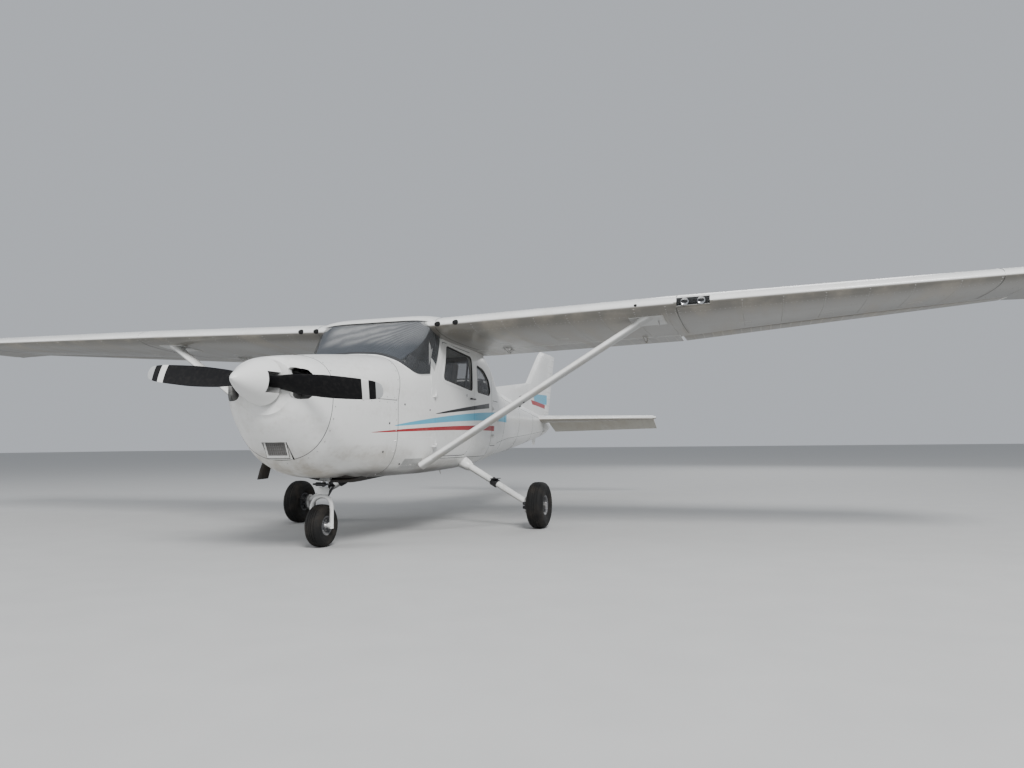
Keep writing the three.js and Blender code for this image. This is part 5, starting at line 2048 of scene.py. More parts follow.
@dataclass
class Wings:
    """The wings with their moving surfaces and struts."""

    fitter: Fitter
    strut_foot: Point = (19.5, 23.3, 23.5)
    strut_head: Point = (95.1, 36.4, 71.6)
    strut_chord: float = 2.75
    strut_half: float = 1.15
    strut_taper: float = 0.22
    cuff_rows: tuple[tuple[float, float], ...] = ((0.0, 0.4), (0.035, 0.32), (0.05, 0.12), (0.052, 0.0))
    lower_cuff: float = 0.35

    def build(self) -> None:
        """Skins the wings and makes the struts."""
        for name, side in SIDES:
            wing = Skin(f"wing_{name}", [Follow(WING, near=0.3)]).refine().build(
                self.fitter, ["wing_paint"]
            )
            self.fitter.fix(wing, Body.AIRFRAME, "white_paint", [f"wing_{name}"])
            for part in ("flap", "aileron"):
                node = f"{part}_{name}"
                made = Skin(node, []).build(self.fitter, ["moving_surface_paint"])
                self.fitter.fix(made, Body(node), "white_paint", [node])
            self._strut(name, side)

    def _strut(self, name: str, side: float) -> None:
        """Makes one lift strut with a streamlined section, and its cuffs.

        Args:
            name: The side's name.
            side: 1.0 on the left, -1.0 on the right.
        """
        foot, head = np.array(self.strut_foot), np.array(self.strut_head)
        way, _, _ = across(head - foot)
        chordwise = np.array([0.0, 1.0, 0.0]) - way * way[1]
        chordwise /= np.linalg.norm(chordwise)
        thick = np.cross(way, chordwise)

        def ring(share: float, grow: float = 0.0) -> np.ndarray:
            """The strut's section.

            Args:
                share: Its place as a share of the strut's length.
                grow: Inches by which it is wider.

            Returns:
                The section's points.
            """
            centre = foot + share * (head - foot)
            points = []
            for turn in full_turn(40):
                c, s = math.cos(turn), math.sin(turn)
                blunt = s * (1 - self.strut_taper * c)
                back = chordwise * c * (self.strut_chord + grow)
                points.append(centre + back + thick * blunt * (self.strut_half + grow))
            return np.array(points)

        body = loft([ring(0.01), ring(0.99)])
        lower = loft([ring(share, grow * self.lower_cuff) for share, grow in self.cuff_rows])
        cuffs = (lower + loft([ring(1 - share, grow) for share, grow in self.cuff_rows])).on(side)
        solids = [f"strut_{name}"]
        self.fitter.add(
            f"strut_tube_{name}", body.on(side), "gear_paint", Body.AIRFRAME, "white_paint", 50, solids
        )
        self.fitter.add(f"strut_cuffs_{name}", cuffs, "gear_paint", Body.AIRFRAME, "white_paint", 30)


@dataclass
class Tail:
    """The fin, rudder, stabiliser and elevator."""

    fitter: Fitter
    stabiliser_rows: tuple = (
        (0.0, 215.2, 239.5, 2.3, 1.43),
        (4.6, 216.54, 239.5, 2.23, 1.4),
        (67.5, 234.9, 239.5, 1.3, 0.955),
        (69.8, 237.2, 239.5, 0.55, 0.55),
    )
    fin_rows: tuple = (
        (46.0, 200.0, 240.1, 2.2, 1.45),
        (65.4, 208.2, 248.6, 2.0, 1.35),
        (84.3, 233.2, 256.9, 1.3, 1.0),
        (86.8, 238.5, 258.0, 0.8, 0.8),
    )
    level: float = 45.2
    hinge: float = 239.5
    tube_half: float = 5.1
    tube_reach: float = 1.1
    tube_share: float = 0.94

    def build(self) -> None:
        """Skins the four surfaces."""
        fixed = {
            "stabiliser": TailForm(self.stabiliser_rows, upright=False, plane=self.level),
            "fin": TailForm(self.fin_rows, upright=True),
        }
        finishes = {"stabiliser": "stabiliser_paint", "fin": "tail_paint"}
        for node, form in fixed.items():
            made = Skin(node, [Follow(form, near=0.35)]).refine().build(self.fitter, [finishes[node]])
            self.fitter.fix(made, Body.AIRFRAME, "white_paint", [node])
        for node in ("elevator", "rudder"):
            skin = Skin(node, [])
            if node == "elevator":
                self._slim(skin.points)
            made = skin.build(self.fitter, [f"{node}_paint"])
            self.fitter.fix(made, Body(node), "white_paint", [node])

    def _slim(self, points: np.ndarray) -> None:
        """Draws the elevator's torque tube in a little, so that it turns freely in its hole.

        Args:
            points: The elevator's points, which are moved in place.
        """
        middle = np.array([self.hinge, self.level])
        away = points[:, 1:] - middle
        inside = np.hypot(away[:, 0], away[:, 1]) < self.tube_reach
        inside &= np.abs(points[:, 0]) < self.tube_half
        points[inside, 1:] = middle + away[inside] * self.tube_share


@dataclass
class Wheel:
    """A wheel with its tyre, turned about a line along X."""

    fitter: Fitter
    name: str
    body: Body
    x: float
    station: float
    radius: float
    half: float
    rim: float
    outboard: float
    groove: float = 0.16

    def build(self) -> None:
        """Makes the tyre, the rim and its bolts."""
        centre = (self.x, self.station, self.radius)
        self._tyre(centre)
        self._rim(centre)

    def _tyre(self, centre: Point) -> None:
        """Makes the tyre, with grooves round its tread and a moulded ring on its walls.

        Args:
            centre: The wheel's centre.
        """
        r, h, b, deep = self.radius, self.half, self.rim, self.groove
        side = [
            (b - 0.05, h * 0.5),
            (b - 0.05, h * 0.72),
            (b + 0.12, h * 0.8),
            (b + 0.55, h * 0.86),
            (b + (r - b) * 0.3, h * 0.965),
            (b + (r - b) * 0.42, h * 0.99),
            (b + (r - b) * 0.55, h),
            (b + (r - b) * 0.66, h * 0.985),
            (b + (r - b) * 0.68, h * 0.995),
            (b + (r - b) * 0.72, h * 0.965),
            (b + (r - b) * 0.84, h * 0.86),
            (b + (r - b) * 0.93, h * 0.7),
            (r - 0.16, h * 0.56),
            (r - 0.09, h * 0.5),
            (r - 0.09 - deep, h * 0.47),
            (r - 0.08 - deep, h * 0.40),
            (r - 0.05, h * 0.37),
            (r - 0.03, h * 0.18),
            (r - 0.03 - deep, h * 0.155),
            (r - 0.03 - deep, h * 0.085),
            (r, h * 0.06),
        ]
        inner = [(b + 0.4, 0.0)]
        profile = inner + [(b + 0.4, h * 0.5)] + side[1:] + [(rr, -d) for rr, d in reversed(side[1:])]
        profile += [(b + 0.4, -h * 0.5)] + inner
        tyre = lathe(profile, centre, X_AXIS, 80)
        self.fitter.add(
            f"tyre_tread_{self.name}", tyre, "tyre_rubber", self.body, "rubber", 30, [f"tyre_{self.name}"]
        )

    def _rim(self, centre: Point) -> None:
        """Makes the two halves of the rim, the hub with its cap, and a ring of bolts.

        Args:
            centre: The wheel's centre.
        """
        h, b = self.half, self.rim
        out = self.outboard
        face = [
            (0.0, out * h * 0.62),
            (0.9, out * h * 0.62),
            (1.1, out * h * 0.56),
            (1.2, out * h * 0.36),
            (b - 1.0, out * h * 0.30),
            (b - 0.62, out * h * 0.34),
            (b - 0.45, out * h * 0.68),
            (b - 0.28, out * h * 0.76),
            (b + 0.02, out * h * 0.78),
            (b + 0.1, out * h * 0.74),
            (b + 0.0, out * h * 0.66),
            (b - 0.12, 0.0),
            (b + 0.0, -out * h * 0.66),
            (b + 0.1, -out * h * 0.74),
            (b - 0.28, -out * h * 0.76),
            (b - 0.5, -out * h * 0.62),
            (b - 0.7, -out * h * 0.3),
            (1.6, -out * h * 0.3),
            (1.4, -out * h * 0.56),
            (0.0, -out * h * 0.58),
        ]
        rim = lathe(face, centre, X_AXIS, 64)
        self.fitter.add(
            f"rim_{self.name}", rim, "rim_paint", self.body, "wheel_rim", 35, [f"wheel_{self.name}"]
        )
        bolts = []
        ring = b - 1.35 if b > 3 else b - 1.15
        head = [
            (0.0, out * (h * 0.33 + 0.28)),
            (0.26, out * (h * 0.33 + 0.28)),
            (0.3, out * (h * 0.33 + 0.2)),
            (0.3, out * h * 0.25),
            (0.0, out * h * 0.25),
        ]
        for turn in full_turn(6):
            spot = (self.x, self.station + ring * math.cos(turn), self.radius + ring * math.sin(turn))
            bolts.append(lathe(head, spot, X_AXIS, 6))
        cap = [
            (0.0, out * h * 0.80),
            (0.35, out * h * 0.79),
            (0.62, out * h * 0.72),
            (0.78, out * h * 0.6),
            (0.0, out * h * 0.55),
        ]
        bolts.append(lathe(cap, centre, X_AXIS, 32))
        self.fitter.add(f"wheel_bolts_{self.name}", joined(bolts), "bare_steel", self.body, "metal", 30)


@dataclass
class Undercarriage:
    """The main legs, the nose leg with its fork, and the three wheels."""

    fitter: Fitter
    axle_x: float = 50.3
    axle_station: float = 58.1
    axle_z: float = 8.35
    leg_root: Point = (15.5, 63.4, 25.6)
    leg_foot: Point = (46.2, 58.3, 8.8)
    steer_low: Point = (0.0, -5.9, 16.2)
    steer_top: Point = (0.0, -1.2, 38.0)
    nose_station: float = -6.8
    nose_radius: float = 6.4
    main_tyre: tuple[float, float] = (3.05, 3.5)
    nose_tyre: tuple[float, float] = (2.5, 2.9)
    cuff_rows: tuple[tuple[float, float], ...] = (
        (15.0, 2.6), (17.0, 2.5), (19.0, 2.3), (20.8, 2.0), (22.0, 1.6), (22.3, 1.3)
    )
    clamp_rows: tuple[tuple[float, float], ...] = (
        (31.2, 1.45), (31.35, 1.62), (33.45, 1.6), (33.6, 1.42)
    )
    step_place: float = 32.4
    fork_side: tuple[Point, ...] = (
        (3.5, -6.8, 5.6),
        (3.5, -6.8, 8.5),
        (3.48, -6.75, 11.6),
        (3.2, -6.6, 13.2),
        (2.4, -6.4, 14.4),
        (1.2, -6.15, 15.0),
    )
    fork_top: Point = (0.0, -6.0, 15.15)
    fork_radius: float = 0.62
    lower_link: tuple[tuple[float, float], ...] = (
        (-4.5, 15.4), (-3.9, 16.1), (-1.0, 18.7), (-0.7, 18.2), (-1.0, 17.5), (-4.2, 14.7)
    )
    upper_link: tuple[tuple[float, float], ...] = (
        (-3.3, 20.6), (-2.8, 21.3), (-0.7, 18.6), (-0.8, 17.8), (-1.5, 17.8)
    )
    link_half: float = 0.18
    damper: Point = (0, -7.4, 18.9)

    def build(self) -> None:
        """Makes the legs and wheels."""
        for name, side in SIDES:
            self._main_leg(name, side)
            place = (side * self.axle_x, self.axle_station, self.axle_z)
            Wheel(self.fitter, name, Body(f"main_wheel_{name}"), *place, *self.main_tyre, side).build()
        place = (0.0, self.nose_station, self.nose_radius)
        Wheel(self.fitter, "nose", Body.NOSE_WHEEL, *place, *self.nose_tyre, 1.0).build()
        self._nose_leg()

    def _main_leg(self, name: str, side: float) -> None:
        """Makes one spring tube with its cuff, step clamp, brake line, axle and brake.

        Args:
            name: The side's name.
            side: 1.0 on the left, -1.0 on the right.
        """
        root, foot = np.array(self.leg_root), np.array(self.leg_foot)

        def on_leg(x: float) -> np.ndarray:
            """The tube's middle at a distance from the aircraft's middle."""
            return root + (x - root[0]) / (foot[0] - root[0]) * (foot - root)

        marks = np.linspace(0, 1, 12)
        path = [root + t * (foot - root) for t in marks]
        bend = [foot + np.array(v) for v in ((0.7, -0.12, -0.35), (1.0, -0.2, -0.45))]
        radii = [1.35 - 0.3 * t for t in marks] + [1.05, 0.9]
        leg = tube(path + bend, radii, 32)
        cuff, clamp = (
            tube([on_leg(x) for x, _ in rows], [r for _, r in rows], sides)
            for rows, sides in ((self.cuff_rows, 36), (self.clamp_rows, 32))
        )
        shape = (leg + cuff).on(side)
        self.fitter.add(
            f"leg_tube_{name}", shape, "gear_paint", Body.AIRFRAME, "white_paint", 35, [f"main_leg_{name}"]
        )
        x, y, z = on_leg(self.step_place) + (0.2, -0.5, 1.3)
        tread = block(x - 1.3, x + 1.6, y - 1.9, y + 2.4, z, z + 0.25)
        step = (clamp + tread).on(side)
        self.fitter.add(f"leg_step_{name}", step, "black_enamel", Body.AIRFRAME, "metal", 35, bevel=0.06)
        self._brake(name, side)

    def _brake(self, name: str, side: float) -> None:
        """Makes the axle, its plate and nut, the brake's caliper and the brake line.

        Args:
            name: The side's name.
            side: 1.0 on the left, -1.0 on the right.
        """
        hub = x0, y0, z0 = self.axle_x, self.axle_station, self.axle_z
        plate = [(0.0, -4.9), (2.9, -4.9), (2.9, -4.15), (2.5, -4.0), (0.0, -4.0)]
        nut = [(0.0, 1.9), (1.2, 1.9), (1.2, 2.6), (1.0, 2.75), (0.0, 2.8)]
        axle = drum(0.75, -5.1, 2.0, hub, X_AXIS, 32) + lathe(plate, hub, X_AXIS, 40)
        axle = (axle + lathe(nut, hub, X_AXIS, 6)).on(side)
        self.fitter.add(f"axle_{name}", axle, "bare_steel", Body.AIRFRAME, "metal", 30)
        caliper = block(x0 - 4.0, x0 - 3.05, y0 - 5.0, y0 - 2.4, z0 - 1.3, z0 + 1.5)
        caliper += block(x0 - 4.0, x0 - 3.5, y0 - 3.2, y0 - 0.8, z0 - 0.9, z0 + 1.0)
        piston = [(0.0, -5.0), (0.55, -5.0), (0.6, -4.8), (0.6, -3.6), (0.0, -3.6)]
        pistons = [lathe(piston, (x0, y0 - 3.7, z0 + dz), X_AXIS, 20) for dz in (-0.6, 0.75)]
        whole = (caliper + joined(pistons)).on(side)
        self.fitter.add(
            f"brake_caliper_{name}", whole, "black_enamel", Body.AIRFRAME, "metal", 30, bevel=0.05
        )
        root, foot = np.array(self.leg_root), np.array(self.leg_foot)
        line = [
            root + t * (foot - root) + np.array([0.0, 1.28 - 0.2 * t, -0.75])
            for t in np.linspace(0.14, 0.98, 14)
        ]
        bends = ((-4.6, 0.6, -0.9), (-4.6, -1.4, -1.1), (-4.4, -3.4, -0.8))
        line += [np.array(hub) + bend for bend in bends]
        self.fitter.add(
            f"brake_line_{name}", tube(line, 0.14, 10).on(side), "black_plastic", Body.AIRFRAME, "metal", 50
        )

    def _nose_leg(self) -> None:
        """Makes the barrel with its bracket, the piston and the fork."""
        axis = np.array(self.steer_top) - np.array(self.steer_low)
        length = float(np.linalg.norm(axis))

        def ring(profile: Sequence[tuple[float, float]], sides: int = 40) -> Shape:
            """A body turned about the steering line, from rows of radius and share of its length."""
            return lathe([(r, t * length) for r, t in profile], self.steer_low, axis, sides)

        barrel = ring(
            [
                (0.0, 0.16),
                (1.62, 0.16),
                (1.62, 0.185),
                (1.5, 0.19),
                (1.5, 0.44),
                (1.66, 0.45),
                (1.66, 0.49),
                (1.5, 0.5),
                (1.5, 0.94),
                (1.3, 1.0),
                (0.0, 1.0),
            ]
        )
        bracket = block(-3, 3, -2.6, -0.1, 31, 39)
        self.fitter.add(
            "nose_barrel", barrel + bracket, "cast_grey", Body.AIRFRAME, "metal", 30, ["nose_strut"], 0.05
        )
        piston = ring([(0.0, 0.02), (1.05, 0.02), (1.05, 0.158), (0.0, 0.158)])
        self.fitter.add("nose_piston", piston, "chromed_tube", Body.NOSE_FORK, "metal", 30)
        self._fork(ring)

    def _damper(self) -> Shape:
        """Shapes the steering damper across the front of the piston, with its two arms.

        Returns:
            The damper.
        """
        half = [(0.0, -2.7), (0.3, -2.7), (0.3, -1.7), (0.62, -1.6)]
        profile = half + [(radius, -along) for radius, along in reversed(half)]
        _, station, z = self.damper
        arms = [tube([(x, station, z), (x * 0.6, -5.4, 18.7)], 0.3, 10) for x in (-1.5, 1.5)]
        return lathe(profile, self.damper, X_AXIS, 20) + joined(arms)

    def _fork(self, ring: Callable[..., Shape]) -> None:
        """Makes the fork with its crown, prongs, axle, torque link and steering collar.

        Args:
            ring: Turns a profile about the steering line.
        """
        arch = [*self.fork_side, self.fork_top] + [(-x, y, z) for x, y, z in reversed(self.fork_side)]
        parts = [tube(spaced(np.array(arch, float), 0.5, False), self.fork_radius, 24)]
        parts.append(
            ring([(0.0, -0.03), (1.5, -0.03), (1.62, 0.0), (1.62, 0.062), (1.4, 0.075), (0.0, 0.075)])
        )
        centre = (0.0, self.nose_station, self.nose_radius)
        parts.append(drum(0.6, -3.5, 3.5, centre, X_AXIS, 28))
        boss = [(0.0, 2.7), (1.0, 2.7), (1.0, 3.45), (0.0, 3.5)]
        nut = [(0.0, 3.4), (0.72, 3.4), (0.72, 3.8), (0.0, 3.85)]
        for profile, sides in ((boss, 28), (nut, 6)):
            for way in (-1, 1):
                turned = [(radius, way * along) for radius, along in profile]
                parts.append(lathe(turned, centre, X_AXIS, sides))
        self.fitter.add(
            "nose_fork_frame", joined(parts), "gear_paint", Body.NOSE_FORK, "light_grey", 40, ["nose_fork"]
        )
        links, half = [], self.link_half
        for outline, reach in ((self.lower_link, 0.62), (self.upper_link, 0.24)):
            links += [sideways(np.array(outline), x - half, x + half) for x in (-reach, reach)]
        pin = drum(0.34, -1.1, 1.1, (0, -1.15, 18.1), X_AXIS, 20)
        link = joined(links) + pin + self._damper()
        self.fitter.add("nose_torque_link", link, "black_enamel", Body.NOSE_FORK, "metal", 30, bevel=0.05)
        collar = ring([(1.6, 0.2), (2.1, 0.205), (2.1, 0.255), (1.6, 0.26), (1.6, 0.2)])
        self.fitter.add("steering_collar", collar, "bare_steel", Body.NOSE_FORK, "metal", 30)


def sideways(outline: np.ndarray, start: float, end: float) -> Shape:
    """A plate along X from an outline of stations and heights."""
    return loft([np.array([(x, y, z) for y, z in outline]) for x in (start, end)])


@dataclass
class PowerPlant:
    """The propeller, spinner, engine, filter and exhaust."""

    fitter: Fitter
    station: float = -38.4
    z: float = 48.1
    turn: float = math.radians(-5.8)
    tip: float = -50.2
    filter_half: float = 3.7
    filter_rim: float = 0.55
    filter_low: tuple[float, float] = (-28.9, 27.1)
    filter_high: tuple[float, float] = (-31.2, 32.3)
    filter_ahead: Point = (0.0, -0.35, 0.12)
    filter_behind: Point = (0.0, 1.3, -0.4)
    filter_opening: float = 0.72
    exhaust_path: tuple[Point, ...] = (
        (-12.2, -14.6, 30.0), (-13.2, -14.9, 27.0), (-14.3, -15.3, 23.6), (-14.9, -15.6, 20.8)
    )
    exhaust_radius: float = 1.6
    exhaust_wall: float = 0.12
    exhaust_slant: float = 0.12
    blade_rows: tuple = (
        (2.2, 3.4, 3.0, 62.0),
        (4.4, 4.6, 1.9, 52.0),
        (7.4, 5.4, 1.3, 46.0),
        (12.0, 6.3, 0.9, 36.0),
        (20.0, 6.5, 0.62, 26.0),
        (28.0, 5.9, 0.45, 20.0),
        (34.0, 5.0, 0.32, 17.0),
        (36.4, 3.9, 0.26, 16.0),
        (37.1, 2.9, 0.22, 16.0),
        (37.4, 1.4, 0.15, 16.0),
    )
    blade_taper: float = 0.25
    spinner_rows: tuple = (
        (0.0, 0.0),
        (0.9, 0.7),
        (2.6, 3.2),
        (4.4, 6.6),
        (5.8, 10.0),
        (6.5, 12.6),
        (6.6, 13.0),
    )

    def build(self) -> None:
        """Makes the pieces ahead of the firewall."""
        blades = joined(self._blade(way) for way in (1, -1))
        centre = (0, self.station, self.z)
        hub = lathe([(0.0, -4.2), (2.9, -4.2), (3.2, -3.8), (3.2, 1.1), (0.0, 1.1)], centre, Y_AXIS, 48)
        back = lathe([(0.0, 0.8), (6.2, 0.8), (6.28, 1.15), (0.0, 1.15)], centre, Y_AXIS, 64)
        solids = ["propeller"]
        self.fitter.add(
            "propeller_blades", blades, "blade_paint", Body.PROPELLER, "black_paint", 50, solids
        )
        self.fitter.add("propeller_hub", hub + back, "cast_grey", Body.PROPELLER, "metal", 30)
        form = RevolvedForm(self.spinner_rows, self.tip, self.z)
        spinner = Skin("spinner", [Follow(form, near=0.45)]).refine(0.008, 4)
        made = spinner.build(self.fitter, ["spinner_paint"])
        self.fitter.fix(made, Body.PROPELLER, "white_paint", ["spinner"])
        for node, finish, slot in (
            ("engine_block", "engine_alloy", "engine"),
            ("firewall", "bare_steel", "metal"),
        ):
            made = Skin(node, []).build(self.fitter, [finish])
            self.fitter.fix(made, Body.AIRFRAME, slot, [node])
        self._filter()
        self._exhaust()

    def _filter(self) -> None:
        """Makes the air filter: a light frame round a grey mesh, nearly upright under the spinner."""
        half, rim = self.filter_half, self.filter_rim
        corners = []
        for x, share in ((-half, 1.0), (half, 1.0), (half, 0.0), (-half, 0.0)):
            low, high = np.array(self.filter_low), np.array(self.filter_high)
            corners.append(np.array([x, *(low + share * (high - low))]))
        outer = np.array(corners)
        middle = outer.mean(axis=0)
        ahead, behind = np.array(self.filter_ahead), np.array(self.filter_behind)
        inner = middle + (outer - middle) * np.array(
            [1 - rim / half, self.filter_opening, self.filter_opening]
        )
        loops = [outer + behind, outer + ahead, inner + ahead, inner + behind, outer + behind]
        ring = welded(loft(loops, caps=False))
        self.fitter.add(
            "air_filter_frame", ring, "wheel_enamel", Body.AIRFRAME, "trim", 30, ["air_filter"], 0.1
        )
        mesh = loft([inner + behind, inner + ahead * 0.2])
        self.fitter.add("air_filter_mesh", mesh, "filter_mesh", Body.AIRFRAME, "trim", 30)
        bars = [tube([a, b], 0.035, 6) for a, b in self._bars(inner + ahead * 0.3)]
        self.fitter.add("air_filter_wires", joined(bars), "engine_alloy", Body.AIRFRAME, "metal", 30)
        # A black line round the frame's front: painted shade in the gap round the filter.
        front = outer + ahead * 0.6
        edge = [tube([a, b], 0.09, 8) for a, b in zip(front, np.roll(front, 1, axis=0))]
        self.fitter.add("air_filter_edge_shade", joined(edge), "opening_shade", Body.AIRFRAME, "black_paint", 30)

    @staticmethod
    def _bars(corners: np.ndarray) -> list[tuple[np.ndarray, np.ndarray]]:
        """Spreads wires across a four-cornered opening.

        Args:
            corners: The four corners.

        Returns:
            The pairs of the wires' ends.
        """
        left_top, right_top, right_low, left_low = corners
        marks = np.linspace(0.08, 0.92, 9)
        bars = []
        for a, b, c, d, shares in (
            (left_top, right_top, left_low, right_low, marks),
            (left_top, left_low, right_top, right_low, marks[::2]),
        ):
            bars += [(a + t * (b - a), c + t * (d - c)) for t in shares]
        return bars

    def _exhaust(self) -> None:
        """Makes the exhaust pipe, open at its lower end, and a black patch over the opening that it comes out
        of, which is painted shade.
        """
        path = np.array(self.exhaust_path)
        radius, wall = self.exhaust_radius, self.exhaust_wall
        turns = full_turn(36)
        circle = np.column_stack([np.cos(turns), np.sin(turns), self.exhaust_slant * np.cos(turns)])
        bore = [(point, radius - wall) for point in path[:0:-1]]
        rings = [point + size * circle for point, size in [(point, radius) for point in path] + bore]
        self.fitter.add(
            "exhaust_tube", loft(rings), "burnt_steel", Body.AIRFRAME, "exhaust", 50, ["exhaust_pipe"]
        )
        hole = []
        for turn in turns:
            x, station = path[1][0] + 1.2 + 3.3 * math.cos(turn), path[1][1] - 0.4 + 3.0 * math.sin(turn)
            hole.append((x, station, FORE.skin(x, station, True)))
        # The black patch is painted shade inside the cowl's opening.
        cover = plate(FORE, np.array(hole), -0.05, 0.05)
        self.fitter.add("exhaust_opening_shade", cover, "opening_shade", Body.AIRFRAME, "black_paint")

    def _blade(self, way: int) -> Shape:
        """Makes one blade by smooth rows of radius, chord, thickness and pitch.

        Args:
            way: 1 for the blade that points left, -1 for the other.

        Returns:
            The blade.
        """
        curve = Curve(self.blade_rows)
        radii = np.concatenate([np.linspace(2.2, 34.0, 26), np.linspace(34.6, 37.4, 10)])
        c, s = math.cos(self.turn), math.sin(self.turn)
        rings = []
        for radius in radii:
            chord, thick, pitch = curve(radius)[:, 0]
            tilt = -math.radians(pitch) * way
            out = way * radius
            ring = []
            for angle in full_turn(36):
                along = 0.5 * math.cos(angle)
                off = 0.5 * math.sin(angle) * (1 + self.blade_taper * math.cos(angle))
                up = along * chord * math.cos(tilt) - off * thick * math.sin(tilt)
                rear = along * chord * math.sin(tilt) + off * thick * math.cos(tilt)
                ring.append((out * c - up * s, self.station + rear, self.z + out * s + up * c))
            rings.append(np.array(ring))
        return loft(rings)


def on_side(side: float) -> Placing:
    """Chooses a side of the cabin.

    Args:
        side: 1.0 for the left, -1.0 for the right.

    Returns:
        A function that turns rows of station and height into points on that side.
    """

    def placed(rows: np.ndarray) -> np.ndarray:
        """The points of rows of station and height."""
        return np.array([(side * AFT.side(s, z), s, z) for s, z in rows])

    return placed


def on_deck(rows: np.ndarray) -> np.ndarray:
    """Points on the rear cabin's top from rows of distance from the middle and station."""
    return np.array([(x, s, AFT.skin(x, s)) for x, s in rows])


@dataclass
class Glazing:
    """Frames, seals and trim round the side and rear windows."""

    fitter: Fitter
    frame_width: float = 0.95
    seal_width: float = 0.34
    gap_width: float = 0.23
    gap_lifts: tuple[float, float] = (-0.5, -0.09)

    def build(self) -> None:
        """Makes a pale frame and a dark seal round each window, and black strips in the door gaps that are
        painted shade.
        """
        for name, side in SIDES:
            door = Body(f"door_{name}")
            for what, corners, body in (("door", DOOR_WINDOW, door), ("side", SIDE_WINDOW, Body.AIRFRAME)):
                self._round(f"{what}_window", name, rounded(corners, 8), on_side(side), body)
        self._round("rear_window", "top", rounded(REAR_WINDOW, 8), on_deck, Body.AIRFRAME)
        # Black strips sunk in the gaps round the doors and the baggage door: painted shade in the gaps.
        shadows = []
        for corners, side in ((DOOR, 1.0), (BAGGAGE, 1.0), (DOOR, -1.0)):
            gap = on_side(side)(offset(spaced(rounded(corners, 8), 0.8), 0.1))
            shadows.append(ribbon(AFT, gap, self.gap_width, *self.gap_lifts, closed=True))
        self.fitter.add("door_gap_shadows", joined(shadows), "opening_shade", Body.AIRFRAME, "rubber", 50)

    def _round(
        self, what: str, name: str, outline: np.ndarray, placed: Placing, body: Body
    ) -> None:
        """Makes the frame and the seal of one window.

        Args:
            what: The window's name.
            name: The side's name.
            outline: The window's flat outline.
            placed: Turns the flat outline into points of the skin.
            body: The body that it rides on.
        """
        outline = spaced(outline, 0.7)
        seal = surround(AFT, placed, outline, (-0.1, self.seal_width), (-0.42, 0.06))
        self.fitter.add(f"{what}_seal_{name}", seal, "dark_seal", body, "rubber", 40)
        trim = surround(AFT, placed, outline, (self.seal_width, self.frame_width + 0.35), (-0.05, 0.1))
        self.fitter.add(f"{what}_frame_{name}", trim, "fuselage_paint", body, "white_paint", 40)


def deck_arch(station: float) -> np.ndarray:
    """A line over the left half of the nose, which leans aft towards its top.

    Args:
        station: The station of its lower end.

    Returns:
        The points.
    """
    arch = np.array([FORE.ring(station, turn) for turn in np.linspace(-0.42 * math.pi, 0.5 * math.pi, 40)])
    arch[:, 1] += np.maximum(0.0, arch[:, 2] - 45.0) * 0.36
    return arch


def level_line(
    form: FuselageForm, side: float, z: float, start: float, end: float, count: int
) -> np.ndarray:
    """A level line along one side of the fuselage.

    Args:
        form: The fuselage's form.
        side: 1.0 for the left, -1.0 for the right.
        z: The line's height.
        start: The station where it starts.
        end: The station where it ends.
        count: Its number of points.

    Returns:
        The points.
    """
    return np.array([(side * form.side(s, z), s, z) for s in np.linspace(start, end, count)])


def flat_ring(centre: Sequence[float], wide: float, long: float, count: int) -> np.ndarray:
    """A level ring round a centre, from its reach across and along the aircraft."""
    turns = full_turn(count)
    return np.asarray(centre) + np.column_stack([wide * np.cos(turns), long * np.sin(turns), 0 * turns])


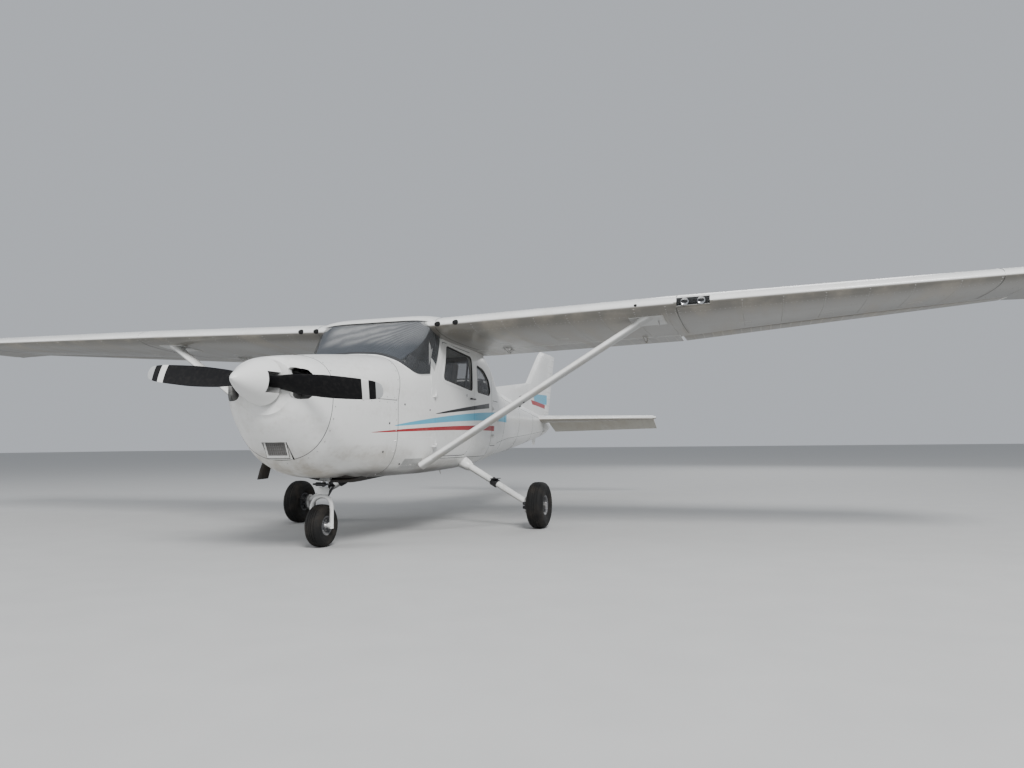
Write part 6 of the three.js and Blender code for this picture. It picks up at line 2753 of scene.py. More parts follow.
@dataclass
class Trim:
    """Seams, covers, handles, lamps, aerials and other small things on the skin."""

    fitter: Fitter
    seam: float = 0.17
    lamp_span: tuple[float, float] = (104.4, 114.6)
    lamp_wrap: tuple[float, float] = (-0.135, 0.13)
    lamp_columns: int = 9
    lamp_rows: int = 15
    lamp_back: tuple[float, float] = (0.03, -0.05)
    lamp_cover: tuple[float, float] = (0.46, 0.4)
    outlet_span: tuple[float, float] = (-1.0, 27.0)
    outlet_half: float = 10.5
    outlet_drop: float = 1.7
    outlet_columns: int = 17
    outlet_rows: int = 13
    bowl_joint: float = -27.5
    deck_joint: float = 4.6
    cowl_split: float = 44.6
    chine: float = 25.8
    hoops: tuple[float, ...] = (94.2, 124.0, 160.0, 196.0, 229.0)
    stringers: tuple[float, ...] = (0.42, math.pi - 0.42, -0.55, math.pi + 0.55)
    wing_joints: tuple[float, ...] = (23.0, 104.25, 194.75)
    wing_hatches: tuple[float, ...] = (38.0, 60.0, 82.0, 124.0, 150.0, 176.0)
    hatch_radius: float = 2.1
    filler: tuple[float, float] = (46.0, 0.28)
    filler_rows: tuple[tuple[float, float], ...] = ((1.9, 0.12), (1.3, 0.34))
    handle_rows: tuple[tuple[float, float], ...] = (
        (0.1, 62.2), (0.75, 62.5), (0.8, 64.4), (0.7, 66.3), (0.2, 66.5)
    )
    handle_height: float = 48.1
    handle_radius: float = 0.34
    lock: tuple[float, float] = (58.8, 49.2)
    latch: tuple[float, float] = (107.2, 41.0)
    oil_door: tuple[Point, ...] = ((-13.5, -16, 0.8), (-7.5, -16, 0.8), (-7.5, -8, 0.8), (-13.5, -8, 0.8))
    nose_hatch: Point = (16.2, 12.8, 58.0)
    strut_plate: tuple[Point, ...] = ((88.5, 0.10, 0), (99.5, 0.10, 0), (99.5, 0.29, 0), (88.5, 0.29, 0))
    foot_panel: tuple[tuple[float, float], ...] = ((11.0, 22.6), (22.0, 22.6), (23.0, 26.2), (11.4, 26.2))
    tie_down: tuple[float, float] = (97.5, 0.2)
    tie_radius: float = 0.75
    hinges: tuple[float, float] = (31.4, 48.3)
    hinge_plates: tuple[Point, ...] = ((26.2, 28.2, 0.9), (29.8, 31.8, 0.9), (26.8, 27.6, 1.7))
    side_fasteners: tuple[tuple[float, float], ...] = (
        (-1.8, 28.6), (-0.2, 37.3), (8.6, 43.5), (25.2, 42.3), (10.0, 24.6)
    )
    strut_bolts: tuple[tuple[float, float], ...] = ((0.425, 0.9), (0.45, -1.1), (0.955, 0.0))
    landing_lights: tuple[float, float] = (107.0, 112.0)
    tip_lamp: Point = (214.3, 38.4, 75.6)
    tail_lamp: Point = (0, 252.6, 43.6)
    air_holes: tuple[Point, ...] = (
        (23.9, 1.1, 1), (30.5, 1.1, 1), (91.75, 0.5, 1), (23.7, 1.1, -1), (30.0, 1.1, -1)
    )

    def build(self) -> None:
        """Makes the small pieces of the skin."""
        self._fuselage_seams()
        self._wing_seams()
        self._doors()
        self._nose()
        self._strut_fittings()
        self._lamps()
        self._leading_edge()
        self._aerials()

    def _lines(self, name: str, shapes: Iterable[Shape], body: Body = Body.AIRFRAME) -> None:
        """Adds dark seams as one piece.

        Args:
            name: The piece's name.
            shapes: The seams.
            body: The body that they ride on.
        """
        self.fitter.add(name, joined(shapes), "dark_seal", body, "trim", 50)

    def _fuselage_seams(self) -> None:
        """Makes the lines where the cowl and the fuselage's sheets meet."""
        shapes = []
        bowl = [FORE.ring(self.bowl_joint, turn) for turn in full_turn(96)]
        shapes.append(ribbon(FORE, np.array(bowl), self.seam, closed=True))
        arch = deck_arch(self.deck_joint)
        shapes += [ribbon(FORE, arch * np.array([s, 1, 1]), self.seam) for _, s in SIDES]
        for _, side in SIDES:
            shapes.append(ribbon(FORE, level_line(FORE, side, self.cowl_split, -27.3, 4.0, 24), self.seam))
            shapes.append(ribbon(AFT, level_line(AFT, side, self.chine, 28.0, 94.0, 40), self.seam))
        self._lines("cowl_and_belly_seams", shapes)
        shapes = []
        for station in self.hoops:
            hoop = [AFT.ring(station, turn) for turn in full_turn(72)]
            shapes.append(ribbon(AFT, np.array(hoop), self.seam * 0.7, closed=True))
        for turn in self.stringers:
            stringer = [AFT.ring(s, turn) for s in np.linspace(112, 236, 50)]
            shapes.append(ribbon(AFT, np.array(stringer), self.seam * 0.7))
        self._lines("tail_cone_seams", shapes)

    def _wing_seams(self) -> None:
        """Makes the joints across the wings' skins and the covers under them."""
        for name, side in SIDES:
            shapes, covers = [], []
            for x in self.wing_joints:
                us = np.linspace(-0.82, 0.82, 60)
                shapes.append(ribbon(WING, np.array([WING.place(x, u * u, u > 0) for u in us]), self.seam))
            for x in self.wing_hatches:
                ring = flat_ring(WING.place(x, 0.52, False), self.hatch_radius, self.hatch_radius, 28)
                covers.append(plate(WING, ring, -0.05, 0.07))
            self._lines(f"wing_seams_{name}", [shape.on(side) for shape in shapes])
            for reach, high in self.filler_rows:
                ring = flat_ring(WING.place(*self.filler, True), reach, reach, 32)
                covers.append(plate(WING, ring, -0.05, high))
            covers = joined(covers).on(side)
            self.fitter.add(f"wing_covers_{name}", covers, "wing_paint", Body.AIRFRAME, "white_paint", 30)

    def _doors(self) -> None:
        """Makes the handles, locks and hinge plates of the three doors."""
        for name, side in SIDES:
            door = Body(f"door_{name}")
            x = AFT.side(66.0, 48.0)
            path = np.array([(x + out, station, self.handle_height) for out, station in self.handle_rows])
            handle = tube(spaced(path, 0.3, False), self.handle_radius, 12)
            self.fitter.add(f"door_handle_{name}", handle.on(side), "black_enamel", door, "black_paint", 50)
            face = [(0.0, -0.1), (0.62, -0.1), (0.62, 0.16), (0.5, 0.2), (0.0, 0.2)]
            lock = lathe(face, (x, *self.lock), X_AXIS, 24)
            self.fitter.add(f"door_lock_{name}", lock.on(side), "bare_steel", door, "metal", 30)
            plates = []
            for z in self.hinges:
                for start, end, high in self.hinge_plates:
                    rows = [(start, z - high), (end, z - high), (end, z + high), (start, z + high)]
                    plates.append((plate(AFT, on_side(1.0)(np.array(rows)), -0.04, 0.1), start < 29))
            for fixed, body, part in ((True, Body.AIRFRAME, "frame"), (False, door, "door")):
                shape = joined(p for p, ahead in plates if ahead == fixed).on(side)
                self.fitter.add(
                    f"hinge_plates_{part}_{name}", shape, "fuselage_paint", body, "white_paint", 30
                )
        x = AFT.side(107.0, 40.0)
        latch = lathe([(0.0, -0.1), (0.7, -0.1), (0.7, 0.14), (0.0, 0.18)], (x, *self.latch), X_AXIS, 24)
        self.fitter.add("baggage_latch", latch, "bare_steel", Body.BAGGAGE_DOOR, "metal", 30)

    def _nose(self) -> None:
        """Makes the oil door and the round hatch with their seams, and the fasteners on the sides."""
        hatch = flat_ring(self.nose_hatch, 1.0, 1.3, 28)
        deck = np.array([(x, s, FORE.skin(x, s)) for x, s in rounded(self.oil_door)])
        covers = plate(FORE, hatch, -0.05, 0.08) + plate(FORE, deck, -0.05, 0.06)
        self.fitter.add("nose_covers", covers, "cowl_paint", Body.AIRFRAME, "white_paint", 30)
        rims = [
            ribbon(FORE, hatch, 0.12, high=0.09, closed=True),
            ribbon(FORE, deck, 0.12, high=0.07, closed=True),
        ]
        self._lines("nose_cover_seams", rims)
        head = [(0.0, -0.1), (0.36, -0.1), (0.3, 0.12), (0.0, 0.16)]
        dots = []
        for station, z in self.side_fasteners:
            dot = lathe(head, (FORE.side(station, z), station, z), X_AXIS, 12)
            dots += [dot.on(side) for _, side in SIDES]
        self.fitter.add("side_fasteners", joined(dots), "black_enamel", Body.AIRFRAME, "metal", 30)
        self._outlet()

    def _outlet(self) -> None:
        """Makes a black lip under the cowl behind its outlet, deepest near its front: painted shade of the
        outlet and under the cowl.
        """
        start, end = self.outlet_span
        sheets = []
        for lift in (0.0, 0.3):
            rings = []
            for share in np.linspace(0, 1, self.outlet_rows):
                station = start + share * (end - start)
                drop = self.outlet_drop * (1 - share) ** 0.8 * min(1.0, 0.35 + 4 * share)
                half = self.outlet_half * (1 - 0.4 * share)
                row = []
                for x in np.linspace(-half, half, self.outlet_columns):
                    low = FORE.skin(x, station, True) - drop * (1 - (x / half) ** 4)
                    row.append((x, station, low + lift))
                rings.append(np.array(row))
            sheets.append(loft(rings, around=False, caps=False))
        lip = closed_sheet(*sheets, self.outlet_columns, self.outlet_rows)
        self.fitter.add("cowl_outlet_and_shade", lip, "burnt_steel", Body.AIRFRAME, "exhaust", 40)

    def _strut_fittings(self) -> None:
        """Makes the struts' top plates, the grey patches at their feet and the fasteners that show on them.
        """
        for name, side in SIDES:
            head = np.array([WING.place(x, f, False) for x, f in rounded(self.strut_plate)])
            top = plate(WING, spaced(head, 0.8), -0.05, 0.14).on(side)
            self.fitter.add(f"strut_top_plate_{name}", top, "gear_paint", Body.AIRFRAME, "white_paint", 30)
            foot, end = np.array(Wings.strut_foot), np.array(Wings.strut_head)
            bolts = []
            for share, back in self.strut_bolts:
                spot = foot + share * (end - foot) + np.array([0.0, back, 0.0])
                bolts.append(drum(0.42, -1.3, 1.3, spot, (-0.54, 0, 0.85), 12))
            bolts = joined(bolts).on(side)
            self.fitter.add(f"strut_fasteners_{name}", bolts, "black_enamel", Body.AIRFRAME, "metal", 30)
            # A grey patch on the skin round each strut's foot, darker than the paint round it.
            recess = np.array([(FORE.side(s, z), s, z) for s, z in self.foot_panel])
            patch = plate(FORE, spaced(recess, 1.0), -0.05, 0.03).on(side)
            self.fitter.add(f"strut_foot_panel_{name}", patch, "cast_grey", Body.AIRFRAME, "metal", 30)

    def _nose_sheet(self, lifts: tuple[float, float]) -> Shape:
        """A thin shell round the wing's leading edge, over the span of the landing lights.

        Args:
            lifts: Inches off the skin of its two faces.

        Returns:
            The shell.
        """
        xs = np.linspace(*self.lamp_span, self.lamp_columns)
        faces = []
        for lift in lifts:
            rings = []
            for u in np.linspace(*self.lamp_wrap, self.lamp_rows):
                rings.append(lifted(WING, np.array([WING.place(x, u * u, u > 0) for x in xs]), lift))
            faces.append(loft(rings, around=False, caps=False))
        return closed_sheet(*faces, self.lamp_columns, self.lamp_rows)

    def _lamps(self) -> None:
        """Makes the landing lights in the left wing and the lamps at the tips, fin and tail."""
        x0, x1 = self.lamp_span
        # The bay's black back is painted shade inside the lamp's recess.
        back = self._nose_sheet(self.lamp_back)
        self.fitter.add("landing_light_bay", back, "opening_shade", Body.AIRFRAME, "black_paint", 40)
        bowl = [(0.0, 0.0), (0.7, -0.05), (1.1, -0.22), (1.22, -0.24), (1.22, 0.3), (0.0, 0.3)]
        bulb = [(0.0, -0.34), (0.4, -0.28), (0.42, 0.0), (0.0, 0.0)]
        bowls, bulbs = [], []
        for x in self.landing_lights:
            spot = WING.place(x, 0.0, True) + np.array([0.0, 0.15, -0.1])
            bowls.append(lathe(bowl, spot, Y_AXIS, 32))
            bulbs.append(lathe(bulb, spot, Y_AXIS, 16))
        self.fitter.add(
            "landing_light_reflectors", joined(bowls), "chromed_tube", Body.AIRFRAME, "metal", 40
        )
        self.fitter.add("landing_light_bulbs", joined(bulbs), "lamp_glass", Body.AIRFRAME, "glass", 40)
        glass = self._nose_sheet(self.lamp_cover)
        self.fitter.add("landing_light_glass", glass, "lamp_glass", Body.AIRFRAME, "glass", 40)
        us = np.linspace(*self.lamp_wrap, 16)
        edge = [WING.place(x0 - 0.4, u * u, u > 0) for u in us]
        edge += [WING.place(x, us[-1] ** 2, True) for x in np.linspace(x0, x1, 12)]
        edge += [WING.place(x1 + 0.4, u * u, u > 0) for u in us[::-1]]
        edge += [WING.place(x, us[0] ** 2, False) for x in np.linspace(x1, x0, 12)]
        rim = ribbon(WING, np.array(edge), 0.9, high=0.14, closed=True)
        self.fitter.add("landing_light_rim", rim, "wing_paint", Body.AIRFRAME, "white_paint", 40)
        dome = [(0.0, -1.1), (0.5, -1.0), (0.78, -0.6), (0.82, 0.3), (0.0, 0.3)]
        for name, side in SIDES:
            tip = lathe(dome, self.tip_lamp, (-0.35, 0.94, 0), 20).on(side)
            finish = "red_lens" if side > 0 else "green_lens"
            self.fitter.add(f"tip_lamp_{name}", tip, finish, Body.AIRFRAME, "glass", 50)
        tail = lathe(
            [(0.0, 1.2), (0.5, 1.1), (0.75, 0.7), (0.8, 0.0), (0.0, 0.0)], self.tail_lamp, Y_AXIS, 20
        )
        self.fitter.add("tail_lamp", tail, "white_plastic", Body.AIRFRAME, "glass", 50)

    def _leading_edge(self) -> None:
        """Makes the cabin air holes in the wings' leading edges, as black plugs that are painted shade inside
        the holes.
        """
        holes = []
        rows = ((0.3, -0.3), (1.0, -0.3), (1.0, 0.06), (0.6, 0.06), (0.2, 0.06))
        for x, reach, side in self.air_holes:
            loops = []
            for share, lift in rows:
                ring = []
                for t in full_turn(24):
                    u = 0.075 * reach * share * math.sin(t)
                    spot = WING.place(x + reach * share * math.cos(t), u * u, u > 0)
                    ring.append(spot - np.array([0.0, lift, 0.0]))
                loops.append(np.array(ring))
            holes.append(loft(loops).on(side))
        self.fitter.add(
            "leading_edge_holes", joined(holes), "opening_shade", Body.AIRFRAME, "black_paint", 40
        )

    def _aerials(self) -> None:
        """Makes the aerials on the roof and belly, the drain pipes and the tie-down rings under the wings."""
        foot = WING.place(21.2, 0.5, True)[2]
        whips = []
        for x in (-8.0, 8.0):
            path = [(x, 62.0, foot - 1.0), (x, 62.3, foot + 0.8), (x, 66.5, foot + 6.0)]
            whips.append(tube(path, [0.45, 0.2, 0.08], 12))
        belly = AFT.skin(0.0, 84.0, True)
        path = [(0.0, 83.0, belly + 0.3), (0.0, 83.6, belly - 1.4), (0.0, 84.4, belly - 3.0)]
        whips.append(tube(path, [0.5, 0.3, 0.12], 12))
        whips.append(tube([(-5.0, 38.0, 20.9), (-5.0, 38.4, 19.4)], 0.25, 12))
        self.fitter.add("aerials", joined(whips), "white_plastic", Body.AIRFRAME, "trim", 40)
        spot, reach = WING.place(*self.tie_down, False), self.tie_radius
        turns = np.linspace(0, 2 * math.pi, 21)
        eye = [spot + np.array([0.0, reach * math.cos(t), -reach + reach * math.sin(t)]) for t in turns]
        rings = joined(tube(eye, 0.13, 8).on(side) for _, side in SIDES)
        self.fitter.add("tie_down_rings", rings, "bare_steel", Body.AIRFRAME, "metal", 40)


class Fasteners:
    """Rows of rivets and screws, spread over each body by one node tree."""

    sides = 7
    seed = 5
    lift_share = 0.7

    def __init__(self, fitter: Fitter) -> None:
        """Makes the node tree that puts a head on each point.

        Args:
            fitter: Makes the pieces.
        """
        self.fitter = fitter
        self.rows: dict[tuple[str, str, str, float], list[tuple[np.ndarray, np.ndarray]]] = {}
        self.tree = self._tree()

    def _tree(self) -> bpy.types.NodeTree:
        """A tree that sets a low head on each point, turned to its attribute named way.

        Returns:
            The tree, with inputs for the head's radius and rise, the seed and the finish.
        """
        tree = bpy.data.node_groups.new("fastener_heads", "GeometryNodeTree")
        tree.interface.new_socket("Geometry", in_out="INPUT", socket_type="NodeSocketGeometry")
        self.radius, self.rise, self.chance, self.finish = (
            tree.interface.new_socket(name, in_out="INPUT", socket_type=f"NodeSocket{kind}").identifier
            for name, kind in (
                ("Radius", "Float"), ("Rise", "Float"), ("Seed", "Int"), ("Finish", "Material")
            )
        )
        tree.interface.new_socket("Geometry", in_out="OUTPUT", socket_type="NodeSocketGeometry")
        nodes, link = tree.nodes, tree.links.new
        start, end = nodes.new("NodeGroupInput"), nodes.new("NodeGroupOutput")
        head = nodes.new("GeometryNodeMeshCone")
        head.inputs["Vertices"].default_value = self.sides
        head.inputs["Radius Top"].default_value = 0.6
        head.inputs["Radius Bottom"].default_value = 1.0
        head.inputs["Depth"].default_value = 1.0
        way = nodes.new("GeometryNodeInputNamedAttribute")
        way.data_type = "FLOAT_VECTOR"
        way.inputs["Name"].default_value = "way"
        turn = nodes.new("FunctionNodeAlignRotationToVector")
        turn.axis = "Z"
        link(way.outputs["Attribute"], turn.inputs["Vector"])
        vary = nodes.new("FunctionNodeRandomValue")
        vary.data_type = "FLOAT"
        vary.inputs[2].default_value = 0.9
        vary.inputs[3].default_value = 1.1
        link(start.outputs["Seed"], vary.inputs["Seed"])
        width = nodes.new("ShaderNodeMath")
        width.operation = "MULTIPLY"
        link(start.outputs["Radius"], width.inputs[0])
        link(vary.outputs[1], width.inputs[1])
        size = nodes.new("ShaderNodeCombineXYZ")
        link(width.outputs[0], size.inputs[0])
        link(width.outputs[0], size.inputs[1])
        link(start.outputs["Rise"], size.inputs[2])
        spread = nodes.new("GeometryNodeInstanceOnPoints")
        link(start.outputs["Geometry"], spread.inputs["Points"])
        link(head.outputs["Mesh"], spread.inputs["Instance"])
        link(turn.outputs["Rotation"], spread.inputs["Rotation"])
        link(size.outputs[0], spread.inputs["Scale"])
        real = nodes.new("GeometryNodeRealizeInstances")
        paint = nodes.new("GeometryNodeSetMaterial")
        link(spread.outputs["Instances"], real.inputs["Geometry"])
        link(real.outputs["Geometry"], paint.inputs["Geometry"])
        link(start.outputs["Finish"], paint.inputs["Material"])
        link(paint.outputs["Geometry"], end.inputs["Geometry"])
        return tree

    def row(
        self,
        group: str,
        form: Form,
        path: Sequence[Sequence[float]],
        body: Body = Body.AIRFRAME,
        finish: str = "fuselage_paint",
        pitch: float = 1.5,
        radius: float = 0.14,
        closed: bool = False,
        keep: Optional[Callable[[np.ndarray], np.ndarray]] = None,
    ) -> None:
        """Adds a row of heads.

        Args:
            group: The name of the piece that the row belongs to.
            form: The form that the row lies on.
            path: Points that the row follows.
            body: The body that it rides on.
            finish: Its finish.
            pitch: Inches from head to head.
            radius: A head's radius in inches.
            closed: Whether the row ends where it starts.
            keep: Says which of the points get a head.
        """
        points = form.project(spaced(np.asarray(path, float), pitch, closed))
        if keep is not None:
            points = points[keep(points)]
        if len(points):
            rows = self.rows.setdefault((group, body, finish, radius), [])
            rows.append((points, form.normals(points)))

    def build(self) -> None:
        """Spreads the heads and makes one plain mesh for each group."""
        for (group, body, finish, radius), rows in self.rows.items():
            points = np.vstack([p for p, _ in rows])
            ways = np.vstack([w for _, w in rows])
            made = self.fitter.object(f"{group}_points", points, [], [])
            mesh = made.data
            attribute = mesh.attributes.new("way", "FLOAT_VECTOR", "POINT")
            attribute.data.foreach_set("vector", ways.astype(np.float32).ravel())
            spreading = made.modifiers.new("heads", "NODES")
            spreading.node_group = self.tree
            spreading[self.radius] = radius * INCH
            spreading[self.rise] = radius * self.lift_share * INCH
            spreading[self.chance] = self.seed
            spreading[self.finish] = self.fitter.palette[finish]
            depsgraph = bpy.context.evaluated_depsgraph_get()
            whole = bpy.data.meshes.new_from_object(made.evaluated_get(depsgraph))
            bpy.data.objects.remove(made)
            whole.name = group
            whole.shade_smooth()
            whole.set_sharp_from_angle(angle=math.radians(30))
            heads = bpy.data.objects.new(group, whole)
            bpy.context.scene.collection.objects.link(heads)
            self.fitter.fix(heads, body, "metal" if finish == "bare_steel" else "white_paint")


@dataclass
class Riveting:
    """Where the aircraft's rivets and screws are."""

    fitter: Fitter
    hoops: tuple[float, ...] = (
        95.0, 111.5, 123.4, 124.6, 142.0, 159.4, 160.6, 178.0, 195.4, 196.6, 212.0, 228.6, 240.0
    )
    ribs: tuple[float, ...] = (
        36.0, 47.0, 58.0, 69.0, 80.0, 91.0, 100.9, 103.7, 104.8, 124.0, 136.0, 148.0, 160.0, 172.0, 184.0,
        194.2, 203.0
    )
    stringers: tuple[float, ...] = (0.38, 0.46, -0.51, -0.59, 1.15, -1.15, 1.62, -1.62)
    sills: tuple[float, ...] = (25.2, 26.4)
    posts: tuple[float, ...] = (69.3, 94.9)
    spars: tuple[float, ...] = (0.085, 0.30, 0.665)
    tail_ribs: tuple[float, ...] = (9.0, 20.0, 31.0, 42.0, 53.0, 64.5)
    fin_ribs: tuple[float, ...] = (58.0, 66.0, 74.0, 82.5)

    def build(self) -> None:
        """Makes every row."""
        self.heads = Fasteners(self.fitter)
        self._fuselage()
        self._cowl()
        for name, side in SIDES:
            self._wing(name, side)
        self._tail()
        self.heads.build()

    def _fuselage(self) -> None:
        """Adds the rows of the cabin and the tail cone."""
        around = full_turn(90)

        def clear(points: np.ndarray) -> np.ndarray:
            """Whether points lie off the baggage door, the rear window and the wing.

            Args:
                points: The points.

            Returns:
                True for each point that gets a head.
            """
            x, station, z = points.T
            hatch = (x > 0) & (station < 110.3) & (z > 29.2) & (z < 50.0)
            glass = (station < 112) & (z > 58)
            return ~(hatch | glass)

        for station in self.hoops:
            self.heads.row(
                "tail_cone_rivets", AFT, [AFT.ring(station, t) for t in around], closed=True, keep=clear
            )
        for turn in self.stringers:
            for angle in (turn, math.pi - turn):
                path = [AFT.ring(s, angle) for s in np.linspace(112.5, 238, 40)]
                self.heads.row("tail_cone_rivets", AFT, path, keep=clear)
        for name, side in SIDES:
            door = Body(f"door_{name}")
            placed = on_side(side)
            shut = spaced(rounded(DOOR, 6), 1.0)
            frame_row, door_row = placed(offset(shut, 1.0)), placed(offset(shut, -1.0))
            self.heads.row(
                f"cabin_rivets_{name}", AFT, frame_row, closed=True, keep=lambda p: p[:, 1] > 30.5
            )
            self.heads.row(f"door_rivets_{name}", AFT, door_row, door, closed=True)
            glass = placed(offset(spaced(rounded(DOOR_WINDOW, 6), 1.0), 0.55))
            self.heads.row(f"window_screws_{name}", AFT, glass, door, "bare_steel", 3.0, 0.13, True)
            for z in self.sills:
                path = placed(np.array([(s, z) for s in np.linspace(27, 94, 30)]))
                self.heads.row(f"cabin_rivets_{name}", AFT, path, keep=lambda p: p[:, 2] < 26.0)
            for s in self.posts:
                path = placed(np.array([(s, z) for z in np.linspace(23.5, 49.5, 20)]))
                self.heads.row(f"cabin_rivets_{name}", AFT, path)
        hatch = spaced(rounded(BAGGAGE, 6), 1.0)
        self.heads.row(
            "baggage_rivets", AFT, on_side(1.0)(offset(hatch, -0.9)), Body.BAGGAGE_DOOR, closed=True
        )

    def _cowl(self) -> None:
        """Adds the screws and rivets of the cowl and the deck."""
        bowl = [FORE.ring(-26.5, turn) for turn in full_turn(80)]
        steel = {"finish": "bare_steel", "radius": 0.2}
        self.heads.row("cowl_screws", FORE, bowl, pitch=3.4, closed=True, **steel)
        arch = deck_arch(3.6)
        for _, side in SIDES:
            turn = np.array([side, 1, 1])
            self.heads.row("cowl_screws", FORE, arch * turn, pitch=3.2, **steel)
            self.heads.row("deck_rivets", FORE, (arch + np.array([0, 2.1, 0])) * turn, pitch=1.4)
            for z in (43.8, 45.4):
                path = level_line(FORE, side, z, -26, 2.6, 20)
                self.heads.row("cowl_screws", FORE, path, finish="bare_steel", pitch=4.2, radius=0.18)
            for z in (24.0, 33.0):
                self.heads.row("deck_rivets", FORE, level_line(FORE, side, z, 6.5, 26.0, 12), pitch=1.4)

    def _wing(self, name: str, side: float) -> None:
        """Adds the rows of ribs and spars on one wing.

        Args:
            name: The side's name.
            side: 1.0 on the left, -1.0 on the right.
        """
        group = f"wing_rivets_{name}"
        turn = np.array([side, 1, 1])
        for upper in (True, False):
            for x in self.ribs:
                path = [WING.place(x, f, upper) for f in np.linspace(0.012, 0.66, 24)]
                keep = None if x < 103 or x > 115 or side < 0 else (lambda p: p[:, 1] > 29.0)
                self.heads.row(group, WING, np.array(path) * turn, finish="wing_paint", keep=keep)
            for f in self.spars:
                path = [WING.place(x, f, upper) for x in np.linspace(24, 203, 60)]
                self.heads.row(group, WING, np.array(path) * turn, finish="wing_paint")

    def _tail(self) -> None:
        """Adds the rows of the stabiliser and the fin."""
        level = TailForm(Tail.stabiliser_rows, upright=False, plane=Tail.level)
        upright = TailForm(Tail.fin_rows, upright=True)
        spans, fronts, rears = np.array(Tail.fin_rows).T[:3]
        for way in (1, -1):
            for _, side in SIDES:
                for x in self.tail_ribs:
                    rows = [
                        (side * x, 217.5 + 0.29 * x + t * (20.5 - 0.29 * x), Tail.level + way)
                        for t in np.linspace(0, 1, 10)
                    ]
                    self.heads.row("stabiliser_rivets", level, rows, finish="stabiliser_paint")
                for start, slope in ((219.0, 0.28), (237.8, 0.0)):
                    rows = [(side * x, start + slope * x, Tail.level + way) for x in np.linspace(7, 67, 20)]
                    self.heads.row("stabiliser_rivets", level, rows, finish="stabiliser_paint")
            for z in self.fin_ribs:
                front = float(np.interp(z, spans, fronts)) + 1.5
                rear = float(np.interp(z, spans, rears)) - 1.2
                rows = [(way * 1.0, front + t * (rear - front), z) for t in np.linspace(0, 1, 10)]
                self.heads.row("fin_rivets", upright, rows, finish="tail_paint")
            rows = [(way * 1.0, 240.1 + (z - 46) * 0.44 - 1.4, z) for z in np.linspace(52, 84, 12)]
            self.heads.row("fin_rivets", upright, rows, finish="tail_paint")


@dataclass
class CabinTop:
    """The crowned cover between the wings, and the creased sunshade inside the windshield."""

    fitter: Fitter
    half: float = 21.6
    crown: float = 1.2
    front: float = 27.1
    back: float = 72.0
    columns: int = 25
    rows: int = 19
    seed: int = 11
    sheet_columns: int = 81
    sheet_rows: int = 33
    sheet_rise: tuple[float, float] = (0.03, 0.965)
    sheet_start: float = -0.93
    sheet_end: tuple[float, float] = (0.50, 0.34)
    sheet_gap: float = 0.45
    folds: int = 11
    dent: float = 0.03
    ripple: float = 0.06

    def build(self) -> None:
        """Makes the cover and the sunshade."""
        over, under = (self._cover(lift) for lift in (0.0, -0.35))
        cover = closed_sheet(over, under, self.columns, self.rows)
        self.fitter.add("cabin_top_cover", cover, "wing_paint", Body.AIRFRAME, "white_paint", 50)
        self._sunshade()

    def _cover(self, lift: float) -> Shape:
        """Shapes the cover, raised over the wing's upper skin by its crown.

        Args:
            lift: Inches by which this sheet is moved up.

        Returns:
            The sheet.
        """
        rings = []
        for t in np.linspace(0, 1, self.rows) ** 1.4:
            station = self.front + t * (self.back - self.front)
            top = WING.place(WING.root, (station - WING.leading[0]) / WING.chords[0], True)[2]
            rise = self.crown * (1 - t**3)
            row = []
            for x in np.linspace(-self.half, self.half, self.columns):
                row.append((x, station, top + 0.06 + rise * (1 - abs(x / self.half) ** 6) + lift))
            rings.append(np.array(row))
        return loft(rings, around=False, caps=False)

    def _sunshade(self) -> None:
        """Makes the silvery sheet inside the windshield, with its folds and small creases."""
        shield = Windshield(self.fitter)
        rng = np.random.default_rng(self.seed)
        columns, rows = self.sheet_columns, self.sheet_rows
        dents = rng.normal(0.0, 1.0, (14, 10))
        rings = []
        for j in range(rows):
            up = self.sheet_rise[0] + self.sheet_rise[1] * j / (rows - 1)
            end = self.sheet_end[0] + self.sheet_end[1] * up
            row = []
            for i in range(columns):
                share = self.sheet_start + (end - self.sheet_start) * i / (columns - 1)
                fold = abs((i / (columns - 1) * self.folds) % 2 - 1) * (0.75 - 0.6 * up)
                cell = dents[int(i / columns * 13), int(j / rows * 9)] * self.dent
                wave = self.ripple * math.sin(j * 0.3 + i * 0.35)
                row.append(shield.point(share, up, self.sheet_gap + fold + cell + wave))
            rings.append(np.array(row))
        sheet = loft(rings, around=False, caps=False)
        made = self.fitter.add("windshield_sunshade", sheet, "foil", Body.AIRFRAME, "trim", 25)
        thickness = made.modifiers.new("thickness", "SOLIDIFY")
        thickness.thickness = 0.0008


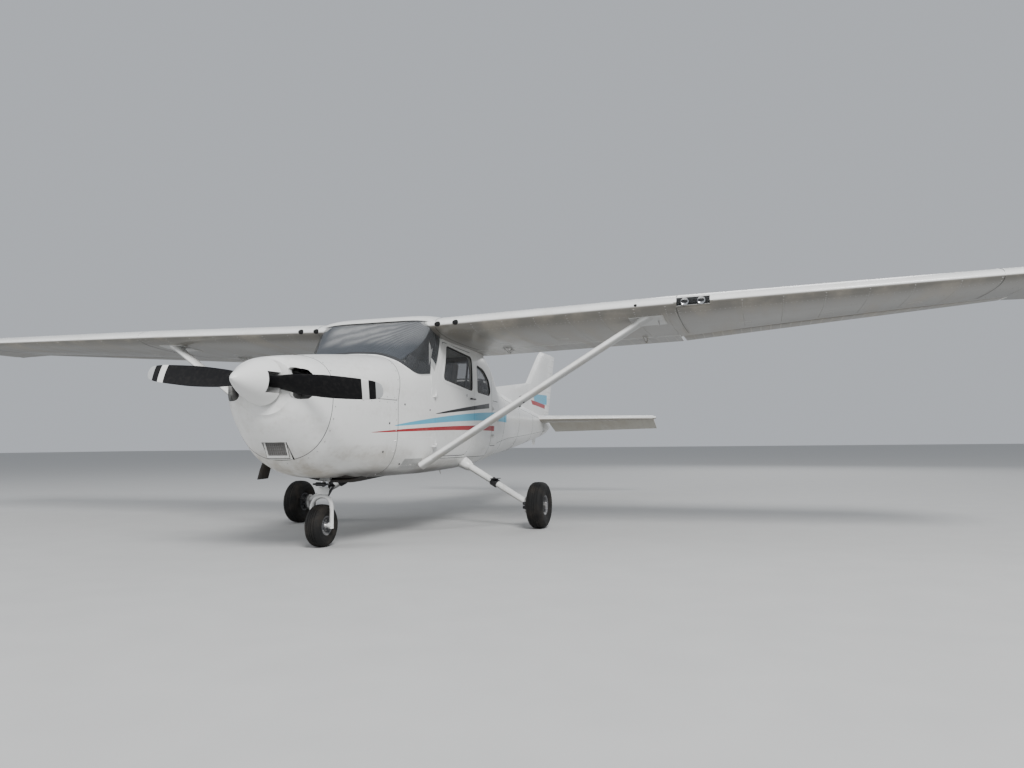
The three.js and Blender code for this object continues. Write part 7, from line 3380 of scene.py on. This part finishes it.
@dataclass
class Cushion:
    """A pad that swells by a cloth simulation from a slightly smaller shape."""

    fitter: Fitter
    voxel: float = 0.0085
    pressure: float = 4.0
    last: int = 20
    cap: float = 0.014
    edge: float = 0.9

    def build(
        self, name: str, corners: Sequence[Sequence[float]], half: float, x: float
    ) -> bpy.types.Object:
        """Makes one pad.

        Args:
            name: The piece's name.
            corners: Its outline, seen from the side, in rows of station, height and radius.
            half: Half its width.
            x: The place of its middle.

        Returns:
            The pad, not yet on a body.
        """
        inset = self.cap / INCH * 0.5
        outline = offset(rounded(corners, 5), -inset)
        half -= inset
        inner = offset(outline, -self.edge)
        rings = [(-half, inner), (-half + self.edge, outline), (half - self.edge, outline), (half, inner)]
        shape = loft([np.array([(x + dx, y, z) for y, z in ring]) for dx, ring in rings])
        made = self.fitter.object(name, shape.points, shape.faces, ["seat_cloth"])
        outward(made.data)
        self._swell(made)
        made.data.shade_smooth()
        return made

    def _swell(self, made: bpy.types.Object) -> None:
        """Remeshes the pad evenly, blows it up and caps how far it moves.

        Args:
            made: The pad.
        """
        grid = made.modifiers.new("grid", "REMESH")
        grid.mode = "VOXEL"
        grid.voxel_size = self.voxel
        self._apply(made)
        rest = self._places(made.data)
        cloth = made.modifiers.new("cloth", "CLOTH")
        cloth.settings.quality = 4
        cloth.settings.use_pressure = True
        cloth.settings.uniform_pressure_force = self.pressure
        cloth.settings.effector_weights.gravity = 0.0
        cloth.point_cache.frame_start = 1
        cloth.point_cache.frame_end = self.last
        for number in range(1, self.last + 1):
            bpy.context.scene.frame_set(number)
        self._apply(made)
        moved = self._places(made.data) - rest
        far = np.linalg.norm(moved, axis=1)
        moved *= np.minimum(1.0, self.cap / np.maximum(far, 1e-9))[:, None]
        made.data.vertices.foreach_set("co", (rest + moved).astype(np.float32).ravel())
        made.data.update()
        bpy.context.scene.frame_set(1)

    @staticmethod
    def _places(mesh: bpy.types.Mesh) -> np.ndarray:
        """Reads the places of a mesh's points.

        Args:
            mesh: The mesh.

        Returns:
            A row for each point.
        """
        out = np.zeros(len(mesh.vertices) * 3, np.float32)
        mesh.vertices.foreach_get("co", out)
        return out.reshape(-1, 3)

    @staticmethod
    def _apply(made: bpy.types.Object) -> None:
        """Makes the shape that the modifiers give the object's own mesh, and removes them.

        Args:
            made: The object.
        """
        depsgraph = bpy.context.evaluated_depsgraph_get()
        mesh = bpy.data.meshes.new_from_object(made.evaluated_get(depsgraph))
        made.modifiers.clear()
        made.data = mesh


@dataclass
class Interior:
    """What shows through the glass: the instrument panel, the controls, the seats and the belts."""

    fitter: Fitter
    seat_x: float = 10.4
    panel_face: float = 17.25
    seat_base: tuple[Point, ...] = (
        (36.6, 33.4, 1.6), (36.6, 39.8, 2.4), (56.6, 39.2, 2.0), (56.6, 33.4, 1.6)
    )
    seat_back: tuple[Point, ...] = (
        (52.2, 40.4, 1.4), (56.6, 39.4, 1.4), (62.0, 62.2, 2.0), (58.4, 63.0, 2.0)
    )
    bench_base: tuple[Point, ...] = (
        (73.2, 25.6, 1.4), (73.2, 38.0, 2.6), (87.6, 38.0, 1.2), (87.6, 25.6, 1.4)
    )
    bench_back: tuple[Point, ...] = (
        (88.4, 26.0, 1.0), (88.4, 38.6, 1.0), (92.4, 58.8, 1.6), (94.0, 58.4, 1.0), (94.0, 26.0, 0.8)
    )
    bench_half: float = 17.3
    belt_path: tuple[Point, ...] = (
        (20.0, 66.0, 66.0), (19.4, 65.0, 56.0), (18.6, 62.0, 45.0), (18.8, 58.5, 36.0)
    )
    radio_heights: tuple[float, ...] = (46.4, 48.6, 50.8)
    knobs: tuple[float, float] = (-0.6, 0.8)

    def build(self) -> None:
        """Makes the pieces inside the cabin."""
        made = Skin("instrument_panel", []).build(self.fitter, ["panel_grey"])
        self.fitter.fix(made, Body.AIRFRAME, "trim", ["instrument_panel"])
        for name, _ in SIDES:
            frame_piece = Skin(f"seat_frame_{name}", []).build(self.fitter, ["bare_steel"])
            self.fitter.fix(frame_piece, Body.AIRFRAME, "metal", [f"seat_frame_{name}"])
        self._seats()
        self._dials()
        self._belts()

    def _seats(self) -> None:
        """Makes the cushions of the two front seats and of the bench, with their piping."""
        cushion, bench_pad = Cushion(self.fitter), Cushion(self.fitter, voxel=0.0115)
        pads = []
        for part, corners, half in (("base", self.seat_base, 8.5), ("back", self.seat_back, 8.3)):
            left = cushion.build(f"seat_{part}_left", corners, half, self.seat_x)
            copy = left.data.copy()
            copy.transform(Matrix.Translation((-2 * self.seat_x * INCH, 0.0, 0.0)))
            right = bpy.data.objects.new(f"seat_{part}_right", copy)
            bpy.context.scene.collection.objects.link(right)
            pads += [(left, "seat_left"), (right, "seat_right")]
        for part, corners in (("base", self.bench_base), ("back", self.bench_back)):
            pads.append((bench_pad.build(f"bench_{part}", corners, self.bench_half, 0.0), "rear_seat"))
        for pad, node in pads:
            rounding = pad.modifiers.new("rounding", "SUBSURF")
            rounding.levels = 1
            rounding.render_levels = 1
            self.fitter.fix(pad, Body.AIRFRAME, "seat", [node])
            self._piping(pad)

    def _piping(self, pad: bpy.types.Object) -> None:
        """Sews a line of piping round each side of a pad, on its swollen surface.

        Args:
            pad: The pad.
        """
        low, high = np.min(pad.bound_box, axis=0), np.max(pad.bound_box, axis=0)
        middle, reach = (low + high) / 2, (high - low) / 2
        seams = []
        for way in (-0.8, 0.8):
            path = []
            for turn in full_turn(90):
                out = np.array([0.0, math.cos(turn), math.sin(turn)])
                start = middle + np.array([way * reach[0], 0.0, 0.0])
                hit, place, _, _ = pad.ray_cast(Vector(start), Vector(out))
                if hit:
                    path.append(inches(place))
            if len(path) > 20:
                path.append(path[0])
                seams.append(tube(path, 0.16, 8))
        if seams:
            name = f"{pad.name}_piping"
            self.fitter.add(name, joined(seams), "belt_webbing", Body.AIRFRAME, "seat", 60)

    def _dials(self) -> None:
        """Makes the instruments, switches and radios on the panel's rear face."""
        rings, faces, marks, boxes = [], [], [], []
        rim = [(1.45, 0.0), (1.75, 0.0), (1.75, 0.3), (1.5, 0.36), (1.45, 0.0)]
        spots = [(14.6 - 4.0 * i, 54.6 - 3.9 * j) for i in range(4) for j in range(2)]
        spots += [(-3.6, 54.8), (-7.4, 54.8)]
        face = self.panel_face
        for x, z in spots:
            centre = (x, face, z)
            rings.append(lathe(rim, centre, Y_AXIS, 28))
            faces.append(drum(1.5, 0.0, 0.12, centre, Y_AXIS, 28))
            for k in range(9):
                turn = math.radians(40 * k)
                c, s = math.cos(turn), math.sin(turn)
                ends = [(x + r * c, face + 0.14, z + r * s) for r in (1.05, 1.32)]
                marks.append(tube(ends, 0.05, 4))
            hand = (x + 0.9 * math.cos(x + z), face + 0.16, z + 0.9 * math.sin(x + z))
            marks.append(tube([(x, face + 0.16, z), hand], 0.05, 4))
        boxes += [block(-4.6, 1.8, face, face + 0.5, z, z + 1.9) for z in self.radio_heights]
        boxes += [block(x, x + 0.5, face, face + 0.7, 45.2, 46.2) for x in np.arange(6.0, 18.0, 1.3)]
        for x in self.knobs:
            stalk = [(x, face + out, 45.4) for out in (0.0, 2.4, 3.0)]
            boxes.append(tube(stalk, [0.2, 0.2, 0.55], 12))
        self.fitter.add("dial_rings", joined(rings), "black_enamel", Body.AIRFRAME, "trim", 30)
        self.fitter.add("dial_faces", joined(faces), "dial_face", Body.AIRFRAME, "trim", 30)
        self.fitter.add("dial_marks", joined(marks), "dial_mark", Body.AIRFRAME, "trim", 30)
        self.fitter.add(
            "radios_and_switches", joined(boxes), "black_plastic", Body.AIRFRAME, "trim", 30, bevel=0.04
        )

    def _belts(self) -> None:
        """Makes the shoulder belts that hang beside the door posts."""
        for name, side in SIDES:
            path = spaced(np.array(self.belt_path), 1.0, False)
            wide, thick = np.array([0.0, 0.95, -0.1]), np.array([0.06, 0.0, 0.0])
            edges = (path - wide - thick, path + wide - thick, path + wide + thick, path - wide + thick)
            strap = loft([np.array(ring) for ring in zip(*edges)]).on(side)
            self.fitter.add(f"shoulder_belt_{name}", strap, "belt_webbing", Body.AIRFRAME, "trim", 60)


@dataclass
class Studio:
    """The camera at the photograph's place, soft lights and a pale floor."""

    place: Point = (128.8, -214.3, 30.4)
    yaw: float = -17.99
    pitch: float = 4.49
    roll: float = -0.56
    focal_pixels: float = 770.6
    width_pixels: float = 1024.0
    sensor: float = 36.0
    lights: tuple[tuple[str, Point, Point, float, float], ...] = (
        ("key_light", (9.0, -14.0, 13.0), (0.0, -1.0, 1.0), 6.0, 4200.0),
        ("fill_light", (-13.0, -10.0, 7.0), (0.0, -1.0, 1.0), 9.0, 900.0),
        ("rear_light", (4.0, 15.0, 9.0), (0.0, 1.0, 1.0), 8.0, 600.0),
    )
    floor_reach: float = 160.0
    floor_drop: float = -0.0005
    surround: Colour = (0.80, 0.84, 0.90)
    surround_strength: float = 0.62

    def build(self) -> None:
        """Sets the scene."""
        self._camera()
        self._floor()
        self._world()
        for light in self.lights:
            self._area(*light)

    def _camera(self) -> None:
        """Makes the camera."""
        yaw, pitch, roll = (math.radians(v) for v in (self.yaw, self.pitch, self.roll))
        ahead = Vector((math.sin(yaw) * math.cos(pitch), math.cos(yaw) * math.cos(pitch), math.sin(pitch)))
        right = Vector((math.cos(yaw), -math.sin(yaw), 0.0))
        up = right.cross(ahead)
        turned_right = math.cos(roll) * right + math.sin(roll) * up
        turned_up = -math.sin(roll) * right + math.cos(roll) * up
        data = bpy.data.cameras.new("photo_camera")
        data.sensor_width = self.sensor
        data.sensor_fit = "HORIZONTAL"
        data.lens = self.focal_pixels / self.width_pixels * self.sensor
        data.clip_end = 400.0
        camera = bpy.data.objects.new("photo_camera", data)
        turn = Matrix((turned_right, turned_up, -ahead)).transposed()
        camera.matrix_world = Matrix.Translation(at(*self.place)) @ turn.to_4x4()
        bpy.context.scene.collection.objects.link(camera)
        bpy.context.scene.camera = camera

    def _floor(self) -> None:
        """Makes the floor, a large pale sheet under the wheels."""
        mesh = bpy.data.meshes.new("floor")
        reach, drop = self.floor_reach, self.floor_drop
        corners = [
            (-reach, -reach, drop), (reach, -reach, drop), (reach, reach, drop), (-reach, reach, drop)
        ]
        mesh.from_pydata(corners, [], [(0, 1, 2, 3)])
        shader = Shader("studio_floor")
        grain = shader.noise(3.0, 6.0)
        colour = shader.mix(grain, (0.44, 0.44, 0.435), (0.50, 0.50, 0.49))
        mesh.materials.append(shader.surface(Base_Color=colour, Roughness=0.85 + grain * 0.1))
        floor = bpy.data.objects.new("floor", mesh)
        bpy.context.scene.collection.objects.link(floor)

    def _world(self) -> None:
        """Makes an even pale surround."""
        world = bpy.data.worlds.new("studio_surround")
        world.use_nodes = True
        background = world.node_tree.nodes["Background"]
        background.inputs["Color"].default_value = (*self.surround, 1.0)
        background.inputs["Strength"].default_value = self.surround_strength
        bpy.context.scene.world = world

    @staticmethod
    def _area(name: str, place: Point, target: Point, size: float, power: float) -> None:
        """Makes a square soft light that faces a target.

        Args:
            name: Its name.
            place: Its place in metres.
            target: The place that it faces.
            size: Its side in metres.
            power: Its power in watts.
        """
        data = bpy.data.lights.new(name, "AREA")
        data.size = size
        data.energy = power
        light = bpy.data.objects.new(name, data)
        light.location = place
        way = Vector(target) - Vector(place)
        light.rotation_euler = way.to_track_quat("-Z", "Y").to_euler()
        bpy.context.scene.collection.objects.link(light)


def main() -> None:
    """Builds the aircraft, one sub-assembly after another."""
    logging.basicConfig(level=logging.INFO, format="%(name)s: %(message)s")
    Studio().build()
    fitter = Fitter(Palette())
    for assembly in (
        Fuselage(fitter),
        Windshield(fitter),
        Wings(fitter),
        Tail(fitter),
        Undercarriage(fitter),
        PowerPlant(fitter),
        Glazing(fitter),
        Trim(fitter),
        Riveting(fitter),
        CabinTop(fitter),
        Interior(fitter),
    ):
        log.info("building %s", type(assembly).__name__)
        assembly.build()


if __name__ == "__main__":
    main()
